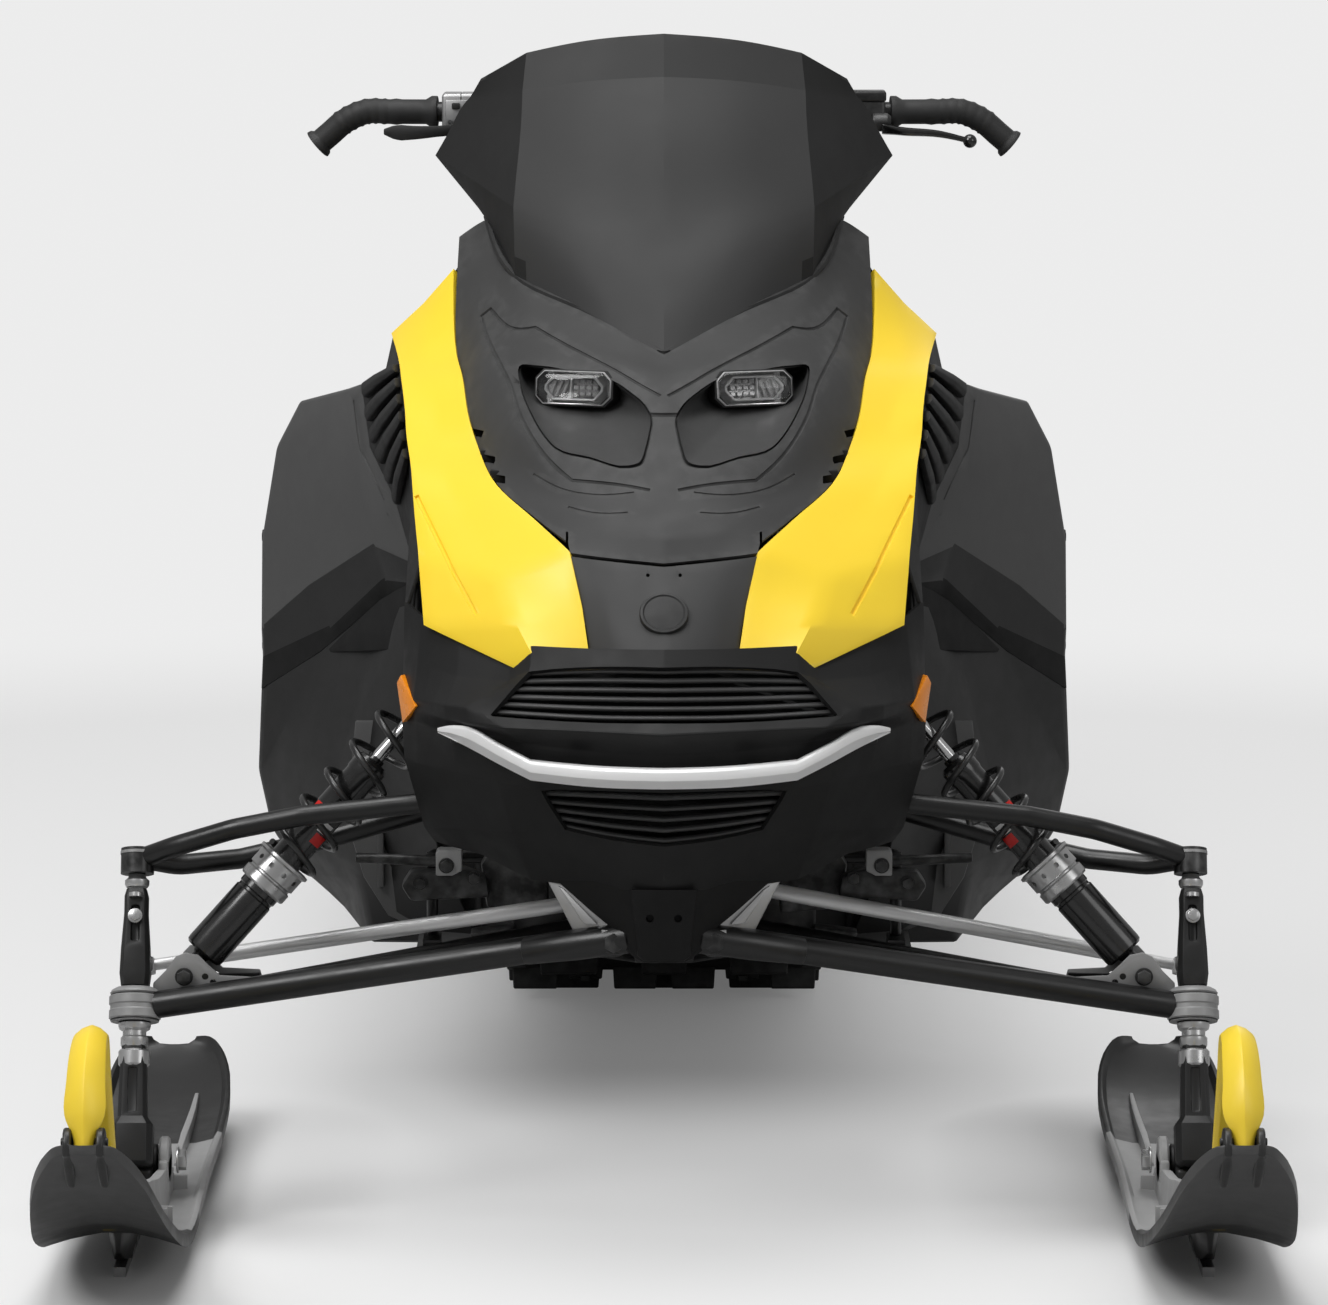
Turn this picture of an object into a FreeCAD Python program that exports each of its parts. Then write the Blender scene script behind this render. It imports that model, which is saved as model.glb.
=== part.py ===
import FreeCAD, Part
import math
import os

# Trail snowmobile, millimetres.  +Z up, the nose towards -Y, the rider's left towards +X.
# A "station" is a distance behind the line through the two ski spindles.  The origin lies on the
# floor under the middle of the machine's length.

Vector = FreeCAD.Vector
doc = FreeCAD.newDocument("snowmobile")

# ---------------------------------------------------------------- driving dimensions
SIZES = (
    # alias, value, meaning
    ("spindle_line", -965.0, "Y of the line through the ski spindles"),
    ("ski_stance", 1077.0, "between the centre lines of the skis"),
    ("ski_half_width", 70.0, "half the width of a ski"),
    ("ski_skin", 9.0, "thickness of a ski's moulded blade"),
    ("ski_sole", 30.0, "height of a ski's flat sole above the floor"),
    ("ski_tip_radius", 520.0, "radius of the upturned front of a ski"),
    ("ski_tip_reach", 540.0, "from the spindle line to the ski tip"),
    ("ski_bolt_height", 79.0, "height of the bolt that a ski rocks on"),
    ("ski_bolt_radius", 8.0, "radius of that bolt"),
    ("runner_width", 12.0, "width of the steel wear bar under a ski"),
    ("runner_length", 480.0, "length of the wear bar"),
    ("loop_width", 34.0, "width of the grab loop on a ski"),
    ("caster", 20.0, "backward lean of the steering axis, degrees"),
    ("kingpin_inset", 1.5, "from a ski's centre line inwards to its steering axis"),
    ("lower_ball_height", 232.0, "height of the lower arm's eye"),
    ("kingpin_span", 150.0, "along the steering axis between the two eyes"),
    ("steering_arm", 90.0, "from the steering axis to the tie rod's pin"),
    ("lower_tube_radius", 14.0, "radius of a lower arm tube"),
    ("upper_tube_radius", 10.5, "radius of an upper arm tube"),
    ("tie_rod_radius", 8.0, "radius of a tie rod"),
    ("pin_play", 0.05, "radial play of a pin in its eye"),
    ("column_radius", 13.0, "radius of the steering column"),
    ("bar_height", 1099.0, "height of the handlebar at the grips"),
    ("bar_station", 640.0, "station of the handlebar"),
    ("bar_radius", 11.0, "radius of the handlebar tube"),
    ("grip_radius", 14.5, "radius of a grip"),
    ("track_width", 381.0, "width of the drive belt"),
    ("belt_thickness", 8.0, "thickness of the drive belt"),
    ("lug_height", 25.0, "height of the belt's lugs"),
    ("lug_count", 45.0, "number of lug rows"),
    ("drive_station", 830.0, "station of the drive axle"),
    ("drive_height", 345.0, "height of the drive axle"),
    ("drive_radius", 92.0, "radius of the drive sprockets"),
    ("idler_station", 2127.6, "station of the rear idler axle"),
    ("idler_radius", 90.0, "radius of the rear idlers"),
    ("roller_radius", 60.0, "radius of the upper and lower rollers"),
    ("rail_spacing", 190.0, "between the two slide rails"),
    ("rail_thickness", 12.0, "thickness of a slide rail"),
    ("wheel_gap", 0.8, "between a wheel's tread and the belt"),
    ("tunnel_gap", 12.5, "between the belt's edge and the tunnel's side wall"),
    ("tunnel_width", "=track_width + 2 * (tunnel_gap + tunnel_sheet)", "outside width of the tunnel"),
    ("tunnel_top", 540.0, "height of the tunnel's top"),
    ("tunnel_sheet", 3.0, "thickness of the tunnel sheet"),
    ("tunnel_front", 655.0, "station of the tunnel's front edge"),
    ("tunnel_length", 1680.0, "length of the tunnel"),
    ("board_height", 300.0, "height of the running boards at the front"),
    ("board_outer", 425.0, "from the middle to a running board's outer edge"),
    ("board_sheet", 5.0, "thickness of a running board"),
    ("seat_length", 830.0, "length of the seat"),
    ("seat_height", 765.0, "height of the seat's top"),
    ("seat_half_width", 140.0, "half the width of the seat"),
    ("bumper_tube_radius", 12.5, "radius of the rear bumper tube"),
    ("bumper_reach", 2457.5, "station of the rear bumper's middle"),
    ("hitch_pin_radius", 8.0, "radius of the hole for a tow pin"),
    ("cowl_wall", 4.0, "thickness of the body panels"),
    ("screen_wall", 4.0, "thickness of the windshield"),
    ("shock_body_radius", 17.5, "radius of a front shock absorber's body"),
    ("spring_radius", 33.0, "outer radius of a front spring"),
    ("engine_width", 320.0, "width of the engine"),
    ("engine_length", 270.0, "length of the engine"),
    ("engine_height", 230.0, "height of the engine"),
)

sheet = doc.addObject("Spreadsheet::Sheet", "Sizes")
for row, (alias, value, meaning) in enumerate(SIZES, start=1):
    sheet.set("A%d" % row, alias)
    sheet.set("B%d" % row, value if isinstance(value, str) else "%g" % value)
    sheet.set("C%d" % row, meaning)
    sheet.setAlias("B%d" % row, alias)
doc.recompute()

SIDES = (1.0, -1.0)
X_AXIS = Vector(1, 0, 0)
Y_AXIS = Vector(0, 1, 0)
nodes = {}


def at(x, station, height):
    """A point given by its distance to the left, its station and its height."""
    return Vector(x, station + sheet.spindle_line, height)


def mirrored(point):
    return Vector(-point.x, point.y, point.z)


def on_side(side, point):
    """The point itself on the left, its mirror image on the right."""
    return point if side > 0 else mirrored(point)


def add_node(name, obj):
    """Record a finished object as one named sub-part."""
    obj.Label = name
    nodes[name] = obj
    return obj


def feature(name, shape):
    obj = doc.addObject("Part::Feature", name + "_part")
    obj.Shape = shape
    obj.Placement = FreeCAD.Placement()
    return add_node(name, obj)


def fused(shapes):
    first = shapes[0]
    return first.fuse(list(shapes[1:])) if len(shapes) > 1 else first


def both_sides(shape):
    """A left-hand solid and its mirror image."""
    twin = shape.mirror(Vector(0, 0, 0), X_AXIS)
    return Part.makeCompound([shape, twin])


# ---------------------------------------------------------------- basic shapes
def rod(start, end, radius):
    axis = end - start
    return Part.makeCylinder(radius, axis.Length, start, axis)


def block(low, high):
    size = high - low
    return Part.makeBox(size.x, size.y, size.z, low)


def tube_along(points, radius, bend):
    """A round bar along straight runs joined by arcs of the bend radius."""
    edges = []
    here = points[0]
    for before, corner, after in zip(points, points[1:], points[2:]):
        back = (before - corner).normalize()
        ahead = (after - corner).normalize()
        half_turn = (math.pi - back.getAngle(ahead)) / 2
        cut = bend * math.tan(half_turn)
        start = corner + back * cut
        end = corner + ahead * cut
        middle_line = (back + ahead).normalize()
        centre = corner + middle_line * (bend / math.cos(half_turn))
        middle = centre - middle_line * bend
        edges.append(Part.LineSegment(here, start).toShape())
        edges.append(Part.Arc(start, middle, end).toShape())
        here = end
    edges.append(Part.LineSegment(here, points[-1]).toShape())
    path = Part.Wire(edges)
    first_run = (points[1] - points[0]).normalize()
    ring = Part.Wire([Part.makeCircle(radius, points[0], first_run)])
    return path.makePipeShell([ring], True, False)


def triangle(a, b, c):
    return Part.Face(Part.makePolygon([a, b, c, a]))


def loft_through(sections):
    """A solid with flat end faces through closed polygons of the same number of corners."""
    wires = [Part.makePolygon(list(points) + [points[0]]) for points in sections]
    return Part.makeLoft(wires, True, True)


def prism(points, direction):
    """A flat outline pushed along a direction."""
    return Part.Face(Part.makePolygon(list(points) + [points[0]])).extrude(direction)


# ---------------------------------------------------------------- sketch-based bodies
def origin_plane(body, role):
    for item in body.Origin.OriginFeatures:
        if item.Role == role:
            return item
    raise ValueError("no plane " + role)


def padded_body(name, role, outline, length_rule, offset_rule, reverse=False):
    """A Body with one closed sketch on an origin plane, padded to a length from the sheet."""
    body = doc.addObject("PartDesign::Body", name + "_body")
    sketch = body.newObject("Sketcher::SketchObject", name + "_sketch")
    sketch.AttachmentSupport = (origin_plane(body, role), [""])
    sketch.MapMode = "FlatFace"
    sketch.setExpression("AttachmentOffset.Base.z", offset_rule)
    count = len(outline)
    for index in range(count):
        start = Vector(outline[index][0], outline[index][1], 0)
        end = Vector(outline[(index + 1) % count][0], outline[(index + 1) % count][1], 0)
        sketch.addGeometry(Part.LineSegment(start, end), False)
    pad = body.newObject("PartDesign::Pad", name + "_pad")
    pad.Profile = sketch
    pad.setExpression("Length", length_rule)
    pad.Reversed = reverse
    body.Tip = pad
    return body


# ---------------------------------------------------------------- skis
# station, half width, height of the edge above the middle of the sole
SKI_ROWS = (
    (-540.0, 24.0, 0.0),
    (-520.0, 33.0, -2.0),
    (-490.0, 47.0, -6.0),
    (-440.0, 59.0, -12.0),
    (-400.0, 64.0, -4.0),
    (-330.0, 69.0, 6.0),
    (-150.0, 70.0, 8.0),
    (350.0, 70.0, 8.0),
    (430.0, 68.0, 8.0),
    (490.0, 62.0, 8.0),
    (530.0, 50.0, 8.0),
)
SKI_TAIL_START = 350.0
SKI_TAIL_RADIUS = 349.0
SKI_TIP_START = -150.0


def sole_height(station):
    """Height of a ski's sole: flat in the middle, an arc up to the tip and one up to the tail."""
    if station < SKI_TIP_START:
        run = SKI_TIP_START - station
        radius = sheet.ski_tip_radius
    elif station > SKI_TAIL_START:
        run = station - SKI_TAIL_START
        radius = SKI_TAIL_RADIUS
    else:
        return sheet.ski_sole
    return sheet.ski_sole + radius - math.sqrt(radius * radius - run * run)


KEEL_HALF = 10.0
KEEL_FRONT = -200.0
KEEL_BACK = 330.0
RUNNER_HEIGHT = 10.0
FOOT_HALF = 21.0
EAR_GAP = 6.0
EAR_THICKNESS = 10.0
EAR_HALF_LENGTH = 45.0


def make_ski(side):
    centre = side * sheet.ski_stance / 2
    widen = sheet.ski_half_width / 70.0
    stations = []
    for station, half, lift in SKI_ROWS:
        if station < SKI_TIP_START:
            station = SKI_TIP_START + (station - SKI_TIP_START) * (
                (sheet.ski_tip_reach + SKI_TIP_START) / 390.0)
        stations.append((station, half * widen, lift))
    sections = []
    for station, half, lift in stations:
        low = sole_height(station)
        top = low + sheet.ski_skin
        inner = half - 12.0
        section = [
            at(centre - half, station, low + lift), at(centre - inner, station, low + lift * 0.2),
            at(centre, station, low), at(centre + inner, station, low + lift * 0.2),
            at(centre + half, station, low + lift), at(centre + half, station, top + lift + 8.0),
            at(centre + inner, station, top + lift * 0.2), at(centre - inner, station, top + lift * 0.2),
            at(centre - half, station, top + lift + 8.0)]
        sections.append(section)
    blade = loft_through(sections)
    keel = block(at(centre - KEEL_HALF, KEEL_FRONT, RUNNER_HEIGHT),
                 at(centre + KEEL_HALF, KEEL_BACK, sheet.ski_sole + 2.0))
    shape = blade.fuse(keel)
    for hand in SIDES:
        inner = centre + hand * (FOOT_HALF + EAR_GAP)
        outer = inner + hand * EAR_THICKNESS
        ear = block(at(min(inner, outer), -EAR_HALF_LENGTH, sheet.ski_sole + 4.0),
                    at(max(inner, outer), EAR_HALF_LENGTH, sheet.ski_bolt_height + 24.0))
        shape = shape.fuse(ear)
    reach = FOOT_HALF + EAR_GAP + EAR_THICKNESS + 5.0
    bore = rod(at(centre - reach, 0, sheet.ski_bolt_height), at(centre + reach, 0, sheet.ski_bolt_height),
               sheet.ski_bolt_radius + sheet.pin_play)
    return shape.cut(bore)


def make_runner(side):
    centre = side * sheet.ski_stance / 2
    half = sheet.runner_width / 2
    middle = (KEEL_FRONT + KEEL_BACK) / 2
    low = at(centre - half, middle - sheet.runner_length / 2, 0)
    high = at(centre + half, middle + sheet.runner_length / 2, RUNNER_HEIGHT)
    return block(low, high)


# grab loop over a ski's tip: station, height of its middle line
LOOP_LINE = ((-516.0, 188.0), (-478.0, 288.0), (-412.0, 292.0), (-262.0, 52.0))
LOOP_HALF_THICKNESS = 7.0


def make_loop(side):
    centre = side * sheet.ski_stance / 2
    half = sheet.loop_width / 2
    outer = []
    inner = []
    last = len(LOOP_LINE) - 1
    for index, (station, height) in enumerate(LOOP_LINE):
        before = LOOP_LINE[max(index - 1, 0)]
        after = LOOP_LINE[min(index + 1, last)]
        along = Vector(0, after[0] - before[0], after[1] - before[1]).normalize()
        across = Vector(0, -along.z, along.y) * LOOP_HALF_THICKNESS
        middle = at(centre - half, station, height)
        outer.append(middle + across)
        inner.append(middle - across)
    outline = outer + inner[::-1]
    band = prism(outline, X_AXIS * sheet.loop_width)
    pieces = band.cut(make_ski(side)).Solids
    return max(pieces, key=lambda piece: piece.Volume)


# ---------------------------------------------------------------- spindles
caster = math.radians(sheet.caster)
KINGPIN = Vector(0, math.sin(caster), math.cos(caster))
ARM_DIRECTION = Vector(0, math.cos(caster), -math.sin(caster))
KINGPIN_STATION = 20.0
NECK_RADIUS = 16.0
NECK_HALF = 14.0
NECK_TOP = 26.0
EYE_HALF = 13.0
EYE_RADIUS = 25.0
STUD_RADIUS = 9.0
TIE_PIN_RADIUS = 6.0
TIE_LEVEL = 57.0
TIE_EYE_HALF = 8.0


def kingpin_x():
    return sheet.ski_stance / 2 - sheet.kingpin_inset


def lower_ball(side):
    return at(side * kingpin_x(), KINGPIN_STATION, sheet.lower_ball_height)


def upper_ball(side):
    return lower_ball(side) + KINGPIN * sheet.kingpin_span


def tie_pin_outer(side):
    return lower_ball(side) + KINGPIN * TIE_LEVEL + ARM_DIRECTION * sheet.steering_arm


def make_spindle(side):
    eye = lower_ball(side)
    centre = side * sheet.ski_stance / 2
    neck = rod(eye - KINGPIN * NECK_HALF, eye + KINGPIN * (NECK_TOP + 2.0), NECK_RADIUS)
    below = rod(eye - KINGPIN * 60.0, eye - KINGPIN * NECK_HALF, 21.0)
    knuckle_bottom = eye - KINGPIN * 60.0
    leg = rod(at(centre - side * 5.0, 0, sheet.ski_bolt_height), knuckle_bottom + KINGPIN * 12.0, 17.0)
    foot = block(at(centre - FOOT_HALF, -21.0, sheet.ski_bolt_height - 18.0),
                 at(centre + FOOT_HALF, 21.0, sheet.ski_bolt_height + 36.0))
    shapes = [neck, below, leg, foot]
    across = ARM_DIRECTION
    sections = []
    # level along the steering axis, half width sideways, half depth fore and aft
    for level, wide, deep in ((NECK_TOP, 19.0, 23.0), (45.0, 15.0, 22.0), (110.0, 17.0, 18.0),
                              (130.0, 15.0, 15.0)):
        middle = eye + KINGPIN * level
        sections.append([middle - X_AXIS * wide - across * deep, middle + X_AXIS * wide - across * deep,
                         middle + X_AXIS * wide + across * deep, middle - X_AXIS * wide + across * deep])
    shapes.append(loft_through(sections))
    shapes.append(rod(eye + KINGPIN * 128.0, eye + KINGPIN * sheet.kingpin_span, STUD_RADIUS))
    pin = tie_pin_outer(side)
    root = pin - ARM_DIRECTION * (sheet.steering_arm - 12.0)
    arm_drop = KINGPIN * (TIE_EYE_HALF + 7.0)
    shapes.append(rod(root - arm_drop, pin - arm_drop + ARM_DIRECTION * 2.0, 7.0))
    shapes.append(rod(pin - arm_drop - KINGPIN * 3.0, pin + KINGPIN * TIE_EYE_HALF, TIE_PIN_RADIUS))
    reach = FOOT_HALF + EAR_GAP + EAR_THICKNESS + 0.3
    bolt = rod(at(centre - reach, 0, sheet.ski_bolt_height), at(centre + reach, 0, sheet.ski_bolt_height),
               sheet.ski_bolt_radius)
    shapes.append(bolt)
    for hand in SIDES:
        start = at(centre + hand * (reach - 0.1), 0, sheet.ski_bolt_height)
        shapes.append(rod(start, start + X_AXIS * (hand * 8.0), 13.0))
    return fused(shapes)


# ---------------------------------------------------------------- steering
HANDLE_CLAMP = at(0, sheet.bar_station, sheet.bar_height - 24.0)
PITMAN_PIN = at(0, 150.0, 340.0)
PITMAN_PIVOT = PITMAN_PIN - ARM_DIRECTION * sheet.steering_arm
SHELF_LOW = 408.0
SHELF_HIGH = 434.0
JOINT_HEIGHT = 462.0
JOINT_RADIUS = 14.0
INNER_EYE_STEP = 10.0


def point_at_height(point, direction, height):
    return point + direction * ((height - point.z) / direction.z)


# the column's universal joint sits on the pitman arm's axis
COLUMN_JOINT = point_at_height(PITMAN_PIVOT, KINGPIN, JOINT_HEIGHT)
COLUMN = (HANDLE_CLAMP - COLUMN_JOINT).normalize()
COLUMN_FOOT = COLUMN_JOINT + COLUMN * (JOINT_RADIUS - 1.1)


def make_tie_rod(side):
    outer = tie_pin_outer(side)
    inner = PITMAN_PIN + KINGPIN * (side * INNER_EYE_STEP)
    along = (inner - outer).normalize()
    outer_eye = rod(outer - KINGPIN * (TIE_EYE_HALF - 0.5), outer + KINGPIN * (TIE_EYE_HALF - 0.5), 13.0)
    inner_eye = rod(inner - KINGPIN * (TIE_EYE_HALF - 0.5), inner + KINGPIN * (TIE_EYE_HALF - 0.5), 13.0)
    slim = rod(outer + along * 10.0, outer + along * 60.0, 6.0)
    bar = rod(outer + along * 55.0, inner - along * 45.0, sheet.tie_rod_radius)
    tail = rod(inner - along * 50.0, inner - along * 10.0, 6.0)
    shape = fused([outer_eye, inner_eye, slim, bar, tail])
    for eye in (outer, inner):
        reach = KINGPIN * 20.0
        shape = shape.cut(rod(eye - reach, eye + reach, TIE_PIN_RADIUS + sheet.pin_play))
    return shape


def make_pitman():
    lift = KINGPIN * (INNER_EYE_STEP + TIE_EYE_HALF + 7.0)
    shaft = rod(PITMAN_PIVOT + lift - KINGPIN * 9.0, COLUMN_JOINT, 10.0)
    cross = rod(COLUMN_JOINT - KINGPIN * 10.0, COLUMN_JOINT + KINGPIN * 8.0, JOINT_RADIUS)
    lever = rod(PITMAN_PIVOT + lift, PITMAN_PIN + lift + ARM_DIRECTION * 2.0, 7.0)
    pin = rod(PITMAN_PIN - KINGPIN * (INNER_EYE_STEP + TIE_EYE_HALF), PITMAN_PIN + lift + KINGPIN * 3.0,
              TIE_PIN_RADIUS)
    return fused([shaft, lever, pin, cross])


RISER_HALF = 24.0


def make_column():
    """The steering column with the block on top that clamps the handlebar."""
    low = HANDLE_CLAMP - COLUMN * 12.0
    shaft = rod(COLUMN_FOOT, low, sheet.column_radius)
    forward = Vector(0, -COLUMN.z, COLUMN.y)
    sections = []
    for level, wide, deep in ((0.0, 20.0, 17.0), (30.0, RISER_HALF, 18.0)):
        middle = low + COLUMN * level
        sections.append([middle - X_AXIS * wide - forward * deep, middle + X_AXIS * wide - forward * deep,
                         middle + X_AXIS * wide + forward * deep, middle - X_AXIS * wide + forward * deep])
    return shaft.fuse(loft_through(sections)).cut(make_bar_tube(sheet.pin_play))


# handlebar from its middle out: distance sideways, rise over the clamp, sweep back
BAR_LINE = ((60.0, 0.0, 0.0), (150.0, 24.0, 4.0), (338.0, 24.0, 16.0), (378.0, -10.0, 20.0))
BAR_BEND = 40.0
GRIP_INNER = 247.0


def bar_points():
    start = HANDLE_CLAMP + COLUMN * 8.0
    right = [start + Vector(-x, sweep, rise) for x, rise, sweep in BAR_LINE[::-1]]
    left = [start + Vector(x, sweep, rise) for x, rise, sweep in BAR_LINE]
    return right + left


def make_bar_tube(play=0.0):
    """The bent handlebar; a little thicker when it is used to cut what clamps round it."""
    return tube_along(bar_points(), sheet.bar_radius + play, BAR_BEND)


def make_grips():
    """Rubber sleeves on the outer ends of the handlebar."""
    points = bar_points()
    line = points[-2] - points[-3]
    share = (GRIP_INNER - points[-3].x) / line.x
    start = points[-3] + line * share
    end = points[-1] + (points[-1] - points[-2]).normalize() * 4.0
    sleeve = tube_along([start, points[-2], end], sheet.grip_radius, BAR_BEND)
    return both_sides(sleeve.cut(make_bar_tube(sheet.pin_play)))


def control_block(side, low, high):
    """A housing clamped round the handlebar."""
    middle = HANDLE_CLAMP + COLUMN * 8.0
    box = block(Vector(low[0], middle.y + low[1], middle.z + low[2]),
                Vector(high[0], middle.y + high[1], middle.z + high[2]))
    if side < 0:
        box = box.mirror(Vector(0, 0, 0), X_AXIS)
    return box.cut(make_bar_tube(sheet.pin_play))


def make_throttle():
    box = control_block(-1.0, (198.0, -16.0, 6.0), (243.0, 32.0, 46.0))
    start = HANDLE_CLAMP + COLUMN * 8.0 + Vector(-225.0, -16.0, 16.0)
    lever = block(start + Vector(-85.0, -10.0, -6.0), start + Vector(20.0, 0.0, 6.0))
    return box.fuse(lever)


def make_brake():
    box = control_block(1.0, (196.0, -20.0, 4.0), (243.0, 32.0, 48.0))
    start = HANDLE_CLAMP + COLUMN * 8.0 + Vector(228.0, -26.0, -4.0)
    reach = Vector(104.0, 2.0, -6.0)
    lever = rod(start, start + reach, 6.0)
    knob = rod(start + reach * 0.94, start + reach * 1.07, 8.0)
    root = block(start + Vector(-14.0, -8.0, -8.0), start + Vector(6.0, 8.0, 14.0))
    return fused([box, lever, knob, root])


# ---------------------------------------------------------------- front suspension arms
LOWER_FRONT_PIVOT = at(50.0, -70.0, 322.0)
LOWER_REAR_PIVOT = at(75.0, 202.0, 283.0)
UPPER_FRONT_PIVOT = at(150.0, 32.0, 451.0)
UPPER_REAR_PIVOT = at(150.0, 195.0, 435.0)
BARREL_HALF = 18.0


def pivot_barrel(centre, radius):
    return rod(centre - Y_AXIS * BARREL_HALF, centre + Y_AXIS * BARREL_HALF, radius)


def make_lower_arm():
    eye = lower_ball(1.0)
    ring = rod(eye - KINGPIN * EYE_HALF, eye + KINGPIN * EYE_HALF, EYE_RADIUS)
    towards_front = (LOWER_FRONT_PIVOT - eye).normalize()
    front = rod(eye + towards_front * 23.0, LOWER_FRONT_PIVOT, sheet.lower_tube_radius)
    rear_start = eye + towards_front * 34.0
    rear = rod(rear_start, LOWER_REAR_PIVOT, sheet.lower_tube_radius - 3.0)
    towards_rear = (LOWER_REAR_PIVOT - rear_start).normalize()
    link_seat = rear_start + towards_rear * ((rear_start.x - SWAY_HALF) / abs(towards_rear.x))
    lug = block(link_seat + Vector(-9.0, 4.0, -8.0),
                Vector(link_seat.x + 9.0, SWAY_LINK.y + 9.0, SWAY_LINK_LOW))
    foot = shock_line()[0]
    on_tube = eye + towards_front * ((eye.x - foot.x) / abs(towards_front.x))
    # shock bracket: a plate standing on each tube, outline from the spindle inwards
    plate_half = 4.0
    plates = []
    for gap in (-SHOCK_EYE_HALF - 0.3 - 2 * plate_half, SHOCK_EYE_HALF + 0.3):
        y = foot.y + gap
        outline = [Vector(eye.x - 42.0, y, on_tube.z + 4.0), Vector(eye.x - 42.0, y, on_tube.z + 22.0),
                   Vector(foot.x + 6.0, y, foot.z + 12.0), Vector(foot.x - 14.0, y, foot.z + 12.0),
                   Vector(foot.x - 30.0, y, foot.z - 6.0), Vector(foot.x - 74.0, y, on_tube.z + 18.0),
                   Vector(foot.x - 74.0, y, on_tube.z + 6.0)]
        plates.append(prism(outline, Y_AXIS * (2 * plate_half)))
    cross = block(Vector(foot.x - 60.0, on_tube.y - 4.0, on_tube.z - 4.0),
                  Vector(eye.x - 44.0, foot.y + SHOCK_EYE_HALF + 2 * plate_half, on_tube.z + 6.0))
    pin = rod(Vector(foot.x, foot.y - SHOCK_EYE_HALF - 2 * plate_half - 4.0, foot.z),
              Vector(foot.x, foot.y + SHOCK_EYE_HALF + 2 * plate_half + 2.0, foot.z), SHOCK_PIN_RADIUS)
    barrels = [pivot_barrel(LOWER_FRONT_PIVOT, 17.0), pivot_barrel(LOWER_REAR_PIVOT, 14.0)]
    shape = fused([ring, front, rear, lug, cross, pin] + plates + barrels)
    hole = rod(eye - KINGPIN * 60.0, eye + KINGPIN * 60.0, NECK_RADIUS + sheet.pin_play)
    return shape.cut(hole)


# upper arm tubes, from the outer eye inwards: offset from the eye and fixed inner points
UPPER_FRONT_LINE = ((-40.0, -20.0, 20.0), (-100.0, -33.0, 40.0), (-169.0, -36.0, 54.0))
UPPER_REAR_LINE = ((-40.0, 19.0, -6.0), (-102.0, 44.0, -4.0), (-193.0, 77.0, 12.0))
UPPER_BEND = 60.0


def make_upper_arm():
    eye = upper_ball(1.0)
    cap = rod(eye - KINGPIN * 12.0, eye + KINGPIN * 14.0, 17.0)
    shapes = [cap]
    for line, pivot in ((UPPER_FRONT_LINE, UPPER_FRONT_PIVOT), (UPPER_REAR_LINE, UPPER_REAR_PIVOT)):
        points = [eye + Vector(-4.0, 0, 4.0)] + [eye + Vector(*step) for step in line] + [pivot]
        shapes.append(tube_along(points, sheet.upper_tube_radius, UPPER_BEND))
        shapes.append(pivot_barrel(pivot, 14.0))
    shape = fused(shapes)
    socket = rod(eye - KINGPIN * 40.0, eye + KINGPIN * 0.5, STUD_RADIUS + sheet.pin_play)
    return shape.cut(socket)


# ---------------------------------------------------------------- front shock absorbers
SHOCK_EYE_HALF = 14.0
SHOCK_PIN_RADIUS = 6.0
SHOCK_TOP = at(205.0, 112.0, 574.0)
# share of the shock's length: lower eye to reservoir, collar, body end
RESERVOIR_START = 0.11
COLLAR_START = 0.275
COLLAR_END = 0.35
BODY_END = 0.68
SPRING_END = 0.90


def shock_line():
    foot = lower_ball(1.0) + Vector(-50.0, 30.0, 32.0)
    return foot, SHOCK_TOP


def make_shock():
    foot, top = shock_line()
    line = top - foot
    eye = rod(foot - Y_AXIS * SHOCK_EYE_HALF, foot + Y_AXIS * SHOCK_EYE_HALF, 14.0)
    top_eye = rod(top - Y_AXIS * SHOCK_EYE_HALF, top + Y_AXIS * SHOCK_EYE_HALF, 14.0)
    neck = rod(foot, foot + line * RESERVOIR_START, 11.0)
    reservoir = rod(foot + line * RESERVOIR_START, foot + line * COLLAR_START, 22.0)
    body = rod(foot + line * COLLAR_START, foot + line * BODY_END, sheet.shock_body_radius)
    piston = rod(foot + line * BODY_END, top, 7.0)
    seat = rod(foot + line * SPRING_END, foot + line * (SPRING_END + 0.025), sheet.spring_radius)
    collar = rod(foot + line * COLLAR_START, foot + line * COLLAR_END, 27.0)
    shape = fused([eye, top_eye, neck, reservoir, collar, body, piston, seat])
    for end in (foot, top):
        reach = Y_AXIS * (SHOCK_EYE_HALF + 5.0)
        shape = shape.cut(rod(end - reach, end + reach, SHOCK_PIN_RADIUS + sheet.pin_play))
    return shape


def make_spring():
    """The space the coil spring fills: a sleeve between its seats."""
    foot, top = shock_line()
    line = top - foot
    outer = rod(foot + line * COLLAR_END, foot + line * SPRING_END, sheet.spring_radius)
    inner = rod(foot + line * (COLLAR_END - 0.01), foot + line * (SPRING_END + 0.01),
                sheet.spring_radius - 10.0)
    return outer.cut(inner)


# ---------------------------------------------------------------- sway bar
SWAY_HALF = 240.0
SWAY_LINK = at(SWAY_HALF, 168.0, 366.0)
SWAY_LINK_LOW = 280.0
SWAY_BAR = at(SWAY_HALF, 230.0, 352.0)
SWAY_RADIUS = 8.0


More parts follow.
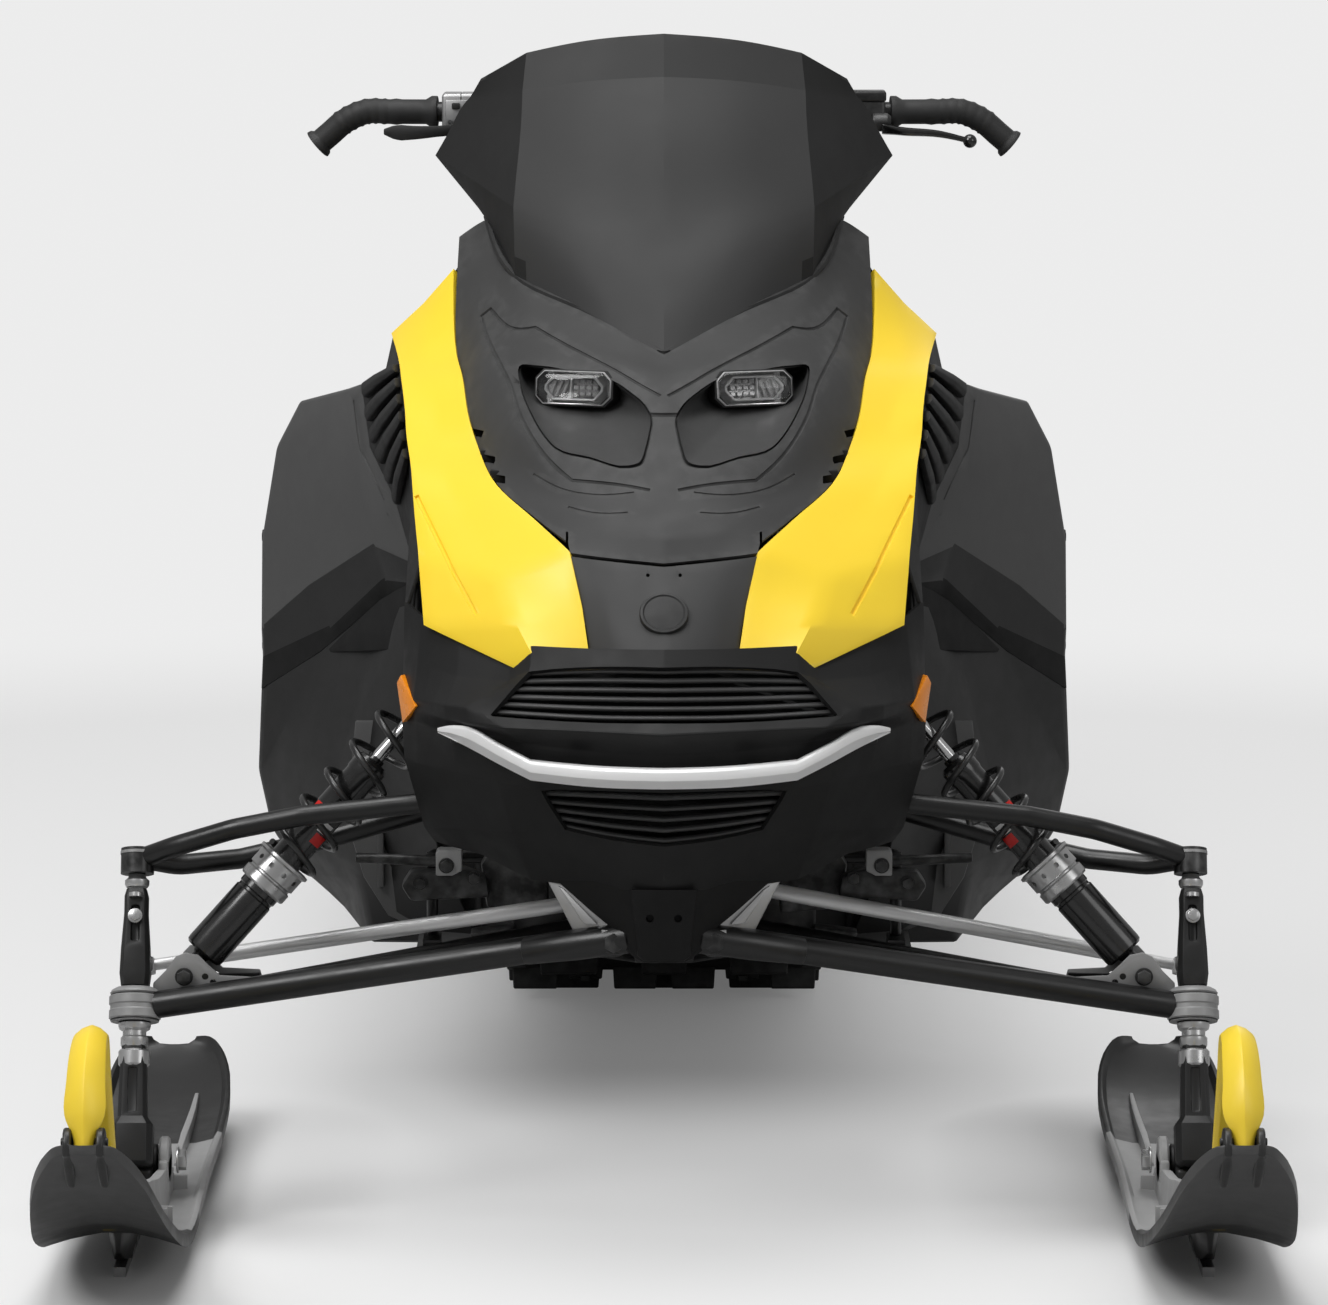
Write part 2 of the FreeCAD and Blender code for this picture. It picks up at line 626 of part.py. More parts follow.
def make_sway_bar():
    """A torsion bar across the belly with its drop links to the lower arms."""
    lever = SWAY_LINK + Vector(0, -8.0, -6.0)
    bar = tube_along([mirrored(lever), mirrored(SWAY_BAR), SWAY_BAR, lever], SWAY_RADIUS, 24.0)
    shapes = [bar]
    for side in SIDES:
        head = on_side(side, SWAY_LINK)
        shapes.append(rod(head, Vector(head.x, head.y, SWAY_LINK_LOW + 0.3), 6.0))
    return fused(shapes)


# ---------------------------------------------------------------- front frame
STRUT_RADIUS = 14.0


def make_front_frame():
    nose_beam = block(at(-32.0, -92.0, 314.0), at(32.0, -10.0, 326.0))
    spine = block(at(-32.0, -20.0, 304.0), at(32.0, 186.0, 314.0))
    shelf = block(at(-132.0, 0.0, SHELF_LOW), at(132.0, 262.0, SHELF_HIGH))
    tower = block(at(-205.0, 262.0, 384.0), at(205.0, 270.0, SHELF_HIGH))
    rear_web = block(at(-56.0, 181.0, 270.0), at(56.0, 189.5, SHELF_LOW))
    shapes = [nose_beam, spine, shelf, tower, rear_web]
    for side in SIDES:
        x = side * (sheet.tunnel_width / 2 - sheet.tunnel_sheet - STRUT_RADIUS - 0.3)
        shapes.append(rod(at(x, 265.0, 409.0), at(x, sheet.tunnel_front + 60.0, 409.0), STRUT_RADIUS))
        shapes.append(block(at(side * 110.0 - 9.0, 220.0, SWAY_BAR.z + SWAY_RADIUS + 0.3),
                            at(side * 110.0 + 9.0, 240.0, SHELF_LOW + 4.0)))
    for side in SIDES:
        foot = [at(side * x, station, 318.0) for x, station in ((24, -46), (66, -46), (66, -36), (24, -36))]
        head = [at(side * x, station, SHELF_LOW + 6.0)
                for x, station in ((84, 2), (118, 2), (118, 12), (84, 12))]
        shapes.append(loft_through([foot, head]))
        for pivot in (UPPER_FRONT_PIVOT, UPPER_REAR_PIVOT):
            centre = on_side(side, pivot)
            for hand in SIDES:
                y = centre.y + hand * (BARREL_HALF + 4.5)
                near = Vector(min(side * 100.0, centre.x + side * 12.0), y - 4.0, SHELF_LOW + 4.0)
                far = Vector(max(side * 100.0, centre.x + side * 12.0), y + 4.0, centre.z + 12.0)
                shapes.append(block(near, far))
        for hand in SIDES:
            y = LOWER_FRONT_PIVOT.y + hand * (BARREL_HALF + 4.3)
            near = min(side * 20.0, side * (LOWER_FRONT_PIVOT.x + 12.0))
            far = max(side * 20.0, side * (LOWER_FRONT_PIVOT.x + 12.0))
            shapes.append(block(Vector(near, y - 4.0, 314.5),
                                Vector(far, y + 4.0, LOWER_FRONT_PIVOT.z + 12.0)))
        near = min(side * 40.0, side * (LOWER_REAR_PIVOT.x + 12.0))
        far = max(side * 40.0, side * (LOWER_REAR_PIVOT.x + 12.0))
        rear_lug = LOWER_REAR_PIVOT.y - BARREL_HALF
        shapes.append(block(Vector(near, rear_lug - 8.5, 272.0), Vector(far, rear_lug - 0.5, 296.0)))
    shape = fused(shapes)
    return shape.cut(rod(PITMAN_PIVOT, PITMAN_PIVOT + KINGPIN * 80.0, 10.0 + sheet.pin_play))


# ---------------------------------------------------------------- body skin
# One skin of flat facets is shared by all the panels, so that neighbours meet edge to edge.
# Each row of a panel's net: (sideways, station, height) for the columns named above it.

# columns: centre, inner, lamp inner, lamp outer, edge.  Rows from the nose up to the windshield.
HOOD_ROWS = (
    ((0, -60, 697), (27, -55, 699), (52, -50, 701), (74, -45, 703), (93, -40, 705)),
    ((0, 0, 753), (45, 6, 755), (92, 22, 757), (134, 48, 756), (169, 85, 755)),
    ((0, 62, 807), (52, 72, 811), (134, 92, 805), (166, 128, 797), (190, 165, 787)),
    ((0, 92, 828), (50, 106, 832), (136, 122, 829), (178, 168, 818), (200, 205, 812)),
    ((0, 140, 862), (50, 160, 873), (136, 192, 874), (184, 235, 864), (209, 275, 848)),
    ((0, 165, 873), (62, 192, 890), (130, 228, 898), (186, 282, 886), (217, 330, 867)),
    ((0, 182, 882), (66, 230, 914), (156, 330, 949), (188, 440, 1003), (222, 430, 949)),
)
LAMP_CELL = (3, 1)

# columns as the hood's.  Rows from the hood down to the slot over the grille.
NOSE_ROWS = (
    HOOD_ROWS[0],
    ((0, -103, 655), (27, -98, 655), (52, -90, 655), (68, -80, 655), (81, -72, 655)),
    ((0, -140, 612), (24, -134, 612), (46, -122, 612), (60, -111, 612), (73, -100, 612)),
)

# columns: inner edge, crease, outer edge.  Rows from the nose up to the windshield.
SHOULDER_ROWS = (
    ((73, -100, 612), (102, -105, 609), (135, -95, 594)),
    ((81, -72, 655), (142, -75, 637), (239, -5, 627)),
    ((93, -40, 705), (163, -25, 676), (246, 45, 687)),
    ((169, 85, 755), (217, 110, 751), (257, 140, 758)),
    ((190, 165, 787), (230, 182, 784), (265, 215, 791)),
    ((200, 205, 812), (234, 222, 806), (268, 250, 812)),
    ((209, 275, 848), (243, 290, 841), (275, 320, 843)),
    ((217, 330, 867), (250, 345, 862), (279, 365, 857)),
    ((222, 430, 949), (254, 435, 912), (289, 440, 879)),
)

# columns: centre, inner, grille edge, cheek, flare, corner, side.  Rows from the top down.
FASCIA_ROWS = (
    ((0, -145, 604), (62, -132, 602), (128, -108, 588), (165, -84, 596), (205, -45, 610),
     (245, 0, 620), (262, 45, 636)),
    ((0, -150, 598), (62, -138, 596), (126, -114, 583), (167, -92, 580), (208, -58, 584),
     (247, -8, 590), (263, 42, 600)),
    ((0, -168, 553), (62, -158, 552), (152, -140, 550), (178, -118, 556), (210, -82, 560),
     (250, -16, 562), (264, 38, 566)),
    ((0, -178, 543), (62, -168, 545), (158, -142, 545), (185, -112, 546), (214, -78, 548),
     (251, -14, 550), (265, 36, 550)),
    ((0, -165, 521), (62, -155, 523), (140, -135, 528), (181, -108, 531), (215, -72, 527),
     (249, -8, 529), (265, 32, 530)),
    ((0, -160, 483), (62, -148, 483), (124, -130, 482), (165, -100, 484), (205, -58, 486),
     (248, -4, 488), (262, 18, 490)),
    ((0, -135, 425), (50, -127, 430), (98, -113, 438), (150, -85, 430), (190, -40, 425),
     (230, 2, 420), (242, 18, 418)),
    ((0, -115, 378), (31, -110, 377), (53, -95, 374), (134, -50, 377), (185, -10, 396),
     (216, 12, 400), (232, 30, 402)),
)
GRILLE_ROWS = (1, 5)
GRILLE_CELLS = tuple((row, column) for row in GRILLE_ROWS for column in (0, 1))

# columns: centre, crease of the front, crease of the wing, edge.  Rows from the hood upwards.
SCREEN_ROWS = (
    ((0, 182, 882), (66, 230, 914), (156, 330, 949), (188, 440, 1003)),
    ((0, 262, 985), (72, 300, 1000), (158, 392, 1022), (244, 540, 1058)),
    ((0, 345, 1100), (76, 372, 1100), (150, 432, 1102), (217, 520, 1104)),
    ((0, 420, 1201), (80, 432, 1191), (146, 455, 1173), (196, 498, 1140)),
)

# columns from the middle out.  Rows from the windshield back to the fuel tank.
DASH_ROWS = (
    ((0, 440, 985), (120, 440, 992), (188, 440, 1003), (222, 430, 949), (254, 435, 912), (289, 440, 879)),
    ((0, 610, 962), (100, 610, 955), (160, 610, 935), (205, 610, 905), (242, 610, 880), (276, 620, 865)),
    ((0, 760, 905), (80, 760, 898), (130, 760, 885), (172, 760, 870), (216, 770, 858), (262, 800, 850)),
)

SIDE_POINTS = {
    # side panel: front edge, middle, outer, crease, lower edge, rear
    "front_top": (311, 440, 831), "front_mid": (286, 390, 708), "front_low": (266, 342, 648),
    "mid_top": (342, 480, 818), "mid": (327, 440, 734),
    "rim": (396, 560, 797), "outer_high": (419, 572, 741), "outer": (434, 588, 640),
    "crease_in": (308, 400, 628), "crease_mid": (395, 510, 540), "crease_out": (434, 564, 506),
    "low_start": (262, 340, 626), "low_in": (298, 414, 601), "low_mid": (373, 502, 529),
    "low_out": (436, 566, 478),
    "rear_top": (372, 800, 775), "rear_high": (418, 800, 740), "rear_mid": (438, 800, 640),
    "rear_low": (437, 800, 506), "rear_end": (438, 800, 478),
    "tank_top": (214, 900, 800), "tank_mid": (214, 900, 640), "tank_low": (214, 880, 482),
    "dash_front": (289, 440, 879), "dash_mid": (276, 620, 865), "dash_back": (262, 800, 850),
    "cheek_mid": (302, 600, 796), "cheek_back": (290, 800, 780),
    # lower side panel: the front of the footwell
    "well_side": (262, 300, 469), "well_in": (240, 330, 340), "well_floor": (197, 380, 228),
    "well_mid": (352, 450, 400), "well_low": (330, 432, 300),
    "hip": (445, 602, 383), "hip_low": (434, 594, 317), "toe": (401, 580, 274),
    "toe_low": (344, 540, 237), "toe_in": (317, 420, 221),
    "hip_back": (440, 730, 383), "hip_low_back": (430, 730, 320), "toe_back": (401, 730, 282),
    "toe_low_back": (344, 730, 262), "floor_back": (212, 730, 262),
    # cheek between the yellow shoulder and the side panel
    "shoulder_c": (246, 45, 687), "shoulder_d": (257, 140, 758), "shoulder_e": (265, 215, 791),
    "shoulder_f": (268, 250, 812), "shoulder_g": (275, 320, 843), "shoulder_h": (279, 365, 857),
    "fascia_top": (262, 45, 636),
}
SIDE_PANEL_FACES = (
    ("front_top", "front_mid", "mid", "mid_top"), ("mid_top", "mid", "outer_high", "rim"),
    ("front_mid", "front_low", "crease_in", "mid"), ("mid", "crease_in", "crease_mid", "outer"),
    ("mid", "outer", "outer_high"), ("crease_mid", "crease_out", "outer"),
    ("front_low", "low_start", "low_in", "crease_in"), ("crease_in", "low_in", "low_mid", "crease_mid"),
    ("crease_mid", "low_mid", "low_out", "crease_out"),
    ("rim", "outer_high", "rear_high", "rear_top"), ("outer_high", "outer", "rear_mid", "rear_high"),
    ("outer", "crease_out", "rear_low", "rear_mid"), ("crease_out", "low_out", "rear_end", "rear_low"),
    ("front_top", "mid_top", "cheek_mid"), ("mid_top", "rim", "cheek_mid"),
    ("rim", "rear_top", "cheek_back", "cheek_mid"), ("front_top", "cheek_mid", "dash_mid", "dash_front"),
    ("cheek_mid", "cheek_back", "dash_back", "dash_mid"), ("rear_top", "tank_top", "cheek_back"),
    ("cheek_back", "tank_top", "dash_back"),
    ("rear_top", "rear_high", "tank_mid", "tank_top"), ("rear_high", "rear_mid", "tank_mid"),
    ("rear_mid", "rear_low", "tank_low", "tank_mid"), ("rear_low", "rear_end", "tank_low"),
)
LOWER_SIDE_FACES = (
    ("low_start", "well_side", "well_mid", "low_in"), ("low_in", "well_mid", "low_mid"),
    ("low_mid", "well_mid", "hip", "low_out"), ("well_side", "well_in", "well_low", "well_mid"),
    ("well_mid", "well_low", "hip_low", "hip"), ("well_low", "toe", "hip_low"),
    ("well_in", "well_floor", "toe_in", "well_low"), ("well_low", "toe_in", "toe_low", "toe"),
    ("low_out", "hip", "hip_back", "rear_end"), ("hip", "hip_low", "hip_low_back", "hip_back"),
    ("hip_low", "toe", "toe_back", "hip_low_back"), ("toe", "toe_low", "toe_low_back", "toe_back"),
    ("toe_low", "toe_in", "floor_back", "toe_low_back"), ("toe_in", "well_floor", "floor_back"),
)
VENT_FACES = (
    ("dash_front", "shoulder_h", "front_top"), ("shoulder_h", "shoulder_g", "front_mid", "front_top"),
    ("shoulder_g", "shoulder_f", "shoulder_e", "front_mid"),
    ("shoulder_e", "shoulder_d", "front_low", "front_mid"),
    ("shoulder_d", "shoulder_c", "fascia_top", "front_low"),
)

# belly pan: half width and height of its floor by station, then the chin plate's top
BELLY_ROWS = ((-108.0, 31.0, 311.0), (-60.0, 29.0, 294.0), (40.0, 84.0, 283.0), (150.0, 112.0, 268.0),
              (380.0, 197.0, 228.0), (640.0, 197.0, 228.0))


def key_of(point):
    return (round(point[0], 3), round(point[1], 3), round(point[2], 3))


def triangles_of(face):
    """Split a facet into triangles from its corner nearest the nose, the same way for every panel."""
    if len(face) == 3:
        return [face]
    first = min(range(len(face)), key=lambda index: (face[index][1], face[index][0], face[index][2]))
    turned = face[first:] + face[:first]
    return [(turned[0], turned[i], turned[i + 1]) for i in range(1, len(turned) - 1)]


def net_faces(rows, holes=()):
    """Facets of a net on both sides, wound to face outwards; holes are (row, column) cells."""
    faces = []
    for r in range(len(rows) - 1):
        for c in range(len(rows[r]) - 1):
            if (r, c) in holes:
                continue
            corners = [rows[r][c], rows[r][c + 1], rows[r + 1][c + 1], rows[r + 1][c]]
            distinct = []
            for corner in corners:
                if corner not in distinct:
                    distinct.append(corner)
            faces.append(distinct)
    return faces


def left_and_right(faces):
    """Triangles of the left-hand facets and of their mirror images, wound to face outwards."""
    result = []
    for face in faces:
        for tri in triangles_of([tuple(map(float, corner)) for corner in face]):
            result.append(tri)
            result.append(tuple((-x, y, z) for x, y, z in reversed(tri)))
    return result


def named_faces(table):
    return [[SIDE_POINTS[name] for name in face] for face in table]


def reversed_faces(faces):
    return [list(reversed(face)) for face in faces]


def belly_faces():
    faces = []
    for (s0, w0, z0), (s1, w1, z1) in zip(BELLY_ROWS, BELLY_ROWS[1:]):
        faces.append([(0, s0, z0), (w0, s0, z0), (w1, s1, z1), (0, s1, z1)])
    station, half, height = BELLY_ROWS[0]
    top = FASCIA_ROWS[-1]
    faces.append([top[0], top[1], (half, station, height), (0, station, height)])
    return faces


# Each panel: its facets, wound to face outwards on the left.
PANELS = {
    "hood": net_faces(HOOD_ROWS, holes=(LAMP_CELL,)),
    "nose_panel": reversed_faces(net_faces(NOSE_ROWS)),
    "shoulder_panels": net_faces(SHOULDER_ROWS),
    "front_fascia": reversed_faces(net_faces(FASCIA_ROWS, holes=GRILLE_CELLS)),
    "windshield": net_faces(SCREEN_ROWS),
    "dash_console": net_faces(DASH_ROWS),
    "side_panels": named_faces(SIDE_PANEL_FACES),
    "lower_side_panels": named_faces(LOWER_SIDE_FACES),
    "side_vents": named_faces(VENT_FACES),
    "belly_pan": reversed_faces(belly_faces()),
}
ONE_PIECE = ("hood", "nose_panel", "front_fascia", "windshield", "dash_console", "belly_pan")


def corner(point):
    return at(point[0], point[1], point[2])


def skin_normals(panel_triangles):
    """The outward direction at each corner of the skin, from all the facets that meet there."""
    sums = {}
    for triangles in panel_triangles.values():
        for tri in triangles:
            a, b, c = (corner(point) for point in tri)
            normal = (b - a).cross(c - a)
            if normal.Length < 1e-6:
                continue
            normal.normalize()
            for here, left, right in ((a, b, c), (b, c, a), (c, a, b)):
                angle = (left - here).getAngle(right - here)
                key = key_of(here)
                sums[key] = sums.get(key, Vector(0, 0, 0)) + normal * angle
    return {key: Vector(total).normalize() for key, total in sums.items()}


def walled(triangles, normals, wall):
    """A closed solid: the facets, the same facets moved inwards by the wall, and the edge strips."""
    outer = {}
    inner = {}
    for tri in triangles:
        for point in tri:
            here = corner(point)
            outer[point] = here
            inner[point] = here - normals[key_of(here)] * wall
    faces = []
    edges = {}
    for a, b, c in triangles:
        faces.append(triangle(outer[a], outer[b], outer[c]))
        faces.append(triangle(inner[c], inner[b], inner[a]))
        for edge in ((a, b), (b, c), (c, a)):
            edges[edge] = True
    for start, end in edges:
        if (end, start) in edges:
            continue
        if (abs(start[0]), start[1], start[2]) <= (abs(end[0]), end[1], end[2]):
            faces.append(triangle(outer[start], inner[start], inner[end]))
            faces.append(triangle(outer[start], inner[end], outer[end]))
        else:
            faces.append(triangle(outer[start], inner[start], outer[end]))
            faces.append(triangle(outer[end], inner[start], inner[end]))
    shell = Part.makeShell(faces)
    shell.sewShape()
    solid = Part.makeSolid(shell)
    if solid.Volume < 0:
        solid.reverse()
    return solid


def make_panels():
    panel_triangles = {name: left_and_right(faces) for name, faces in PANELS.items()}
    normals = skin_normals(panel_triangles)
    screen = {"windshield": panel_triangles["windshield"]}
    shapes = {}
    for name, triangles in panel_triangles.items():
        if name == "windshield":
            shapes[name] = walled(triangles, skin_normals(screen), sheet.screen_wall)
            continue
        wall = sheet.cowl_wall
        if name in ONE_PIECE:
            shapes[name] = walled(triangles, normals, wall)
        else:
            left = [tri for tri in triangles if tri[0][0] + tri[1][0] + tri[2][0] > 0]
            shapes[name] = both_sides(walled(left, normals, wall))
    return shapes, normals


def opening_rim(points, normals, depth):
    return [corner(point) - normals[key_of(corner(point))] * depth for point in points]


def make_plug(points, normals, wall, depth, shrink):
    """A block behind an opening: its front is the opening's inner rim, its back is smaller."""
    front = opening_rim(points, normals, wall)
    middle = sum(front, Vector(0, 0, 0)) * (1.0 / len(front))
    back = [middle + (point - middle) * shrink + Vector(0, depth, -depth * 0.25) for point in front]
    faces = []
    count = len(front)
    for ring in (front, back[::-1]):
        for index in range(1, count - 1):
            faces.append(triangle(ring[0], ring[index], ring[index + 1]))
    for index in range(count):
        after = (index + 1) % count
        faces.append(triangle(front[index], back[index], back[after]))
        faces.append(triangle(front[index], back[after], front[after]))
    shell = Part.makeShell(faces)
    shell.sewShape()
    solid = Part.makeSolid(shell)
    if solid.Volume < 0:
        solid.reverse()
    return solid


def float_points(points):
    return [tuple(map(float, point)) for point in points]


def make_headlamps(normals):
    row, column = LAMP_CELL
    rim = float_points([HOOD_ROWS[row][column], HOOD_ROWS[row][column + 1],
                        HOOD_ROWS[row + 1][column + 1], HOOD_ROWS[row + 1][column]])
    return both_sides(make_plug(rim, normals, sheet.cowl_wall, 55.0, 0.8))


def make_grille(row, normals):
    """The slatted insert behind one of the fascia's openings."""
    top = FASCIA_ROWS[row]
    low = FASCIA_ROWS[row + 1]
    left = [top[0], top[1], top[2], low[2], low[1], low[0]]
    right = [(-x, y, z) for x, y, z in left]
    rim = float_points([top[0], top[1], top[2], low[2], low[1], low[0], right[4], right[3], right[2],
                        right[1]])
    return make_plug(rim, normals, sheet.cowl_wall, 14.0, 0.94)


# ---------------------------------------------------------------- front bumper bar
# sideways, station of the front face, bottom, top, depth
BUMPER_ROWS = ((0.0, -196.0, 485.0, 517.0, 16.0), (112.0, -172.0, 491.0, 520.0, 16.0),
               (188.0, -118.0, 517.0, 534.0, 12.0), (229.0, -62.0, 526.0, 531.0, 6.0))


def make_front_bumper():
    rows = [(-x, s, low, high, depth) for x, s, low, high, depth in BUMPER_ROWS[:0:-1]] + list(BUMPER_ROWS)
    sections = []
    for x, station, low, high, depth in rows:
        soften = (high - low) * 0.15
        sections.append([at(x, station, low + soften), at(x, station + depth, low),
                         at(x, station + depth, high), at(x, station, high - soften)])
    shapes = [loft_through(sections)]
    for side in SIDES:
        shapes.append(block(at(side * 90.0 - 8.0, -174.0, 500.0), at(side * 90.0 + 8.0, -148.0, 514.0)))
    return fused(shapes)


# ---------------------------------------------------------------- belt and its run
def belt_circles():
    """Side view of the belt's inner run: centre station, centre height, radius, from drive round."""
    floor = sheet.belt_thickness + sheet.lug_height
    return (
        (sheet.drive_station, sheet.drive_height, sheet.drive_radius),
        (RAIL_BEND_STATION, floor + RAIL_BEND_RADIUS, RAIL_BEND_RADIUS),
        (sheet.idler_station, floor + sheet.idler_radius, sheet.idler_radius),
        (UPPER_ROLLER_STATION, UPPER_ROLLER_HEIGHT, sheet.roller_radius),
    )


RAIL_BEND_STATION = 1310.0
RAIL_BEND_RADIUS = 260.0
UPPER_ROLLER_STATION = 1600.0
UPPER_ROLLER_HEIGHT = 312.0


def run_outline(offset):
    """Closed run round the belt circles: a list of (start, end) tangents and arcs' centres."""
    circles = [(s, z, r + offset) for s, z, r in belt_circles()]
    tangents = []
    count = len(circles)
    for index in range(count):
        s0, z0, r0 = circles[index]
        s1, z1, r1 = circles[(index + 1) % count]
        gap = math.hypot(s1 - s0, z1 - z0)
        direction = math.atan2(z1 - z0, s1 - s0)
        lean = math.acos((r0 - r1) / gap)
        angle = direction - lean
        start = (s0 + r0 * math.cos(angle), z0 + r0 * math.sin(angle))
        end = (s1 + r1 * math.cos(angle), z1 + r1 * math.sin(angle))
        tangents.append((start, end, angle))
    return circles, tangents


def run_length(offset):
    circles, tangents = run_outline(offset)
    total = 0.0
    count = len(circles)
    for index in range(count):
        start, end, angle = tangents[index]
        total += math.hypot(end[0] - start[0], end[1] - start[1])
        turn = (angle - tangents[index - 1][2]) % (2 * math.pi)
        total += circles[index][2] * turn
    return total


def run_wire(offset, x):
    circles, tangents = run_outline(offset)
    edges = []
    count = len(circles)
    for index in range(count):
        start, end, angle = tangents[index]
        edges.append(Part.LineSegment(at(x, *start), at(x, *end)).toShape())
        s, z, r = circles[(index + 1) % count]
        next_angle = tangents[(index + 1) % count][2]
        turn = (next_angle - angle) % (2 * math.pi)
        middle = angle + turn / 2
        arc_middle = at(x, s + r * math.cos(middle), z + r * math.sin(middle))
        arc_end = tangents[(index + 1) % count][0]
        edges.append(Part.Arc(at(x, *end), arc_middle, at(x, *arc_end)).toShape())
    return Part.Wire(edges)


def point_on_run(offset, distance):
    """Station, height and outward direction at a distance along the run."""
    circles, tangents = run_outline(offset)
    count = len(circles)
    left = distance
    for index in range(count):
        start, end, angle = tangents[index]
        length = math.hypot(end[0] - start[0], end[1] - start[1])
        if left <= length:
            share = left / length
            return (start[0] + (end[0] - start[0]) * share, start[1] + (end[1] - start[1]) * share, angle)
        left -= length
        s, z, r = circles[(index + 1) % count]
        turn = (tangents[(index + 1) % count][2] - angle) % (2 * math.pi)
        if left <= r * turn:
            here = angle + left / r
            return (s + r * math.cos(here), z + r * math.sin(here), here)
        left -= r * turn
    return point_on_run(offset, 0.0)


LUG_HALF = 7.0


def make_track():
    half = sheet.track_width / 2
    outer = Part.Face(run_wire(sheet.belt_thickness, -half)).extrude(X_AXIS * sheet.track_width)
    inner = Part.Face(run_wire(0.0, -half - 1.0)).extrude(X_AXIS * (sheet.track_width + 2.0))
    belt = outer.cut(inner)
    lugs = []
    count = int(sheet.lug_count)
    total = run_length(sheet.belt_thickness)
    for index in range(count):
        station, height, angle = point_on_run(sheet.belt_thickness, total * index / count)
        out = Vector(0, math.cos(angle), math.sin(angle))
        along = Vector(0, -math.sin(angle), math.cos(angle))
        foot = at(-half, station, height) - out * 3.0
        tip = at(-half, station, height) + out * sheet.lug_height
        outline = [foot - along * (LUG_HALF + 2.0), tip - along * (LUG_HALF - 2.0),
                   tip + along * (LUG_HALF - 2.0), foot + along * (LUG_HALF + 2.0)]
        lugs.append(prism(outline, X_AXIS * sheet.track_width))
    return belt.fuse(lugs)


# ---------------------------------------------------------------- slide rails, wheels and arms
def floor_level():
    return sheet.belt_thickness + sheet.lug_height


RAIL_HEIGHT = 78.0
RAIL_GAP = 0.8
FRONT_SHAFT = (1290.0, 100.0)
MIDDLE_SHAFT = (1560.0, 84.0)
REAR_SHAFT = (1860.0, 84.0)
FRONT_MOUNT = (1070.0, 352.0)
SHAFT_RADIUS = 11.0


def make_rails():
    """Two runners that press the belt down, turned up at the front."""
    low = floor_level() + RAIL_GAP
    radius = RAIL_BEND_RADIUS - RAIL_GAP
    centre_z = floor_level() + RAIL_BEND_RADIUS
    lean = math.radians(48.0)
    tip = (RAIL_BEND_STATION - radius * math.sin(lean), centre_z - radius * math.cos(lean))
    half_way = (RAIL_BEND_STATION - radius * math.sin(lean / 2), centre_z - radius * math.cos(lean / 2))
    inner_radius = radius - 44.0
    inner_tip = (RAIL_BEND_STATION - inner_radius * math.sin(lean), centre_z - inner_radius * math.cos(lean))
    shapes = []
    for side in SIDES:
        x = side * sheet.rail_spacing / 2 - sheet.rail_thickness / 2
        back = sheet.idler_station + 40.0
        edges = [
            Part.Arc(at(x, *tip), at(x, *half_way), at(x, RAIL_BEND_STATION, low)).toShape(),
            Part.LineSegment(at(x, RAIL_BEND_STATION, low), at(x, back - 60.0, low)).toShape(),
            Part.LineSegment(at(x, back - 60.0, low), at(x, back, low + 60.0)).toShape(),
            Part.LineSegment(at(x, back, low + 60.0), at(x, back, low + RAIL_HEIGHT + 30.0)).toShape(),
            Part.LineSegment(at(x, back, low + RAIL_HEIGHT + 30.0),
                             at(x, back - 120.0, low + RAIL_HEIGHT)).toShape(),
            Part.LineSegment(at(x, back - 120.0, low + RAIL_HEIGHT),
                             at(x, RAIL_BEND_STATION, low + RAIL_HEIGHT)).toShape(),
            Part.LineSegment(at(x, RAIL_BEND_STATION, low + RAIL_HEIGHT), at(x, *inner_tip)).toShape(),
            Part.LineSegment(at(x, *inner_tip), at(x, *tip)).toShape(),
        ]
        plate = Part.Face(Part.Wire(edges)).extrude(X_AXIS * sheet.rail_thickness)
        for station, height in skid_shafts():
            bore = rod(at(x - 5.0, station, height), at(x + sheet.rail_thickness + 5.0, station, height),
                       SHAFT_RADIUS)
            plate = plate.cut(bore)
        shapes.append(plate)
    return Part.makeCompound(shapes)


def skid_shafts():
    return (FRONT_SHAFT, MIDDLE_SHAFT, REAR_SHAFT,
            (sheet.idler_station, floor_level() + sheet.idler_radius))


def make_shafts():
    """Cross shafts of the suspension skid; the two upper ones reach the tunnel's sides."""
    half = sheet.rail_spacing / 2 + 50.0
    shapes = []
    for station, height in skid_shafts():
        shapes.append(rod(at(-half, station, height), at(half, station, height), SHAFT_RADIUS))
    wide = sheet.tunnel_width / 2 - sheet.tunnel_sheet
    for station, height in (FRONT_MOUNT, (UPPER_ROLLER_STATION, UPPER_ROLLER_HEIGHT)):
        shapes.append(rod(at(-wide, station, height), at(wide, station, height), SHAFT_RADIUS))
    return Part.makeCompound(shapes)


WHEEL_HALF = 11.0


def wheel(x, station, height, radius):
    shape = rod(at(x - WHEEL_HALF, station, height), at(x + WHEEL_HALF, station, height), radius)
    rim = rod(at(x - WHEEL_HALF - 1, station, height), at(x - WHEEL_HALF + 5, station, height), radius - 14.0)
    hub = rod(at(x - WHEEL_HALF - 1, station, height), at(x - WHEEL_HALF + 6, station, height), 24.0)
    shape = shape.cut(rim.cut(hub))
    return shape.cut(rod(at(x - 30.0, station, height), at(x + 30.0, station, height), SHAFT_RADIUS))


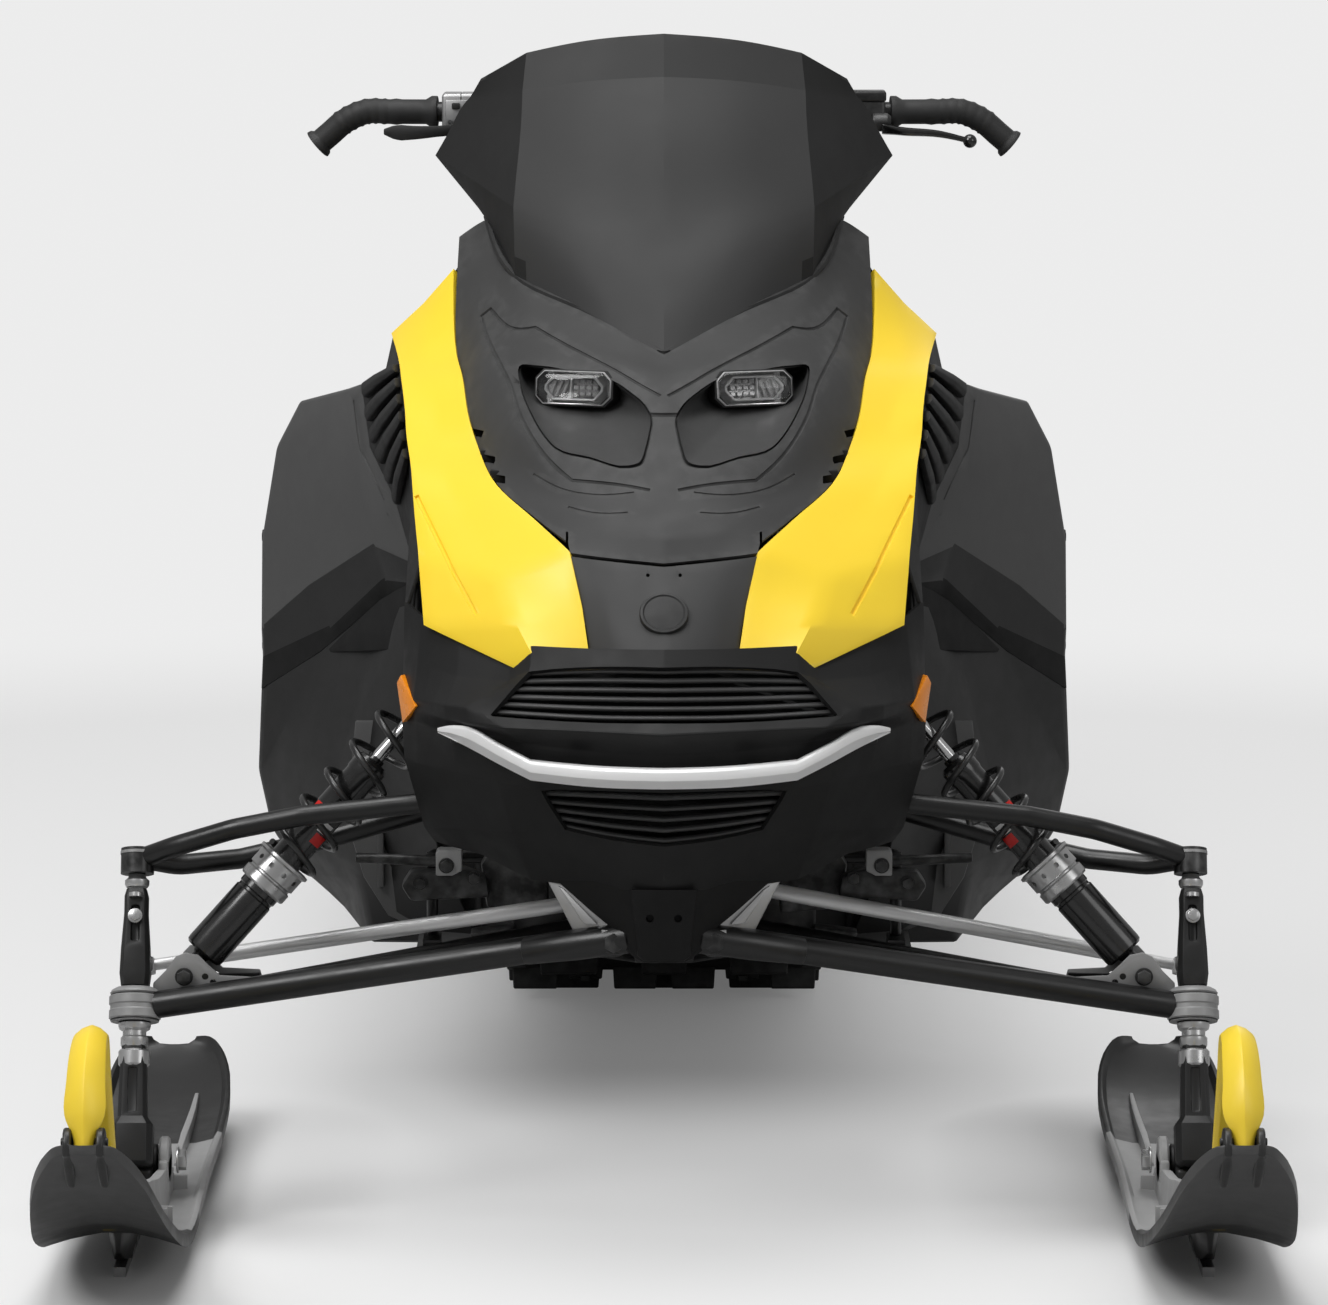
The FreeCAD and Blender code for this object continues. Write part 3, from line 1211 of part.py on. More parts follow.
def make_wheels():
    x = sheet.rail_spacing / 2 + sheet.rail_thickness / 2 + WHEEL_HALF + 4.0
    idler_height = floor_level() + sheet.idler_radius
    shapes = []
    for side in SIDES:
        shapes.append(wheel(side * x, sheet.idler_station, idler_height,
                            sheet.idler_radius - sheet.wheel_gap))
        shapes.append(wheel(side * x, UPPER_ROLLER_STATION, UPPER_ROLLER_HEIGHT,
                            sheet.roller_radius - sheet.wheel_gap))
        for station, height in (MIDDLE_SHAFT, REAR_SHAFT):
            shapes.append(wheel(side * x, station, height, height - floor_level() - sheet.wheel_gap))
    return Part.makeCompound(shapes)


def make_skid_arms():
    """The front and rear swing arms between the skid and the tunnel."""
    shapes = []
    for side in SIDES:
        x = side * (sheet.rail_spacing / 2 - sheet.rail_thickness / 2 - 16.0)
        for (s0, z0), (s1, z1) in ((FRONT_MOUNT, FRONT_SHAFT),
                                   ((UPPER_ROLLER_STATION, UPPER_ROLLER_HEIGHT), REAR_SHAFT)):
            arm = rod(at(x, s0, z0), at(x, s1, z1), 12.0)
            for s, z in ((s0, z0), (s1, z1)):
                arm = arm.fuse(rod(at(x - 15.0, s, z), at(x + 15.0, s, z), 17.0))
            for s, z in ((s0, z0), (s1, z1)):
                arm = arm.cut(rod(at(x - 16.0, s, z), at(x + 16.0, s, z), SHAFT_RADIUS))
            shapes.append(arm)
    return Part.makeCompound(shapes)


def make_skid_shocks():
    """Two shock absorbers with springs between the cross shafts."""
    shapes = []
    pairs = ((FRONT_MOUNT, MIDDLE_SHAFT), ((UPPER_ROLLER_STATION, UPPER_ROLLER_HEIGHT), FRONT_SHAFT))
    for side, (high, low) in zip(SIDES, pairs):
        x = side * 30.0
        top = at(x, *high)
        foot = at(x, *low)
        line = foot - top
        shapes_here = [rod(top, foot, 7.0), rod(top + line * 0.12, top + line * 0.82, 21.0)]
        for end in (top, foot):
            shapes_here.append(rod(end - X_AXIS * 14.0, end + X_AXIS * 14.0, 17.0))
        shape = fused(shapes_here)
        for end in (top, foot):
            shape = shape.cut(rod(end - X_AXIS * 15.0, end + X_AXIS * 15.0, SHAFT_RADIUS))
        shapes.append(shape)
    return Part.makeCompound(shapes)


def make_drive_axle():
    wide = sheet.tunnel_width / 2 - sheet.tunnel_sheet
    axle = rod(at(-wide, sheet.drive_station, sheet.drive_height),
               at(wide, sheet.drive_station, sheet.drive_height), 15.0)
    shapes = [axle]
    for side in SIDES:
        for x in (48.0, 130.0):
            shapes.append(rod(at(side * x - 14.0, sheet.drive_station, sheet.drive_height),
                              at(side * x + 14.0, sheet.drive_station, sheet.drive_height),
                              sheet.drive_radius - sheet.wheel_gap))
    return fused(shapes)


# ---------------------------------------------------------------- tunnel, boards, seat, rear
RACK_HOLE_RADIUS = 4.5
RACK_HOLES = ((60.0, 2170.0), (60.0, 2290.0))


def make_tunnel():
    half = sheet.tunnel_width / 2
    wall = sheet.tunnel_sheet
    low = sheet.board_height
    top = sheet.tunnel_top
    outline = [(-half, low), (-half + wall, low), (-half + wall, top - wall), (half - wall, top - wall),
               (half - wall, low), (half, low), (half, top), (-half, top)]
    body = padded_body("tunnel", "XZ_Plane", outline, "Sizes.tunnel_length",
                       "-(Sizes.spindle_line + Sizes.tunnel_front + Sizes.tunnel_length)")
    return body


def make_rack_drill():
    """Drills for the four luggage-anchor holes in the tunnel's top."""
    drills = []
    for side in SIDES:
        for x, station in RACK_HOLES:
            drills.append(rod(at(side * x, station, sheet.tunnel_top - 30.0),
                              at(side * x, station, sheet.tunnel_top + 30.0), RACK_HOLE_RADIUS))
    return Part.makeCompound(drills)


# side view of a running board: station, rise over the board's front height
BOARD_LINE = ((734.0, -34.0), (790.0, 0.0), (2250.0, 40.0))
BOARD_LIP = 22.0


def make_boards():
    line = [(station, sheet.board_height + rise) for station, rise in BOARD_LINE]
    thickness = sheet.board_sheet
    inner = sheet.tunnel_width / 2
    outline = [at(inner, station, height) for station, height in line]
    outline += [at(inner, station, height + thickness) for station, height in line[::-1]]
    plate = prism(outline, X_AXIS * (sheet.board_outer - inner))
    lip = [at(sheet.board_outer - 6.0, station, height - BOARD_LIP) for station, height in line]
    lip += [at(sheet.board_outer - 6.0, station, height + thickness) for station, height in line[::-1]]
    edge = prism(lip, X_AXIS * 6.0)
    return both_sides(plate.fuse(edge))


# seat sections: share of its length, half width at the base, half width at the top, height drop
SEAT_ROWS = ((0.0, 0.62, 0.50, 10.0), (0.25, 0.80, 0.74, 22.0), (0.6, 0.96, 0.86, 12.0),
             (1.0, 1.0, 0.80, 0.0))


def make_seat():
    front = TANK_ROWS[-1][0]
    sections = []
    for share, low_width, top_width, drop in SEAT_ROWS:
        station = front + 1.0 + share * sheet.seat_length
        base = low_width * sheet.seat_half_width
        top = top_width * sheet.seat_half_width
        high = sheet.seat_height - drop
        low = sheet.tunnel_top + 0.3
        sections.append([at(-base, station, low), at(base, station, low),
                         at(base * 1.04, station, high - 70.0),
                         at(top, station, high - 8.0), at(top * 0.6, station, high),
                         at(-top * 0.6, station, high),
                         at(-top, station, high - 8.0), at(-base * 1.04, station, high - 70.0)])
    return loft_through(sections)


# fuel tank cover: station, half width low, half width high, top height
TANK_ROWS = ((764.0, 186.0, 120.0, 888.0), (880.0, 205.0, 112.0, 872.0), (1000.0, 150.0, 92.0, 840.0),
             (1120.0, 96.0, 66.0, 770.0))
CAP_STATION = 880.0


def make_tank():
    sections = []
    for station, low, high, top in TANK_ROWS:
        base = sheet.tunnel_top + 0.3
        sections.append([at(-low, station, base), at(low, station, base), at(low, station, top - 90.0),
                         at(high, station, top), at(-high, station, top), at(-low, station, top - 90.0)])
    return loft_through(sections)


def make_fuel_cap():
    foot = at(0, CAP_STATION - 30.0, 876.4)
    tilt = Vector(0, 0.14, 1).normalize()
    return rod(foot + tilt * 0.6, foot + tilt * 26.0, 38.0)


def make_tail_housing():
    front = TANK_ROWS[-1][0] + 1.0 + sheet.seat_length
    low = sheet.tunnel_top + 0.3
    outline = [at(-110.0, front, low), at(-110.0, front + 190.0, low), at(-110.0, front + 120.0, low + 70.0),
               at(-110.0, front + 60.0, 700.0), at(-110.0, front, 712.0)]
    return prism(outline, X_AXIS * 220.0)


def make_tail_lamp():
    front = TANK_ROWS[-1][0] + 1.0 + sheet.seat_length
    outline = [at(-78.0, front + 64.0, 696.0), at(-78.0, front + 108.0, 626.0),
               at(-78.0, front + 120.0, 632.0), at(-78.0, front + 78.0, 706.0)]
    lamp = prism(outline, X_AXIS * 156.0)
    return lamp.cut(make_tail_housing())


def make_rear_bumper():
    radius = sheet.bumper_tube_radius
    x = sheet.tunnel_width / 2 + radius
    tunnel_back = sheet.tunnel_front + sheet.tunnel_length
    side_line = [at(x + 0.2, tunnel_back - 190.0, 400.0), at(x + 0.2, tunnel_back - 30.0, 470.0),
                 at(x + 0.2, sheet.bumper_reach - 30.0, 546.0), at(x - 60.0, sheet.bumper_reach, 548.0)]
    points = [mirrored(point) for point in side_line] + side_line[::-1]
    tube = tube_along(points, radius, 40.0)
    shapes = [tube]
    for side in SIDES:
        shapes.append(block(at(side * 110.0 - 14.0, tunnel_back - 60.0, sheet.tunnel_top),
                            at(side * 110.0 + 14.0, sheet.bumper_reach, sheet.tunnel_top + 6.0)))
    tongue = block(at(-30.0, sheet.bumper_reach - 56.0, 536.0), at(30.0, sheet.bumper_reach, 546.0))
    pin_station = sheet.bumper_reach - 36.0
    shapes.append(tongue.cut(rod(at(0, pin_station, 500.0), at(0, pin_station, 600.0),
                                 sheet.hitch_pin_radius)))
    return fused(shapes)


def make_snow_flap():
    back = sheet.tunnel_front + sheet.tunnel_length
    outline = [at(-186.0, back, sheet.tunnel_top - 3.0), at(-186.0, back + 40.0, 500.0),
               at(-186.0, back + 86.0, 190.0), at(-186.0, back + 80.0, 190.0), at(-186.0, back + 34.0, 496.0),
               at(-186.0, back - 6.0, sheet.tunnel_top - 12.0),
               at(-186.0, back - 6.0, sheet.tunnel_top - 3.0)]
    return prism(outline, X_AXIS * 372.0)


# ---------------------------------------------------------------- small pieces on the cowl
def make_reflectors():
    """Amber reflectors on the fascia's corners."""
    outline = [corner(FASCIA_ROWS[0][5]), corner(FASCIA_ROWS[0][6]), corner(FASCIA_ROWS[2][6]),
               corner(FASCIA_ROWS[2][5])]
    middle = sum(outline, Vector(0, 0, 0)) * 0.25
    ring = [middle + (point - middle) * 0.75 + Vector(1.2, -0.6, 0) for point in outline]
    return both_sides(prism_of_quad(ring, Vector(3.0, -1.5, 0)))


def prism_of_quad(ring, push):
    faces = []
    top = [point + push for point in ring]
    for loop in (ring[::-1], top):
        faces.append(triangle(loop[0], loop[1], loop[2]))
        faces.append(triangle(loop[0], loop[2], loop[3]))
    for index in range(4):
        after = (index + 1) % 4
        faces.append(triangle(ring[index], ring[after], top[after]))
        faces.append(triangle(ring[index], top[after], top[index]))
    shell = Part.makeShell(faces)
    shell.sewShape()
    solid = Part.makeSolid(shell)
    if solid.Volume < 0:
        solid.reverse()
    return solid


def make_gauge():
    return block(at(-64.0, 470.0, 982.7), at(64.0, 512.0, 1040.0))


def make_engine():
    box = doc.addObject("Part::Box", "engine_block_box")
    box.setExpression("Length", "Sizes.engine_width")
    box.setExpression("Width", "Sizes.engine_length")
    box.setExpression("Height", "Sizes.engine_height")
    box.Placement = FreeCAD.Placement(at(-sheet.engine_width / 2, 270.3, 262.0), FreeCAD.Rotation())
    return box


# ---------------------------------------------------------------- assembly
panel_shapes, skin = make_panels()
for panel_name, panel_shape in panel_shapes.items():
    if panel_name == "dash_console":
        panel_shape = panel_shape.cut(rod(COLUMN_FOOT, HANDLE_CLAMP, sheet.column_radius + 22.0))
    feature(panel_name, panel_shape)
feature("headlamps", make_headlamps(skin))
feature("grilles", Part.makeCompound([make_grille(row, skin) for row in GRILLE_ROWS]))
feature("front_bumper", make_front_bumper())
feature("side_reflectors", make_reflectors())
feature("gauge", make_gauge())
feature("front_frame", make_front_frame())
add_node("engine_block", make_engine())
feature("lower_control_arms", both_sides(make_lower_arm()))
feature("upper_control_arms", both_sides(make_upper_arm()))
feature("shock_absorbers", both_sides(make_shock()))
feature("shock_springs", both_sides(make_spring()))
feature("sway_bar", make_sway_bar())
feature("track", make_track())
feature("slide_rails", make_rails())
feature("skid_shafts", make_shafts())
feature("idler_wheels", make_wheels())
feature("skid_arms", make_skid_arms())
feature("skid_shocks", make_skid_shocks())
feature("drive_axle", make_drive_axle())
tunnel_body = make_tunnel()
doc.recompute()
drill = doc.addObject("Part::Feature", "rack_drills")
drill.Shape = make_rack_drill()
tunnel_cut = doc.addObject("Part::Cut", "tunnel_cut")
tunnel_cut.Base = tunnel_body
tunnel_cut.Tool = drill
add_node("tunnel", tunnel_cut)
feature("running_boards", make_boards())
feature("fuel_tank_cover", make_tank())
feature("fuel_cap", make_fuel_cap())
feature("seat", make_seat())
feature("tail_housing", make_tail_housing())
feature("tail_lamp", make_tail_lamp())
feature("rear_bumper", make_rear_bumper())
feature("snow_flap", make_snow_flap())
feature("steering_column", make_column())
feature("handlebar", make_bar_tube())
feature("grips", make_grips())
feature("throttle_control", make_throttle())
feature("brake_control", make_brake())
feature("pitman_arm", make_pitman())
for hand, hand_name in ((1.0, "left"), (-1.0, "right")):
    feature("spindle_" + hand_name, make_spindle(hand))
    feature("tie_rod_" + hand_name, make_tie_rod(hand))
    feature("ski_" + hand_name, make_ski(hand))
    feature("ski_runner_" + hand_name, make_runner(hand))
    feature("ski_loop_" + hand_name, make_loop(hand))

doc.recompute()
for obj in doc.Objects:
    if "Invalid" in obj.State or "Error" in obj.State:
        raise RuntimeError("%s failed: %s" % (obj.Label, obj.State))
faults = [name for name, obj in nodes.items()
          if obj.Shape.isNull() or not obj.Shape.isValid() or obj.Shape.Volume <= 0]
if faults:
    raise RuntimeError("no valid solid: " + ", ".join(faults))

os.makedirs("parts", exist_ok=True)
for name, obj in nodes.items():
    obj.Shape.exportStep("parts/%s.step" % name)
box = Part.makeCompound([obj.Shape for obj in nodes.values()]).BoundBox
print("belt length", round(run_length(sheet.belt_thickness / 2), 1))
print("size", round(box.XLength, 1), round(box.YLength, 1), round(box.ZLength, 1))
print("low corner", round(box.XMin, 1), round(box.YMin, 1), round(box.ZMin, 1))
print("nodes", len(nodes))
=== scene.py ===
import math

import bpy
from mathutils import Matrix, Vector
from mathutils.bvhtree import BVHTree


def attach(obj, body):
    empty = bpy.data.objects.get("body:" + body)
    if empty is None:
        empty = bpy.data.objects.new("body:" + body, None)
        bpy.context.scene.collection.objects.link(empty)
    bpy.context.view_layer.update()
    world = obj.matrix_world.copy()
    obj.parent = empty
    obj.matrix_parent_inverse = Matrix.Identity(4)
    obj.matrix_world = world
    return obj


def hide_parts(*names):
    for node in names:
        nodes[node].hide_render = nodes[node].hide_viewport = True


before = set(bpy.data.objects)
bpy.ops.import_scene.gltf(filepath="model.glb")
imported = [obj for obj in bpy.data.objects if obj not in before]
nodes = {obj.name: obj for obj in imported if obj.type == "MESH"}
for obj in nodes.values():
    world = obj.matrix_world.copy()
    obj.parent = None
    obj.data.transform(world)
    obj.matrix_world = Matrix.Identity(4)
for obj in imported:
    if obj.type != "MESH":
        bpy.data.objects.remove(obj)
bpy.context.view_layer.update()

# ------------------------------------------------------------------ places
MM = 0.001
SPINDLE_LINE = -965.0
SIDES = (1.0, -1.0)
UP = Vector((0, 0, 1))
OUT = Vector((1, 0, 0))
FORWARD = Vector((0, -1, 0))
BACK = Vector((0, 1, 0))
CASTER = math.radians(20.0)
KINGPIN = Vector((0, math.sin(CASTER), math.cos(CASTER)))
ARM_LINE = Vector((0, math.cos(CASTER), -math.sin(CASTER)))


def at(x, station, height):
    """A point in metres from its distance to the left, its station and its height in millimetres."""
    return Vector((x, station + SPINDLE_LINE, height)) * MM


def on_side(side, point):
    """A point of the left-hand side, or its mirror image when the side is -1."""
    return Vector((point.x * side, point.y, point.z))


def whole_line(line):
    """A line from the middle outwards on the left, made whole from right to left."""
    return [on_side(-1, point) for point in reversed(line[1:])] + line


# ------------------------------------------------------------------ working on one piece
def take(piece):
    """Only this piece is selected and active."""
    bpy.ops.object.select_all(action="DESELECT")
    piece.select_set(True)
    bpy.context.view_layer.objects.active = piece
    return piece


def edit(piece, action="SELECT"):
    """Go into edit mode with every face selected, or none."""
    take(piece)
    bpy.ops.object.mode_set(mode="EDIT")
    bpy.ops.mesh.select_mode(type="FACE")
    bpy.ops.mesh.select_all(action=action)


def leave():
    """Go back to object mode."""
    bpy.ops.object.mode_set(mode="OBJECT")


def closed_up(piece, gap=0.00005):
    """Merge doubles and point every face outwards."""
    edit(piece)
    bpy.ops.mesh.remove_doubles(threshold=gap)
    bpy.ops.mesh.normals_make_consistent(inside=False)
    leave()
    return piece


def flipped(piece):
    """Turn every face over."""
    edit(piece)
    bpy.ops.mesh.flip_normals()
    leave()
    return piece


def facing(piece, direction):
    """Turn an open sheet over if most of it looks away from the direction."""
    total = Vector((0, 0, 0))
    for face in piece.data.polygons:
        total += face.normal * face.area
    if total.dot(direction) < 0:
        flipped(piece)
    return piece


def modified(piece, kind, **settings):
    """Add a modifier, set it and apply it."""
    take(piece)
    modifier = piece.modifiers.new(kind.lower(), kind)
    for key, value in settings.items():
        setattr(modifier, key, value)
    bpy.ops.object.modifier_apply(modifier=modifier.name)
    return piece


def bevelled(piece, width, segments=2, angle=35.0):
    """Break every edge that turns by more than the angle."""
    return modified(piece, "BEVEL", width=width, segments=segments, limit_method="ANGLE",
                    angle_limit=math.radians(angle), use_clamp_overlap=True, harden_normals=False)


def walled(piece, thickness, proud=0.0):
    """Give a sheet its wall: most of it inwards, and a little standing proud."""
    offset = -1.0 + 2.0 * proud / thickness
    return modified(piece, "SOLIDIFY", thickness=thickness, offset=offset, use_even_offset=True,
                    use_quality_normals=True)


def both(piece):
    """The left-hand piece and its mirror image as one mesh."""
    return modified(piece, "MIRROR", use_axis=(True, False, False), use_mirror_merge=True,
                    merge_threshold=0.0002)


def cut(piece, tools):
    """Cut closed tools out of a closed piece."""
    tool = joined(tools)
    modified(piece, "BOOLEAN", operation="DIFFERENCE", solver="EXACT", object=tool, use_self=True)
    bpy.data.objects.remove(tool)
    return piece


def joined(pieces):
    """Join pieces into the first of them."""
    pieces = list(pieces)
    take(pieces[0])
    for piece in pieces[1:]:
        piece.select_set(True)
    if len(pieces) > 1:
        bpy.ops.object.join()
    return pieces[0]


def twin(piece, matrix=None):
    """A copy with its own mesh, moved by the matrix."""
    copy = piece.copy()
    copy.data = piece.data.copy()
    bpy.context.scene.collection.objects.link(copy)
    if matrix is not None:
        copy.data.transform(matrix)
        if matrix.determinant() < 0:
            flipped(copy)
    return copy


MIRROR = Matrix.Scale(-1, 4, OUT)


def mirrored(piece):
    """A copy on the other side of the machine."""
    return twin(piece, MIRROR)


def handed(pieces, side):
    """Left-hand pieces as one, turned into their mirror image when the side is -1."""
    one = joined(pieces)
    if side < 0:
        one.data.transform(MIRROR)
        flipped(one)
    return one


def settled(piece):
    """Put the piece's place into its mesh."""
    take(piece)
    bpy.ops.object.transform_apply(location=True, rotation=True, scale=True)
    return piece


def finished(piece, name, material, body="chassis", slot=None, stands_for=(), smooth=35.0):
    """Name a piece, settle and shade it, and tie it to its body."""
    settled(piece)
    bpy.ops.object.shade_smooth_by_angle(angle=math.radians(smooth))
    piece.name = name
    piece.data.name = name
    if material is not None:
        piece.data.materials.clear()
        piece.data.materials.append(material)
    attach(piece, body)
    if stands_for:
        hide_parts(*stands_for)
    return piece


def pair_of(pieces, name, material, slot, stands_for=(), smooth=35.0, body="chassis"):
    """Left-hand pieces and their mirror images as one named piece."""
    one = joined(pieces)
    return finished(joined([one, mirrored(one)]), name, material, body, slot, stands_for, smooth)


def surface_of(piece):
    """A piece's faces as a tree, to find points on them."""
    mesh = piece.data
    return BVHTree.FromPolygons([v.co for v in mesh.vertices], [f.vertices for f in mesh.polygons])


# ------------------------------------------------------------------ shapes
NARROW = 0.00002


def sheet_of(rows):
    """A grid placed point by point: one row of the grid for each row of points."""
    across = len(rows[0]) - 1
    along = len(rows) - 1
    bpy.ops.object.select_all(action="DESELECT")
    bpy.ops.mesh.primitive_grid_add(x_subdivisions=across, y_subdivisions=along, size=1.0)
    piece = bpy.context.object
    points = [point for row in rows for point in row]
    for vertex, point in zip(piece.data.vertices, points):
        vertex.co = point
    piece.data.update()
    return piece


def loft(sections, closed=True):
    """A skin through rings of points, with its two ends filled."""
    piece = sheet_of([list(ring) + [ring[0]] for ring in sections])
    edit(piece)
    bpy.ops.mesh.remove_doubles(threshold=NARROW)
    if closed:
        bpy.ops.mesh.select_mode(type="EDGE")
        bpy.ops.mesh.select_all(action="DESELECT")
        bpy.ops.mesh.select_non_manifold(extend=False, use_wire=False, use_boundary=True,
                                         use_multi_face=False, use_non_contiguous=False, use_verts=False)
        bpy.ops.mesh.edge_face_add()
    bpy.ops.mesh.select_all(action="SELECT")
    bpy.ops.mesh.normals_make_consistent(inside=False)
    leave()
    return piece


def smooth_line(points, steps, corners=()):
    """Points along a smooth line through the given ones; it turns sharply only at its corners."""
    last = len(points) - 1
    sharp = set(corners) | {0, last}
    runs = [max((b - a).length, 1e-6) for a, b in zip(points, points[1:])]
    slopes = {}
    for index in range(1, last):
        if index not in sharp:
            before, after = runs[index - 1], runs[index]
            slopes[index] = ((points[index] - points[index - 1]) * (after / before)
                             + (points[index + 1] - points[index]) * (before / after)) / (before + after)
    line = []
    for index in range(last):
        start, end, run = points[index], points[index + 1], runs[index]
        straight = (end - start) / run
        leaving = slopes.get(index)
        arriving = slopes.get(index + 1)
        if leaving is None and arriving is None:
            leaving = arriving = straight
        elif leaving is None:
            leaving = straight * 1.5 - arriving * 0.5
        elif arriving is None:
            arriving = straight * 1.5 - leaving * 0.5
        for step in range(steps):
            t = step / steps
            line.append(start * (2 * t ** 3 - 3 * t ** 2 + 1) + leaving * (run * (t ** 3 - 2 * t ** 2 + t))
                        + end * (3 * t ** 2 - 2 * t ** 3) + arriving * (run * (t ** 3 - t ** 2)))
    line.append(points[last].copy())
    return line


def smooth_ring(points, steps):
    """A closed smooth line through the points."""
    count = len(points)
    ring = smooth_line(points[-2:] + points + points[:3], steps)
    return ring[2 * steps:(2 + count) * steps]


def mixed(first, second, share):
    """A place between two, at a share of the way."""
    return first + (second - first) * share


def across_rows(rows, steps, corners=()):
    """Fill in between rows of points, along smooth lines from each row to the next."""
    columns = [smooth_line([row[index] for row in rows], steps, corners) for index in range(len(rows[0]))]
    return [[column[index] for column in columns] for index in range(len(columns[0]))]


def curved(rows, across=4, along=4, sharp_columns=(), sharp_rows=()):
    """Fill in a net of points into a fine one that passes through all of them."""
    return across_rows([smooth_line(row, across, sharp_columns) for row in rows], along, sharp_rows)


def swept(rows, section, steps=3):
    """A loft through rows of numbers, each made into a section, filled in smoothly along its length."""
    return loft(across_rows([section(*row) for row in rows], steps))


def trapezium(x, station, foot, top, low, high):
    """A four-cornered section that stands across the machine: half widths and heights of its foot and top."""
    return [at(x - foot, station, low), at(x + foot, station, low), at(x + top, station, high),
            at(x - top, station, high)]


def table(rows):
    """Rows of places in metres from rows of numbers in millimetres."""
    return [[at(*point) for point in row] for row in rows]


def box(low, high, edge=1.5, segments=2):
    """A bevelled block between two corners."""
    low, high = Vector(low), Vector(high)
    bpy.ops.object.select_all(action="DESELECT")
    bpy.ops.mesh.primitive_cube_add(size=1.0, location=(low + high) / 2, scale=high - low)
    piece = settled(bpy.context.object)
    return bevelled(piece, edge * MM, segments) if edge else piece


def block(low, high, edge=1.5, segments=2):
    """A bevelled block between two corners in millimetres, before it is moved into place."""
    return box([value * MM for value in low], [value * MM for value in high], edge, segments)


def rod(start, end, radius, edge=0.8, sides=24):
    """A round bar between two points, its end edges broken."""
    line = end - start
    turn = line.to_track_quat("Z", "Y")
    bpy.ops.object.select_all(action="DESELECT")
    bpy.ops.mesh.primitive_cylinder_add(vertices=sides, radius=radius * MM, depth=line.length,
                                        location=(start + end) / 2, rotation=turn.to_euler())
    piece = settled(bpy.context.object)
    return bevelled(piece, edge * MM, 2, 60.0) if edge else piece


def frame_on(origin, axis, side=None):
    """A matrix whose Z runs along the axis at the origin."""
    z = axis.normalized()
    x = side if side is not None else (OUT if abs(z.x) < 0.9 else UP)
    y = z.cross(x).normalized()
    x = y.cross(z).normalized()
    matrix = Matrix((x, y, z)).transposed().to_4x4()
    matrix.translation = origin
    return matrix


def turned(profile, origin, axis, steps=32):
    """Spin a profile of (radius, distance along the axis) in millimetres about the axis."""
    mesh = bpy.data.meshes.new("profile")
    mesh.from_pydata([(r * MM, 0, h * MM) for r, h in profile], [(i, i + 1) for i in range(len(profile) - 1)],
                     [])
    piece = bpy.data.objects.new("profile", mesh)
    bpy.context.scene.collection.objects.link(piece)
    edit(piece)
    bpy.ops.mesh.select_mode(type="VERT")
    bpy.ops.mesh.select_all(action="SELECT")
    bpy.ops.mesh.spin(steps=steps, angle=2 * math.pi, center=(0, 0, 0), axis=(0, 0, 1))
    leave()
    closed_up(piece, NARROW)
    piece.data.transform(frame_on(origin, axis))
    return piece


def tube(points, radius, sides=10):
    """A round tube along points, made from a curve with a round section."""
    line = bpy.data.curves.new("line", "CURVE")
    line.dimensions = "3D"
    spline = line.splines.new("POLY")
    spline.points.add(len(points) - 1)
    for knot, point in zip(spline.points, points):
        knot.co = (*point, 1.0)
    line.bevel_depth = radius * MM
    line.bevel_resolution = max(sides // 2 - 2, 0)
    line.use_fill_caps = True
    piece = bpy.data.objects.new("line", line)
    bpy.context.scene.collection.objects.link(piece)
    take(piece)
    bpy.ops.object.convert(target="MESH")
    return closed_up(bpy.context.object)


def hexagon(centre, axis, width, height):
    """A bolt head with its washer."""
    axis = axis.normalized()
    head = rod(centre, centre + axis * height * MM, width / 2, 0.6, 6)
    ring = rod(centre - axis * 0.5 * MM, centre + axis * 1.5 * MM, width * 0.62, 0.3, 20)
    return joined([head, ring])


def end_bolt(middle, step, width, height):
    """A bolt head that looks along the machine, a step behind a pivot's middle or before it."""
    return hexagon(middle + BACK * step * MM, BACK * math.copysign(1, step), width, height)


def softened(node_name, width=1.5, segments=2, angle=30.0):
    """A merged copy of a frame node with its edges broken."""
    piece = twin(nodes[node_name])
    piece.parent = None
    for key in list(piece.keys()):
        del piece[key]
    edit(piece)
    bpy.ops.mesh.remove_doubles(threshold=NARROW)
    bpy.ops.mesh.dissolve_limited(angle_limit=math.radians(1.0))
    leave()
    return bevelled(piece, width * MM, segments, angle)


# ------------------------------------------------------------------ finishes
def new_group(name, inputs, outputs):
    """An empty shader node group with named inputs and outputs."""
    group = bpy.data.node_groups.new(name, "ShaderNodeTree")
    for label, kind, value in inputs:
        socket = group.interface.new_socket(name=label, in_out="INPUT", socket_type=kind)
        if value is not None:
            socket.default_value = value
    for label, kind in outputs:
        group.interface.new_socket(name=label, in_out="OUTPUT", socket_type=kind)
    start = group.nodes.new("NodeGroupInput")
    end = group.nodes.new("NodeGroupOutput")
    return group, start, end


def node(tree, kind, links=(), **settings):
    """Add a node, set it, and link or fill its inputs."""
    made = tree.nodes.new(kind)
    for key, value in settings.items():
        setattr(made, key, value)
    for socket, value in links:
        if isinstance(value, bpy.types.NodeSocket):
            tree.links.new(value, made.inputs[socket])
        else:
            made.inputs[socket].default_value = value
    return made


def maths(tree, operation, first, second=0.0, **settings):
    """The result of one sum."""
    return node(tree, "ShaderNodeMath", ((0, first), (1, second)), operation=operation,
                **settings).outputs["Value"]


def eased(tree, value, low, high, least=0.0, most=1.0, **settings):
    """A value between low and high, spread from least to most."""
    links = (("Value", value), ("From Min", low), ("From Max", high), ("To Min", least), ("To Max", most))
    return node(tree, "ShaderNodeMapRange", links, **settings).outputs["Result"]


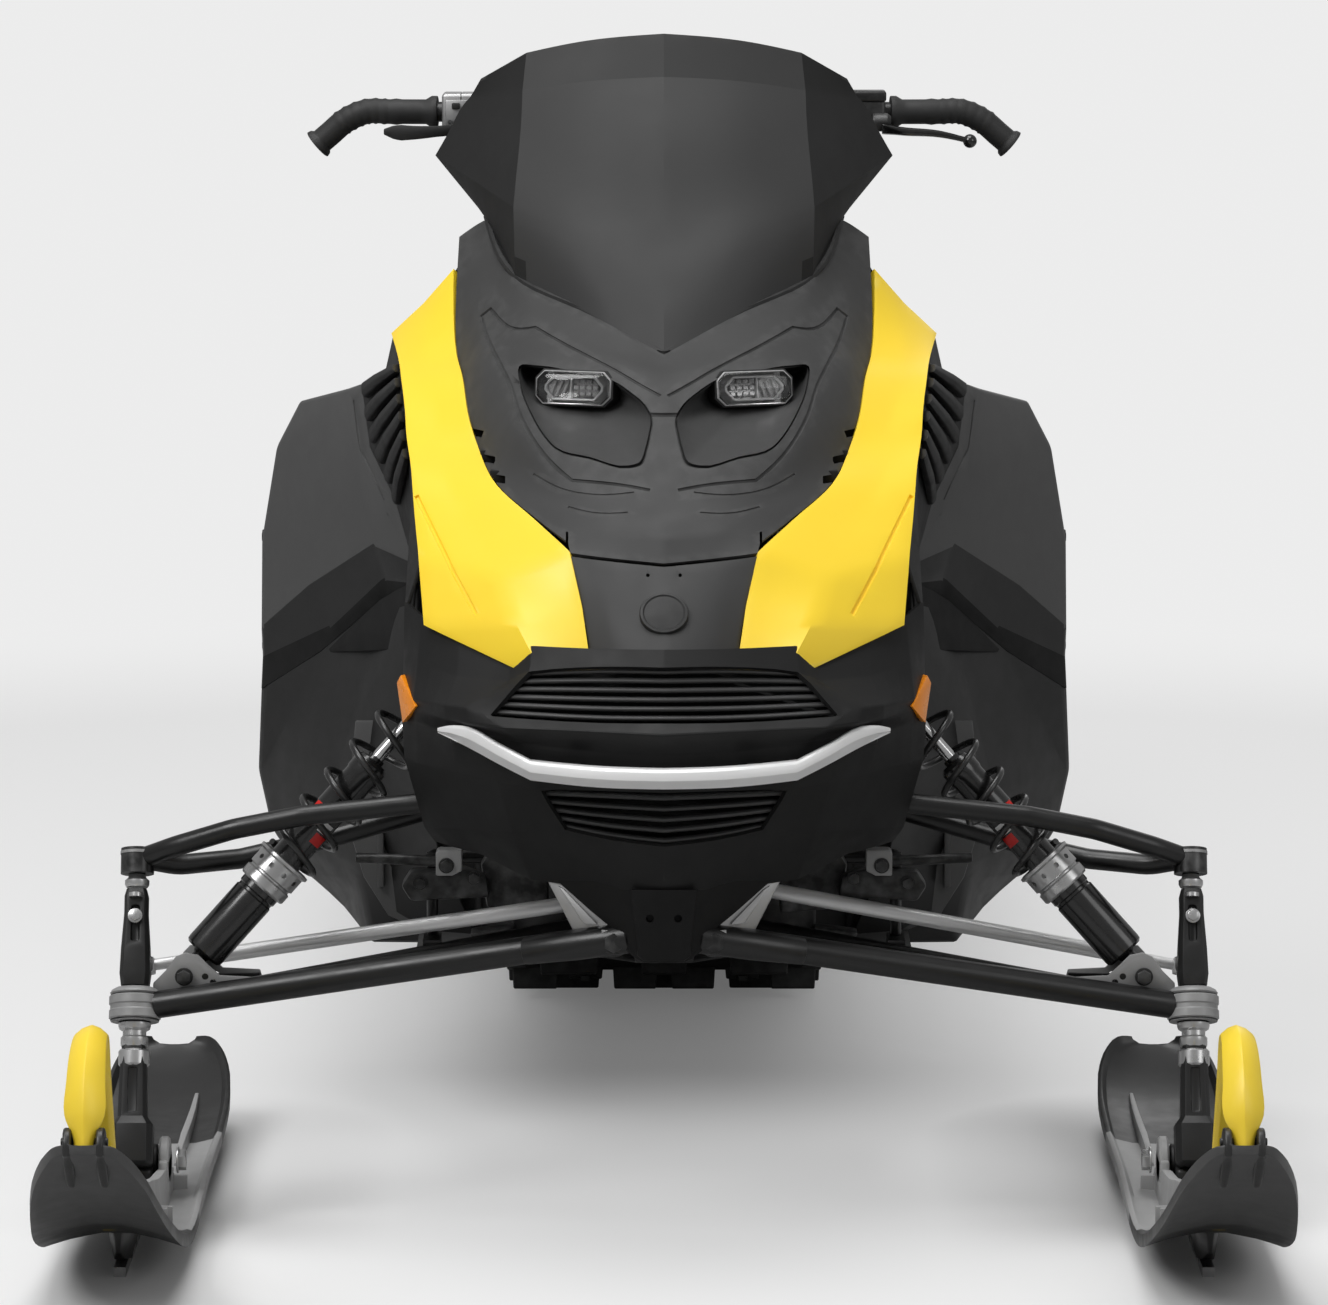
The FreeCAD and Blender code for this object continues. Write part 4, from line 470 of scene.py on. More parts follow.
def noise(tree, place, scale, detail, rough=0.5):
    """Noise at a place, from 0 to 1."""
    links = (("Vector", place), ("Scale", scale), ("Detail", detail), ("Roughness", rough))
    return node(tree, "ShaderNodeTexNoise", links).outputs["Fac"]


def blend(tree, share, first, second):
    """A number between two."""
    return node(tree, "ShaderNodeMix", (("Factor", share), ("A", first), ("B", second))).outputs["Result"]


def colour_blend(tree, share, first, second):
    """A colour between two."""
    return node(tree, "ShaderNodeMix", (("Factor", share), (6, first), (7, second)),
                data_type="RGBA").outputs[2]


def object_place(tree):
    """The place on the piece that is being shaded."""
    return node(tree, "ShaderNodeTexCoord").outputs["Object"]


NUMBER, COLOUR, VECTOR = "NodeSocketFloat", "NodeSocketColor", "NodeSocketVector"


def make_grain_group():
    """Fine moulded or cast grain: a height for bump and a value that spreads the roughness."""
    tree, start, end = new_group("surface_grain", (("Place", VECTOR, None), ("Scale", NUMBER, 900.0),
                                                   ("Coarse", NUMBER, 0.35)),
                                 (("Height", NUMBER), ("Spread", NUMBER)))
    fine = noise(tree, start.outputs["Place"], start.outputs["Scale"], 3.0, 0.6)
    large = noise(tree, start.outputs["Place"], 38.0, 4.0)
    tree.links.new(blend(tree, start.outputs["Coarse"], fine, large), end.inputs["Height"])
    tree.links.new(large, end.inputs["Spread"])
    return tree


def make_mottle_group():
    """A colour that drifts a little towards a second one in soft patches."""
    tree, start, end = new_group("soft_mottle", (("Place", VECTOR, None), ("Base", COLOUR, None),
                                                 ("Drift", COLOUR, None), ("Amount", NUMBER, 0.5)),
                                 (("Colour", COLOUR),))
    patches = eased(tree, noise(tree, start.outputs["Place"], 9.0, 6.0, 0.6), 0.35, 0.7)
    share = maths(tree, "MULTIPLY", patches, start.outputs["Amount"])
    mixed_colour = colour_blend(tree, share, start.outputs["Base"], start.outputs["Drift"])
    tree.links.new(mixed_colour, end.inputs["Colour"])
    return tree


def make_mask_group(name, amount, of_shape, low, high, speckle):
    """A mask where a value of the surface is high, broken up by a speckle."""
    tree, start, end = new_group(name, (("Place", VECTOR, None), ("Amount", NUMBER, amount)),
                                 (("Mask", NUMBER),))
    where = eased(tree, of_shape(tree, node(tree, "ShaderNodeNewGeometry")), low, high)
    scale, detail, rough, thin, full = speckle
    broken = eased(tree, noise(tree, start.outputs["Place"], scale, detail, rough), thin, full)
    mask = maths(tree, "MULTIPLY", where, broken)
    scaled = maths(tree, "MULTIPLY", mask, start.outputs["Amount"], use_clamp=True)
    tree.links.new(scaled, end.inputs["Mask"])
    return tree


def make_wear_group():
    """A mask along exposed edges, broken up so that it looks rubbed."""
    return make_mask_group("edge_wear", 0.5, lambda tree, shape: shape.outputs["Pointiness"], 0.53, 0.62,
                           (70.0, 5.0, 0.5, 0.38, 0.66))


def make_dust_group():
    """A mask of fine dust that settles on faces that look up."""
    def facing_up(tree, shape):
        return node(tree, "ShaderNodeSeparateXYZ", (("Vector", shape.outputs["Normal"]),)).outputs["Z"]
    return make_mask_group("fine_dust", 0.2, facing_up, 0.1, 1.0, (22.0, 9.0, 0.75, 0.4, 0.75))


def make_brush_group():
    """Long fine streaks, as on brushed or drawn metal."""
    tree, start, end = new_group("drawn_streaks", (("Place", VECTOR, None),
                                                   ("Along", VECTOR, (8.0, 500.0, 500.0))),
                                 (("Height", NUMBER),))
    stretched = node(tree, "ShaderNodeVectorMath", ((0, start.outputs["Place"]), (1, start.outputs["Along"])),
                     operation="MULTIPLY").outputs["Vector"]
    tree.links.new(noise(tree, stretched, 1.0, 2.0), end.inputs["Height"])
    return tree


GRAIN = make_grain_group()
MOTTLE = make_mottle_group()
WEAR = make_wear_group()
DUST = make_dust_group()
STREAKS = make_brush_group()


def linear(tone):
    """A linear colour from display values of 0 to 255."""
    steps = tone if isinstance(tone, tuple) else (tone, tone, tone)
    return tuple((c / 255.0) ** 2.2 for c in steps) + (1.0,)


def effect(tree, group, *links):
    """A node that uses one of the shared groups."""
    return node(tree, "ShaderNodeGroup", links, node_tree=group).outputs


def finish_of(name, tone, drift, rough, metal=0.0, grain=900.0, depth=0.15, coarse=0.35, spread=0.12,
              mottle=0.5, worn=None, wear=0.0, dust=0.0, dust_tone=150, coat=0.0, coat_rough=0.08,
              specular=0.5, streak=None, sheen=0.0):
    """A procedural surface finish built from the shared effects."""
    material = bpy.data.materials.new(name)
    material.use_nodes = True
    tree = material.node_tree
    shader = tree.nodes["Principled BSDF"]
    place = ("Place", object_place(tree))
    grained = effect(tree, GRAIN, place, ("Scale", grain), ("Coarse", coarse))
    colour = effect(tree, MOTTLE, place, ("Base", linear(tone)), ("Drift", linear(drift)),
                    ("Amount", mottle))["Colour"]
    roughness = eased(tree, grained["Spread"], 0.3, 0.7, rough - spread / 2, rough + spread / 2)
    if wear:
        mask = effect(tree, WEAR, place, ("Amount", wear))["Mask"]
        colour = colour_blend(tree, mask, colour, linear(worn))
    if dust:
        mask = effect(tree, DUST, place, ("Amount", dust))["Mask"]
        colour = colour_blend(tree, mask, colour, linear(dust_tone))
        roughness = blend(tree, mask, roughness, 0.9)
    height = effect(tree, STREAKS, place, ("Along", streak))["Height"] if streak else grained["Height"]
    bump = node(tree, "ShaderNodeBump", (("Height", height), ("Strength", depth), ("Distance", 0.0004)))
    for socket, value in (("Base Color", colour), ("Roughness", roughness),
                          ("Normal", bump.outputs["Normal"])):
        tree.links.new(value, shader.inputs[socket])
    for socket, value in (("Metallic", metal), ("Specular IOR Level", specular), ("Coat Weight", coat),
                          ("Coat Roughness", coat_rough), ("Sheen Weight", sheen)):
        shader.inputs[socket].default_value = value
    return material


black_panel = finish_of("black_panel_plastic", 67, 61, 0.5, depth=0.12, worn=98, wear=0.2, specular=0.2)
dark_panel = finish_of("lower_panel_plastic", 34, 29, 0.44, depth=0.15, worn=70, wear=0.2)
fascia_plastic = finish_of("fascia_plastic", 33, 28, 0.5, depth=0.12, worn=62, wear=0.2, specular=0.25)
# a darker copy of the lower panel plastic for the belly and the chin: painted shade under the nose
belly_painted_shade_plastic = finish_of("belly_painted_shade_plastic", 19, 15, 0.55, depth=0.15, worn=40, wear=0.2, specular=0.25)
grille_plastic = finish_of("grille_plastic", 58, 50, 0.5, depth=0.15, worn=90, wear=0.2)
side_panel = finish_of("side_panel_plastic", 76, 70, 0.46, depth=0.12, worn=104, wear=0.2)
yellow_panel = finish_of("yellow_panel_paint", (255, 218, 48), (252, 208, 40), 0.4, grain=500.0, depth=0.03,
                         spread=0.06, mottle=0.3, coat=0.3, coat_rough=0.3, worn=(255, 232, 130), wear=0.4)
yellow_plastic = finish_of("yellow_moulded_plastic", (255, 222, 66), (250, 208, 54), 0.38, depth=0.1,
                           worn=(255, 225, 130), wear=0.4)
smoked_screen = finish_of("smoked_screen", 62, 57, 0.5, grain=700.0, depth=0.03, spread=0.06, mottle=0.4,
                          specular=0.18)
# a darker copy of the smoked screen for its sides: painted shade where they turn away from the light
smoked_screen_painted_shade = finish_of("smoked_screen_painted_shade_sides", 45, 40, 0.5, grain=700.0, depth=0.03, spread=0.06, mottle=0.4,
                        specular=0.15)
black_trim = finish_of("black_trim", 28, 22, 0.6, depth=0.25, worn=75, wear=0.35, dust=0.05)
# near-black sheets and blocks set in openings, slots and pockets: painted shade where there is only shade
painted_shade_black = finish_of("painted_shade_backing", 10, 7, 0.8, depth=0.2)
coated_steel = finish_of("coated_steel", 18, 14, 0.34, grain=1400.0, depth=0.12, coarse=0.2, worn=120,
                         wear=0.3,
                         specular=0.6)
black_steel = finish_of("cast_black_steel", 44, 34, 0.42, metal=0.35, grain=600.0, depth=0.35, worn=150,
                        wear=0.5)
grey_steel = finish_of("grey_bracket_steel", 146, 134, 0.42, metal=0.2, depth=0.12, worn=185, wear=0.4)
bare_aluminium = finish_of("bare_aluminium", 222, 210, 0.42, metal=0.6, depth=0.06,
                           streak=(9.0, 420.0, 420.0),
                           worn=238, wear=0.3, mottle=0.3)
frame_aluminium = finish_of("frame_aluminium", 176, 160, 0.45, metal=0.85, depth=0.15, worn=215, wear=0.3,
                            mottle=0.4)
silver_paint = finish_of("silver_bumper_paint", 236, 228, 0.4, metal=0.15, grain=1600.0, depth=0.05,
                         spread=0.06,
                         coat=0.25, worn=240, wear=0.25, mottle=0.3)
zinc_steel = finish_of("zinc_steel", 196, 176, 0.3, metal=0.9, grain=500.0, depth=0.1, worn=225, wear=0.3)
polished_rod = finish_of("polished_rod", 216, 206, 0.16, metal=0.95, depth=0.03, spread=0.05, mottle=0.2)
spring_wire = finish_of("spring_enamel", 36, 28, 0.3, grain=1000.0, depth=0.06, worn=110, wear=0.3, coat=0.2)
shock_black = finish_of("shock_body_black", 30, 25, 0.24, grain=900.0, depth=0.04, worn=100, wear=0.3,
                        coat=0.4)
band_red = finish_of("band_red", (205, 32, 26), (186, 26, 22), 0.35, depth=0.04)
band_white = finish_of("band_white", 222, 210, 0.4, depth=0.04)
track_rubber = finish_of("track_rubber", 34, 26, 0.72, grain=420.0, depth=0.5, coarse=0.45, worn=70, wear=0.4,
                         dust=0.12, dust_tone=110)
flap_rubber = finish_of("flap_rubber", 32, 26, 0.62, grain=500.0, depth=0.35, worn=70, wear=0.3, dust=0.08)
grip_rubber = finish_of("grip_rubber", 40, 34, 0.62, grain=700.0, depth=0.4, worn=72, wear=0.3)
seat_cover = finish_of("seat_vinyl", 38, 32, 0.5, grain=330.0, depth=0.5, coarse=0.1, spread=0.15, sheen=0.1,
                       worn=80, wear=0.25)
ski_grey = finish_of("ski_grey_plastic", 158, 146, 0.46, depth=0.15, worn=160, wear=0.4, dust=0.06)
# a lighter copy of the black ski plastic for the shovel: painted light where it faces the lamps
ski_shovel_painted_light = finish_of("ski_shovel_painted_light_plastic", 76, 68, 0.4, depth=0.12, worn=100, wear=0.3)
ski_black = finish_of("ski_black_plastic", 44, 36, 0.38, depth=0.12, worn=90, wear=0.4)
amber_lens = finish_of("amber_lens", (255, 152, 30), (250, 138, 22), 0.3, grain=300.0, depth=0.1, coat=0.2,
                       mottle=0.4)
red_lens = finish_of("red_lens", (150, 16, 16), (122, 10, 12), 0.22, grain=300.0, depth=0.1, coat=0.6)
lamp_mirror = finish_of("lamp_reflector", 150, 128, 0.22, metal=0.8, depth=0.04)
lamp_cell = finish_of("lamp_cell", 176, 158, 0.3, metal=0.2, grain=300.0, depth=0.2)
engine_metal = finish_of("engine_casting", 84, 72, 0.5, metal=0.6, grain=420.0, depth=0.5, worn=140, wear=0.4)
black_gloss = finish_of("black_gloss_enamel", 22, 18, 0.16, grain=500.0, depth=0.04, spread=0.05, coat=0.5,
                        worn=160, wear=0.4)


lamp_glass = finish_of("clear_lamp_cover", 235, 235, 0.06, grain=200.0, depth=0.02, spread=0.04, mottle=0.0)
for socket, value in (("Transmission Weight", 1.0), ("IOR", 1.45)):
    lamp_glass.node_tree.nodes["Principled BSDF"].inputs[socket].default_value = value

# finishes of the frame nodes that are shown as they are
NODE_FINISH = {
    "lower_control_arms": coated_steel, "upper_control_arms": coated_steel, "tie_rod_left": bare_aluminium,
    "tie_rod_right": bare_aluminium, "ski_runner_left": zinc_steel, "ski_runner_right": zinc_steel,
}
for node_name, material in NODE_FINISH.items():
    nodes[node_name].data.materials.clear()
    nodes[node_name].data.materials.append(material)


# ------------------------------------------------------------------ body skin
# Nets of points shared by neighbours: distance to the left, station, height, in millimetres.
HOOD = (
    ((0, -60, 697), (27, -55, 699), (52, -50, 701), (74, -45, 703), (93, -40, 705)),
    ((0, -42, 722), (27, -37, 722), (52, -31, 723), (74, -24, 722), (96, -25, 714)),
    ((0, -14, 741), (38, -10, 742), (76, 0, 742), (104, 10, 739), (129, 20, 733)),
    ((0, 0, 753), (45, 6, 755), (92, 24, 757), (134, 54, 757), (167, 85, 757)),
    ((0, 62, 807), (52, 72, 811), (134, 92, 805), (166, 128, 797), (190, 165, 787)),
    ((0, 92, 828), (50, 106, 832), (136, 122, 829), (178, 168, 818), (200, 205, 812)),
    ((0, 140, 862), (50, 160, 873), (136, 192, 874), (184, 235, 864), (209, 275, 848)),
    ((0, 165, 873), (62, 192, 890), (130, 228, 898), (186, 282, 886), (217, 330, 867)),
    ((0, 182, 882), (66, 230, 914), (156, 330, 949), (192, 440, 1001), (218, 438, 984)))
NOSE = (
    ((0, -140, 612), (24, -134, 612), (46, -122, 612), (60, -111, 612), (73, -100, 612)),
    ((0, -103, 655), (27, -98, 655), (52, -90, 655), (68, -80, 655), (81, -72, 655)),
    ((0, -64, 694), (27, -59, 696), (52, -54, 698), (74, -49, 700), (93, -43, 702)))
SHOULDER = (
    ((74, -101, 611), (130, -100, 612), (143, -93, 595)), ((81, -72, 655), (145, -76, 637), (239, -5, 627)),
    ((93, -40, 705), (165, -26, 678), (246, 45, 687)), ((131, 23, 731), (190, 44, 716), (252, 94, 724)),
    ((169, 85, 757), (217, 110, 751), (257, 140, 758)),
    ((190, 165, 787), (230, 182, 784), (265, 215, 791)), ((200, 205, 812), (234, 222, 806), (268, 250, 812)),
    ((209, 275, 848), (243, 290, 841), (275, 320, 843)), ((217, 330, 867), (250, 345, 862), (279, 365, 857)),
    ((222, 430, 949), (254, 435, 912), (289, 440, 879)))
FASCIA = (
    ((0, -140, 622), (62, -127, 621), (131, -98, 620), (150, -80, 606), (205, -30, 622), (243, 14, 634),
     (262, 45, 644)),
    ((0, -152, 606), (62, -139, 605), (134, -112, 597), (153, -98, 585), (206, -58, 584), (247, -8, 590),
     (263, 42, 600)),
    ((0, -168, 553), (62, -158, 552), (172, -126, 554), (196, -108, 560), (218, -84, 558), (251, -20, 556),
     (264, 38, 566)),
    ((0, -180, 543), (62, -170, 545), (160, -143, 545), (192, -116, 545), (218, -80, 544), (251, -16, 546),
     (265, 36, 550)),
    ((0, -165, 521), (62, -155, 523), (140, -130, 528), (181, -98, 531), (213, -62, 527), (249, -4, 529),
     (265, 32, 530)),
    ((0, -160, 483), (62, -148, 483), (124, -130, 482), (165, -100, 484), (205, -58, 486), (248, -4, 488),
     (262, 18, 490)),
    ((0, -135, 425), (50, -127, 430), (98, -113, 438), (150, -85, 430), (190, -40, 425), (230, 2, 420),
     (242, 18, 418)),
    ((0, -115, 378), (31, -110, 377), (53, -95, 374), (134, -50, 377), (185, -10, 396), (216, 12, 400),
     (232, 30, 402)))
SCREEN = (
    ((0, 182, 882), (66, 230, 914), (156, 330, 949), (188, 440, 1003)),
    ((0, 245, 959), (70.5, 268, 978.5), (157.5, 338, 1003.7), (217, 500, 1032)),
    ((0, 268, 985), (72, 286, 1000), (158, 346, 1022), (247, 546, 1064)),
    ((0, 290, 1013.8), (73, 308, 1025), (156, 360, 1046), (232, 533, 1090)),
    ((0, 350, 1104), (76, 364, 1104), (151, 404, 1106), (217, 519, 1118)),
    ((0, 392, 1156), (79, 404, 1151), (150, 430, 1140), (207, 509, 1130)),
    ((0, 414, 1200.5), (80, 424, 1193), (146, 446, 1179), (196, 497, 1149)))
SCREEN_CREASE = 0.146

# the brow round a lamp, as seen from the front: distance to the left, height
EYE = ((149, 869), (130, 871), (92, 867), (51, 859), (32, 848), (19, 838), (11, 824), (13, 810), (16, 799),
       (22, 785), (34, 781.5), (75, 789), (110, 797), (123, 809), (136, 827), (148, 852))
MASK_LINE = ((4, 846), (23, 855), (51, 869), (102, 891), (134, 905), (162, 903), (182, 917), (192, 909),
             (184, 890), (168, 867), (157, 850), (147, 826), (134, 806), (118, 788), (93, 769), (40, 766),
             (14, 762))
SMILE_LINES = (((30, 760), (70, 757), (104, 761), (132, 772)), ((36, 742), (72, 741), (96, 745)))
GILLS = ((176, 98, 763), (187, 142, 779), (196, 188, 801))
VIEW = Vector((0, 0.99, -0.14)).normalized()
RAY_START = -1.565


def landed(tree, points):
    """Points given by distance to the left and height, dropped from the front onto a piece's faces."""
    found = []
    for x, z in points:
        hit = tree.ray_cast(Vector((x * MM, RAY_START, z * MM)), BACK)
        if hit[0] is not None:
            found.append(hit[0])
    return found


def dense(points, steps, corners=()):
    """A flat smooth line through pairs of numbers."""
    line = smooth_line([Vector((x, 0, z)) for x, z in points], steps, corners)
    return [(p.x, p.z) for p in line]


def panel(rows, across, along, sharp_columns=(), sharp_rows=()):
    """One side of a skin panel, mirrored over the middle."""
    piece = sheet_of(curved(table(rows), across, along, sharp_columns, sharp_rows))
    facing(piece, FORWARD)
    return both(piece)


def make_hood():
    """The hood skin with its two lamp openings, its pressed lines and the gills beside the shoulders."""
    hood = panel(HOOD, 5, 5, sharp_rows=(1,))
    surface = surface_of(hood)
    walled(hood, 4 * MM)
    eye = smooth_ring([Vector((x, 0, z)) for x, z in EYE], 4)
    outline = landed(surface, [(p.x, p.z) for p in eye])
    tools = []
    for side in SIDES:
        edge = [on_side(side, point) for point in outline]
        tools.append(loft([[p - VIEW * 0.05 for p in edge], [p + VIEW * 0.06 for p in edge]]))
    cut(hood, tools)
    lines = [landed(surface, dense(MASK_LINE, 4, (4, 6, 7, 14)))]
    lines += [landed(surface, dense(line, 4)) for line in SMILE_LINES]
    for index, line in enumerate(lines):
        radius = 2.4 if index == 0 else 1.2
        cut(hood, [tube([on_side(side, point) for point in line], radius, 6) for side in SIDES])
    bridge = landed(surface, [(x, 829) for x in (-16, -8, 0, 8, 16)])
    cut(hood, [tube(bridge, 3.4, 10)])
    tools = []
    backs = []
    for x, station, z in GILLS:
        tools.append(box(at(x - 15, station - 20, z - 3.5), at(x + 8, station + 30, z + 4), 1.0))
        backs.append(box(at(x - 18, station + 7, z - 7), at(x + 1, station + 26, z + 8), 1.0))
        for pieces in (tools, backs):
            pieces.append(mirrored(pieces[-1]))
    notch = box(at(95.5, -70, 708), at(98, 10, 723), 0)
    tools += [notch, mirrored(notch)]
    cut(hood, tools)
    # black blocks behind the gill slots: painted shade in the slots
    finished(joined(backs), "hood_gill_painted_shade_backs", painted_shade_black, slot="black_trim")
    bevelled(hood, 1.0 * MM, 2, 40.0)
    finished(hood, "hood_skin", black_panel, slot="black_panel", stands_for=("hood",), smooth=28)
    return outline


def make_lamp_sockets(outline):
    """A sloping socket behind each brow: deep at the lamp and flush at its lower edge."""
    low = min(p.z for p in outline)
    high = max(p.z for p in outline)
    focus = at(94, 178, 850)

    def ring(shrink, deep, drop=0.0):
        points = []
        for p in outline:
            share = (p.z - low) / (high - low)
            points.append(focus + (p - focus) * shrink + VIEW * (deep * share ** 1.3 + drop) * MM)
        return points
    rings = [ring(1.03, 0.0, 8.0), ring(0.985, 0.0, 7.0), ring(0.965, 3.0, 0.6), ring(0.9, 24.0, 2.0),
             ring(0.78, 38.0, 5.0), ring(0.55, 40.0, 12.0), ring(0.3, 38.0, 22.0)]
    bowl = sheet_of([list(r) + [r[0]] for r in rings])
    edit(bowl)
    bpy.ops.mesh.remove_doubles(threshold=NARROW)
    leave()
    last, half = rings[-1], len(outline) // 2
    bottom = sheet_of([last[:half + 1], list(reversed(last[half:] + last[:1]))])
    bowl = facing(closed_up(joined([bowl, bottom])), FORWARD)
    walled(bowl, 2 * MM)
    pair_of([bowl], "lamp_sockets", black_panel, "black_panel", (), 40)


LAMP_CENTRE = at(92, 158, 850)
LAMP_YAW = math.radians(20.0)


def lamp_ring(wide, high, chamfer, depth):
    """An eight-cornered outline in the lamp's own frame: half width, half height, cut corners and depth."""
    w, h, c = wide, high, chamfer
    flat = ((-w + c, -h), (w - c, -h), (w, -h + c), (w, h - c), (w - c, h), (-w + c, h), (-w, h - c),
            (-w, -h + c))
    return [Vector((x, depth, z)) * MM for x, z in flat]


def lamp_frame():
    """Where the left-hand lamp stands and how it is turned."""
    turn = Matrix.Rotation(LAMP_YAW, 4, "Z") @ Matrix.Rotation(math.radians(-8.0), 4, "X")
    return Matrix.Translation(LAMP_CENTRE) @ turn


def lamp_band(sizes):
    """A closed band that follows outlines of (half width, half height, chamfer, depth)."""
    band = sheet_of([lamp_ring(*size) + lamp_ring(*size)[:1] for size in sizes + sizes[:1]])
    return closed_up(band)


def make_headlamps():
    """Each lamp: a housing, a pale rim, two chambers of cells and a clear cover."""
    lamp = lamp_frame()
    shell = loft([lamp_ring(43, 19, 9, -1), lamp_ring(43, 19, 9, 20), lamp_ring(36, 15, 7, 34)])
    pocket = loft([lamp_ring(40, 16, 8, -6), lamp_ring(38, 14.5, 7, 12)])
    cut(shell, [pocket])
    bevelled(shell, 0.8 * MM)
    rim = lamp_band([(41, 17.5, 8.5, -2.5), (38.6, 15.2, 7.5, -2.5), (38.2, 14.8, 7.2, 4),
                     (41, 17.5, 8.5, 4)])
    bevelled(rim, 0.5 * MM, 1)
    inner = lamp_band([(31, 11.5, 9, -0.5), (28.6, 9.4, 7.6, -0.5), (28.2, 9.0, 7.2, 7), (31, 11.5, 9, 7)])
    bevelled(inner, 0.4 * MM, 1)
    divider = block((2.4, 0, -9), (4.2, 6, 9), 0.4, 1)
    cells = []
    for row in range(3):
        for column in range(4):
            x, z = -23.5 + column * 6.6, -6.4 + row * 5.4
            cells.append(block((x, 3, z), (x + 5.4, 7, z + 4.0), 0.5, 1))
    for column in range(3):
        blade = block((-1.4, 2.5, -7.5), (1.4, 7, 7.5), 0.5, 1)
        blade.data.transform(Matrix.Translation(Vector((9.5 + column * 6.5, 0, 0)) * MM)
                             @ Matrix.Rotation(math.radians(-22.0), 4, "Y"))
        cells.append(blade)
    back = block((-30, 7, -11), (30, 9, 11), 0.5, 1)
    cover = loft([lamp_ring(40, 16.5, 8, -3), lamp_ring(39.5, 16, 8, -5), lamp_ring(36, 13, 7, -7)])
    bevelled(cover, 0.8 * MM)
    for name, pieces, material, slot, stands_for in (
            ("lamp_housings", [shell], black_trim, "black_trim", ("headlamps",)),
            ("lamp_rims", [rim, inner, divider], lamp_cell, "lamp_lens", ()),
            ("lamp_cells", cells, lamp_mirror, "lamp_lens", ()),
            ("lamp_backs", [back], lamp_mirror, "lamp_lens", ()),
            ("lamp_covers", [cover], lamp_glass, "lamp_lens", ())):
        piece = joined(pieces)
        piece.data.transform(lamp)
        pair_of([piece], name, material, slot, stands_for)


def make_nose():
    """The nose panel with two dimples and a blank round badge."""
    nose = panel(NOSE, 3, 5)
    walled(nose, 4 * MM)
    dimples = []
    for side in SIDES:
        dimple = at(side * 16, -80, 688)
        dimples.append(rod(dimple - VIEW * 0.05, dimple + VIEW * 0.05, 1.8, 0, 16))
    cut(nose, dimples)
    bevelled(nose, 1.4 * MM, 3, 45.0)
    finished(nose, "nose_skin", black_panel, slot="black_panel", stands_for=("nose_panel",), smooth=28)
    badge = turned(((0, 3.6), (14, 3.4), (19.5, 2.9), (21, 3.9), (23.4, 3.6), (24.2, 2.2), (24.2, -3.0)),
                   at(0, -104, 652), Vector((0, -0.75, 0.66)).normalized(), 48)
    walled(badge, 1.2 * MM)
    finished(badge, "nose_badge_blank", black_trim, slot="black_trim")


def make_shoulders():
    """The yellow shoulder panels, each with one pressed crease."""
    shoulder = sheet_of(curved(table(SHOULDER), 6, 5, sharp_columns=(1,), sharp_rows=(1, 2)))
    facing(shoulder, Vector((0.4, -1, 0.4)))
    tree = surface_of(shoulder)
    crease = smooth_line([at(250, 118, 740), at(222, 38, 697), at(189, -42, 645)], 6)
    found = [tree.find_nearest(point) for point in crease]
    crease = [place + normal * 2.4 * MM for place, normal, *_ in found]
    walled(shoulder, 8 * MM, 3 * MM)
    cut(shoulder, [tube(crease, 2.6, 10)])
    bevelled(shoulder, 3.0 * MM, 4, 50.0)
    pair_of([shoulder], "yellow_shoulders", yellow_panel, "yellow_panel", ("shoulder_panels",), 32)


# the grille openings: the row of the fascia's net at the top of each, and its number of slats
GRILLES = ((1, 6), (5, 5))
FASCIA_STEPS = 3
OPENING_COLUMNS = 2


def opening(row):
    """The outline of a grille opening on the left: top and bottom edges from the middle out."""
    rows = table(FASCIA)
    return rows[row][:OPENING_COLUMNS + 1], rows[row + 1][:OPENING_COLUMNS + 1]


def make_fascia():
    """The front fascia with its two grille openings."""
    rows = table(FASCIA)
    fascia = sheet_of(curved(rows, FASCIA_STEPS, FASCIA_STEPS, (2, 3, 4, 5), (1, 2, 3, 4, 5, 6)))
    facing(fascia, FORWARD)
    edit(fascia, "DESELECT")
    leave()
    across = (len(rows[0]) - 1) * FASCIA_STEPS
    open_rows = [top for top, slats in GRILLES]
    for face in fascia.data.polygons:
        row, column = divmod(face.index, across)
        face.select = column < OPENING_COLUMNS * FASCIA_STEPS and row // FASCIA_STEPS in open_rows
    bpy.ops.object.mode_set(mode="EDIT")
    bpy.ops.mesh.delete(type="FACE")
    leave()
    both(fascia)
    bevelled(fascia, 2.2 * MM, 2, 7.0)
    walled(fascia, 5 * MM)
    bevelled(fascia, 1.2 * MM, 2, 50.0)
    finished(fascia, "front_fascia_skin", fascia_plastic, slot="black_panel", stands_for=("front_fascia",),
             smooth=12)


def slat_line(top, low, share, recess):
    """A bent line across an opening at a share of its height, a little inside the wall."""
    edge = [mixed(a, b, share) + BACK * recess * MM for a, b in zip(top, low)]
    return whole_line(smooth_line(edge, 3))


def make_grilles():
    """Slats across both openings, with a black tray of painted shade behind each."""
    section = ((0, 0.6), (0, -1.4), (3, -3.0), (16, -1.0), (16, 1.2), (3, 2.2))
    slats = []
    backs = []
    for row, count in GRILLES:
        top, low = opening(row)
        for index in range(count):
            line = slat_line(top, low, (index + 0.6) / count, 7.0)
            slats.append(loft([[p + Vector((0, back, up)) * MM for back, up in section] for p in line]))
        # the black tray behind the slats is painted shade in the opening
        edges = [slat_line(top, low, share, recess) for share in (-0.15, 1.15) for recess in (24, 30)]
        backs.append(loft([edges[0] + edges[2][::-1], edges[1] + edges[3][::-1]]))
    grille = joined(slats)
    bevelled(grille, 0.5 * MM, 1, 40.0)
    finished(grille, "grille_slats", grille_plastic, slot="black_trim", stands_for=("grilles",), smooth=40)
    finished(joined(backs), "grille_painted_shade_backing", painted_shade_black, slot="black_trim")


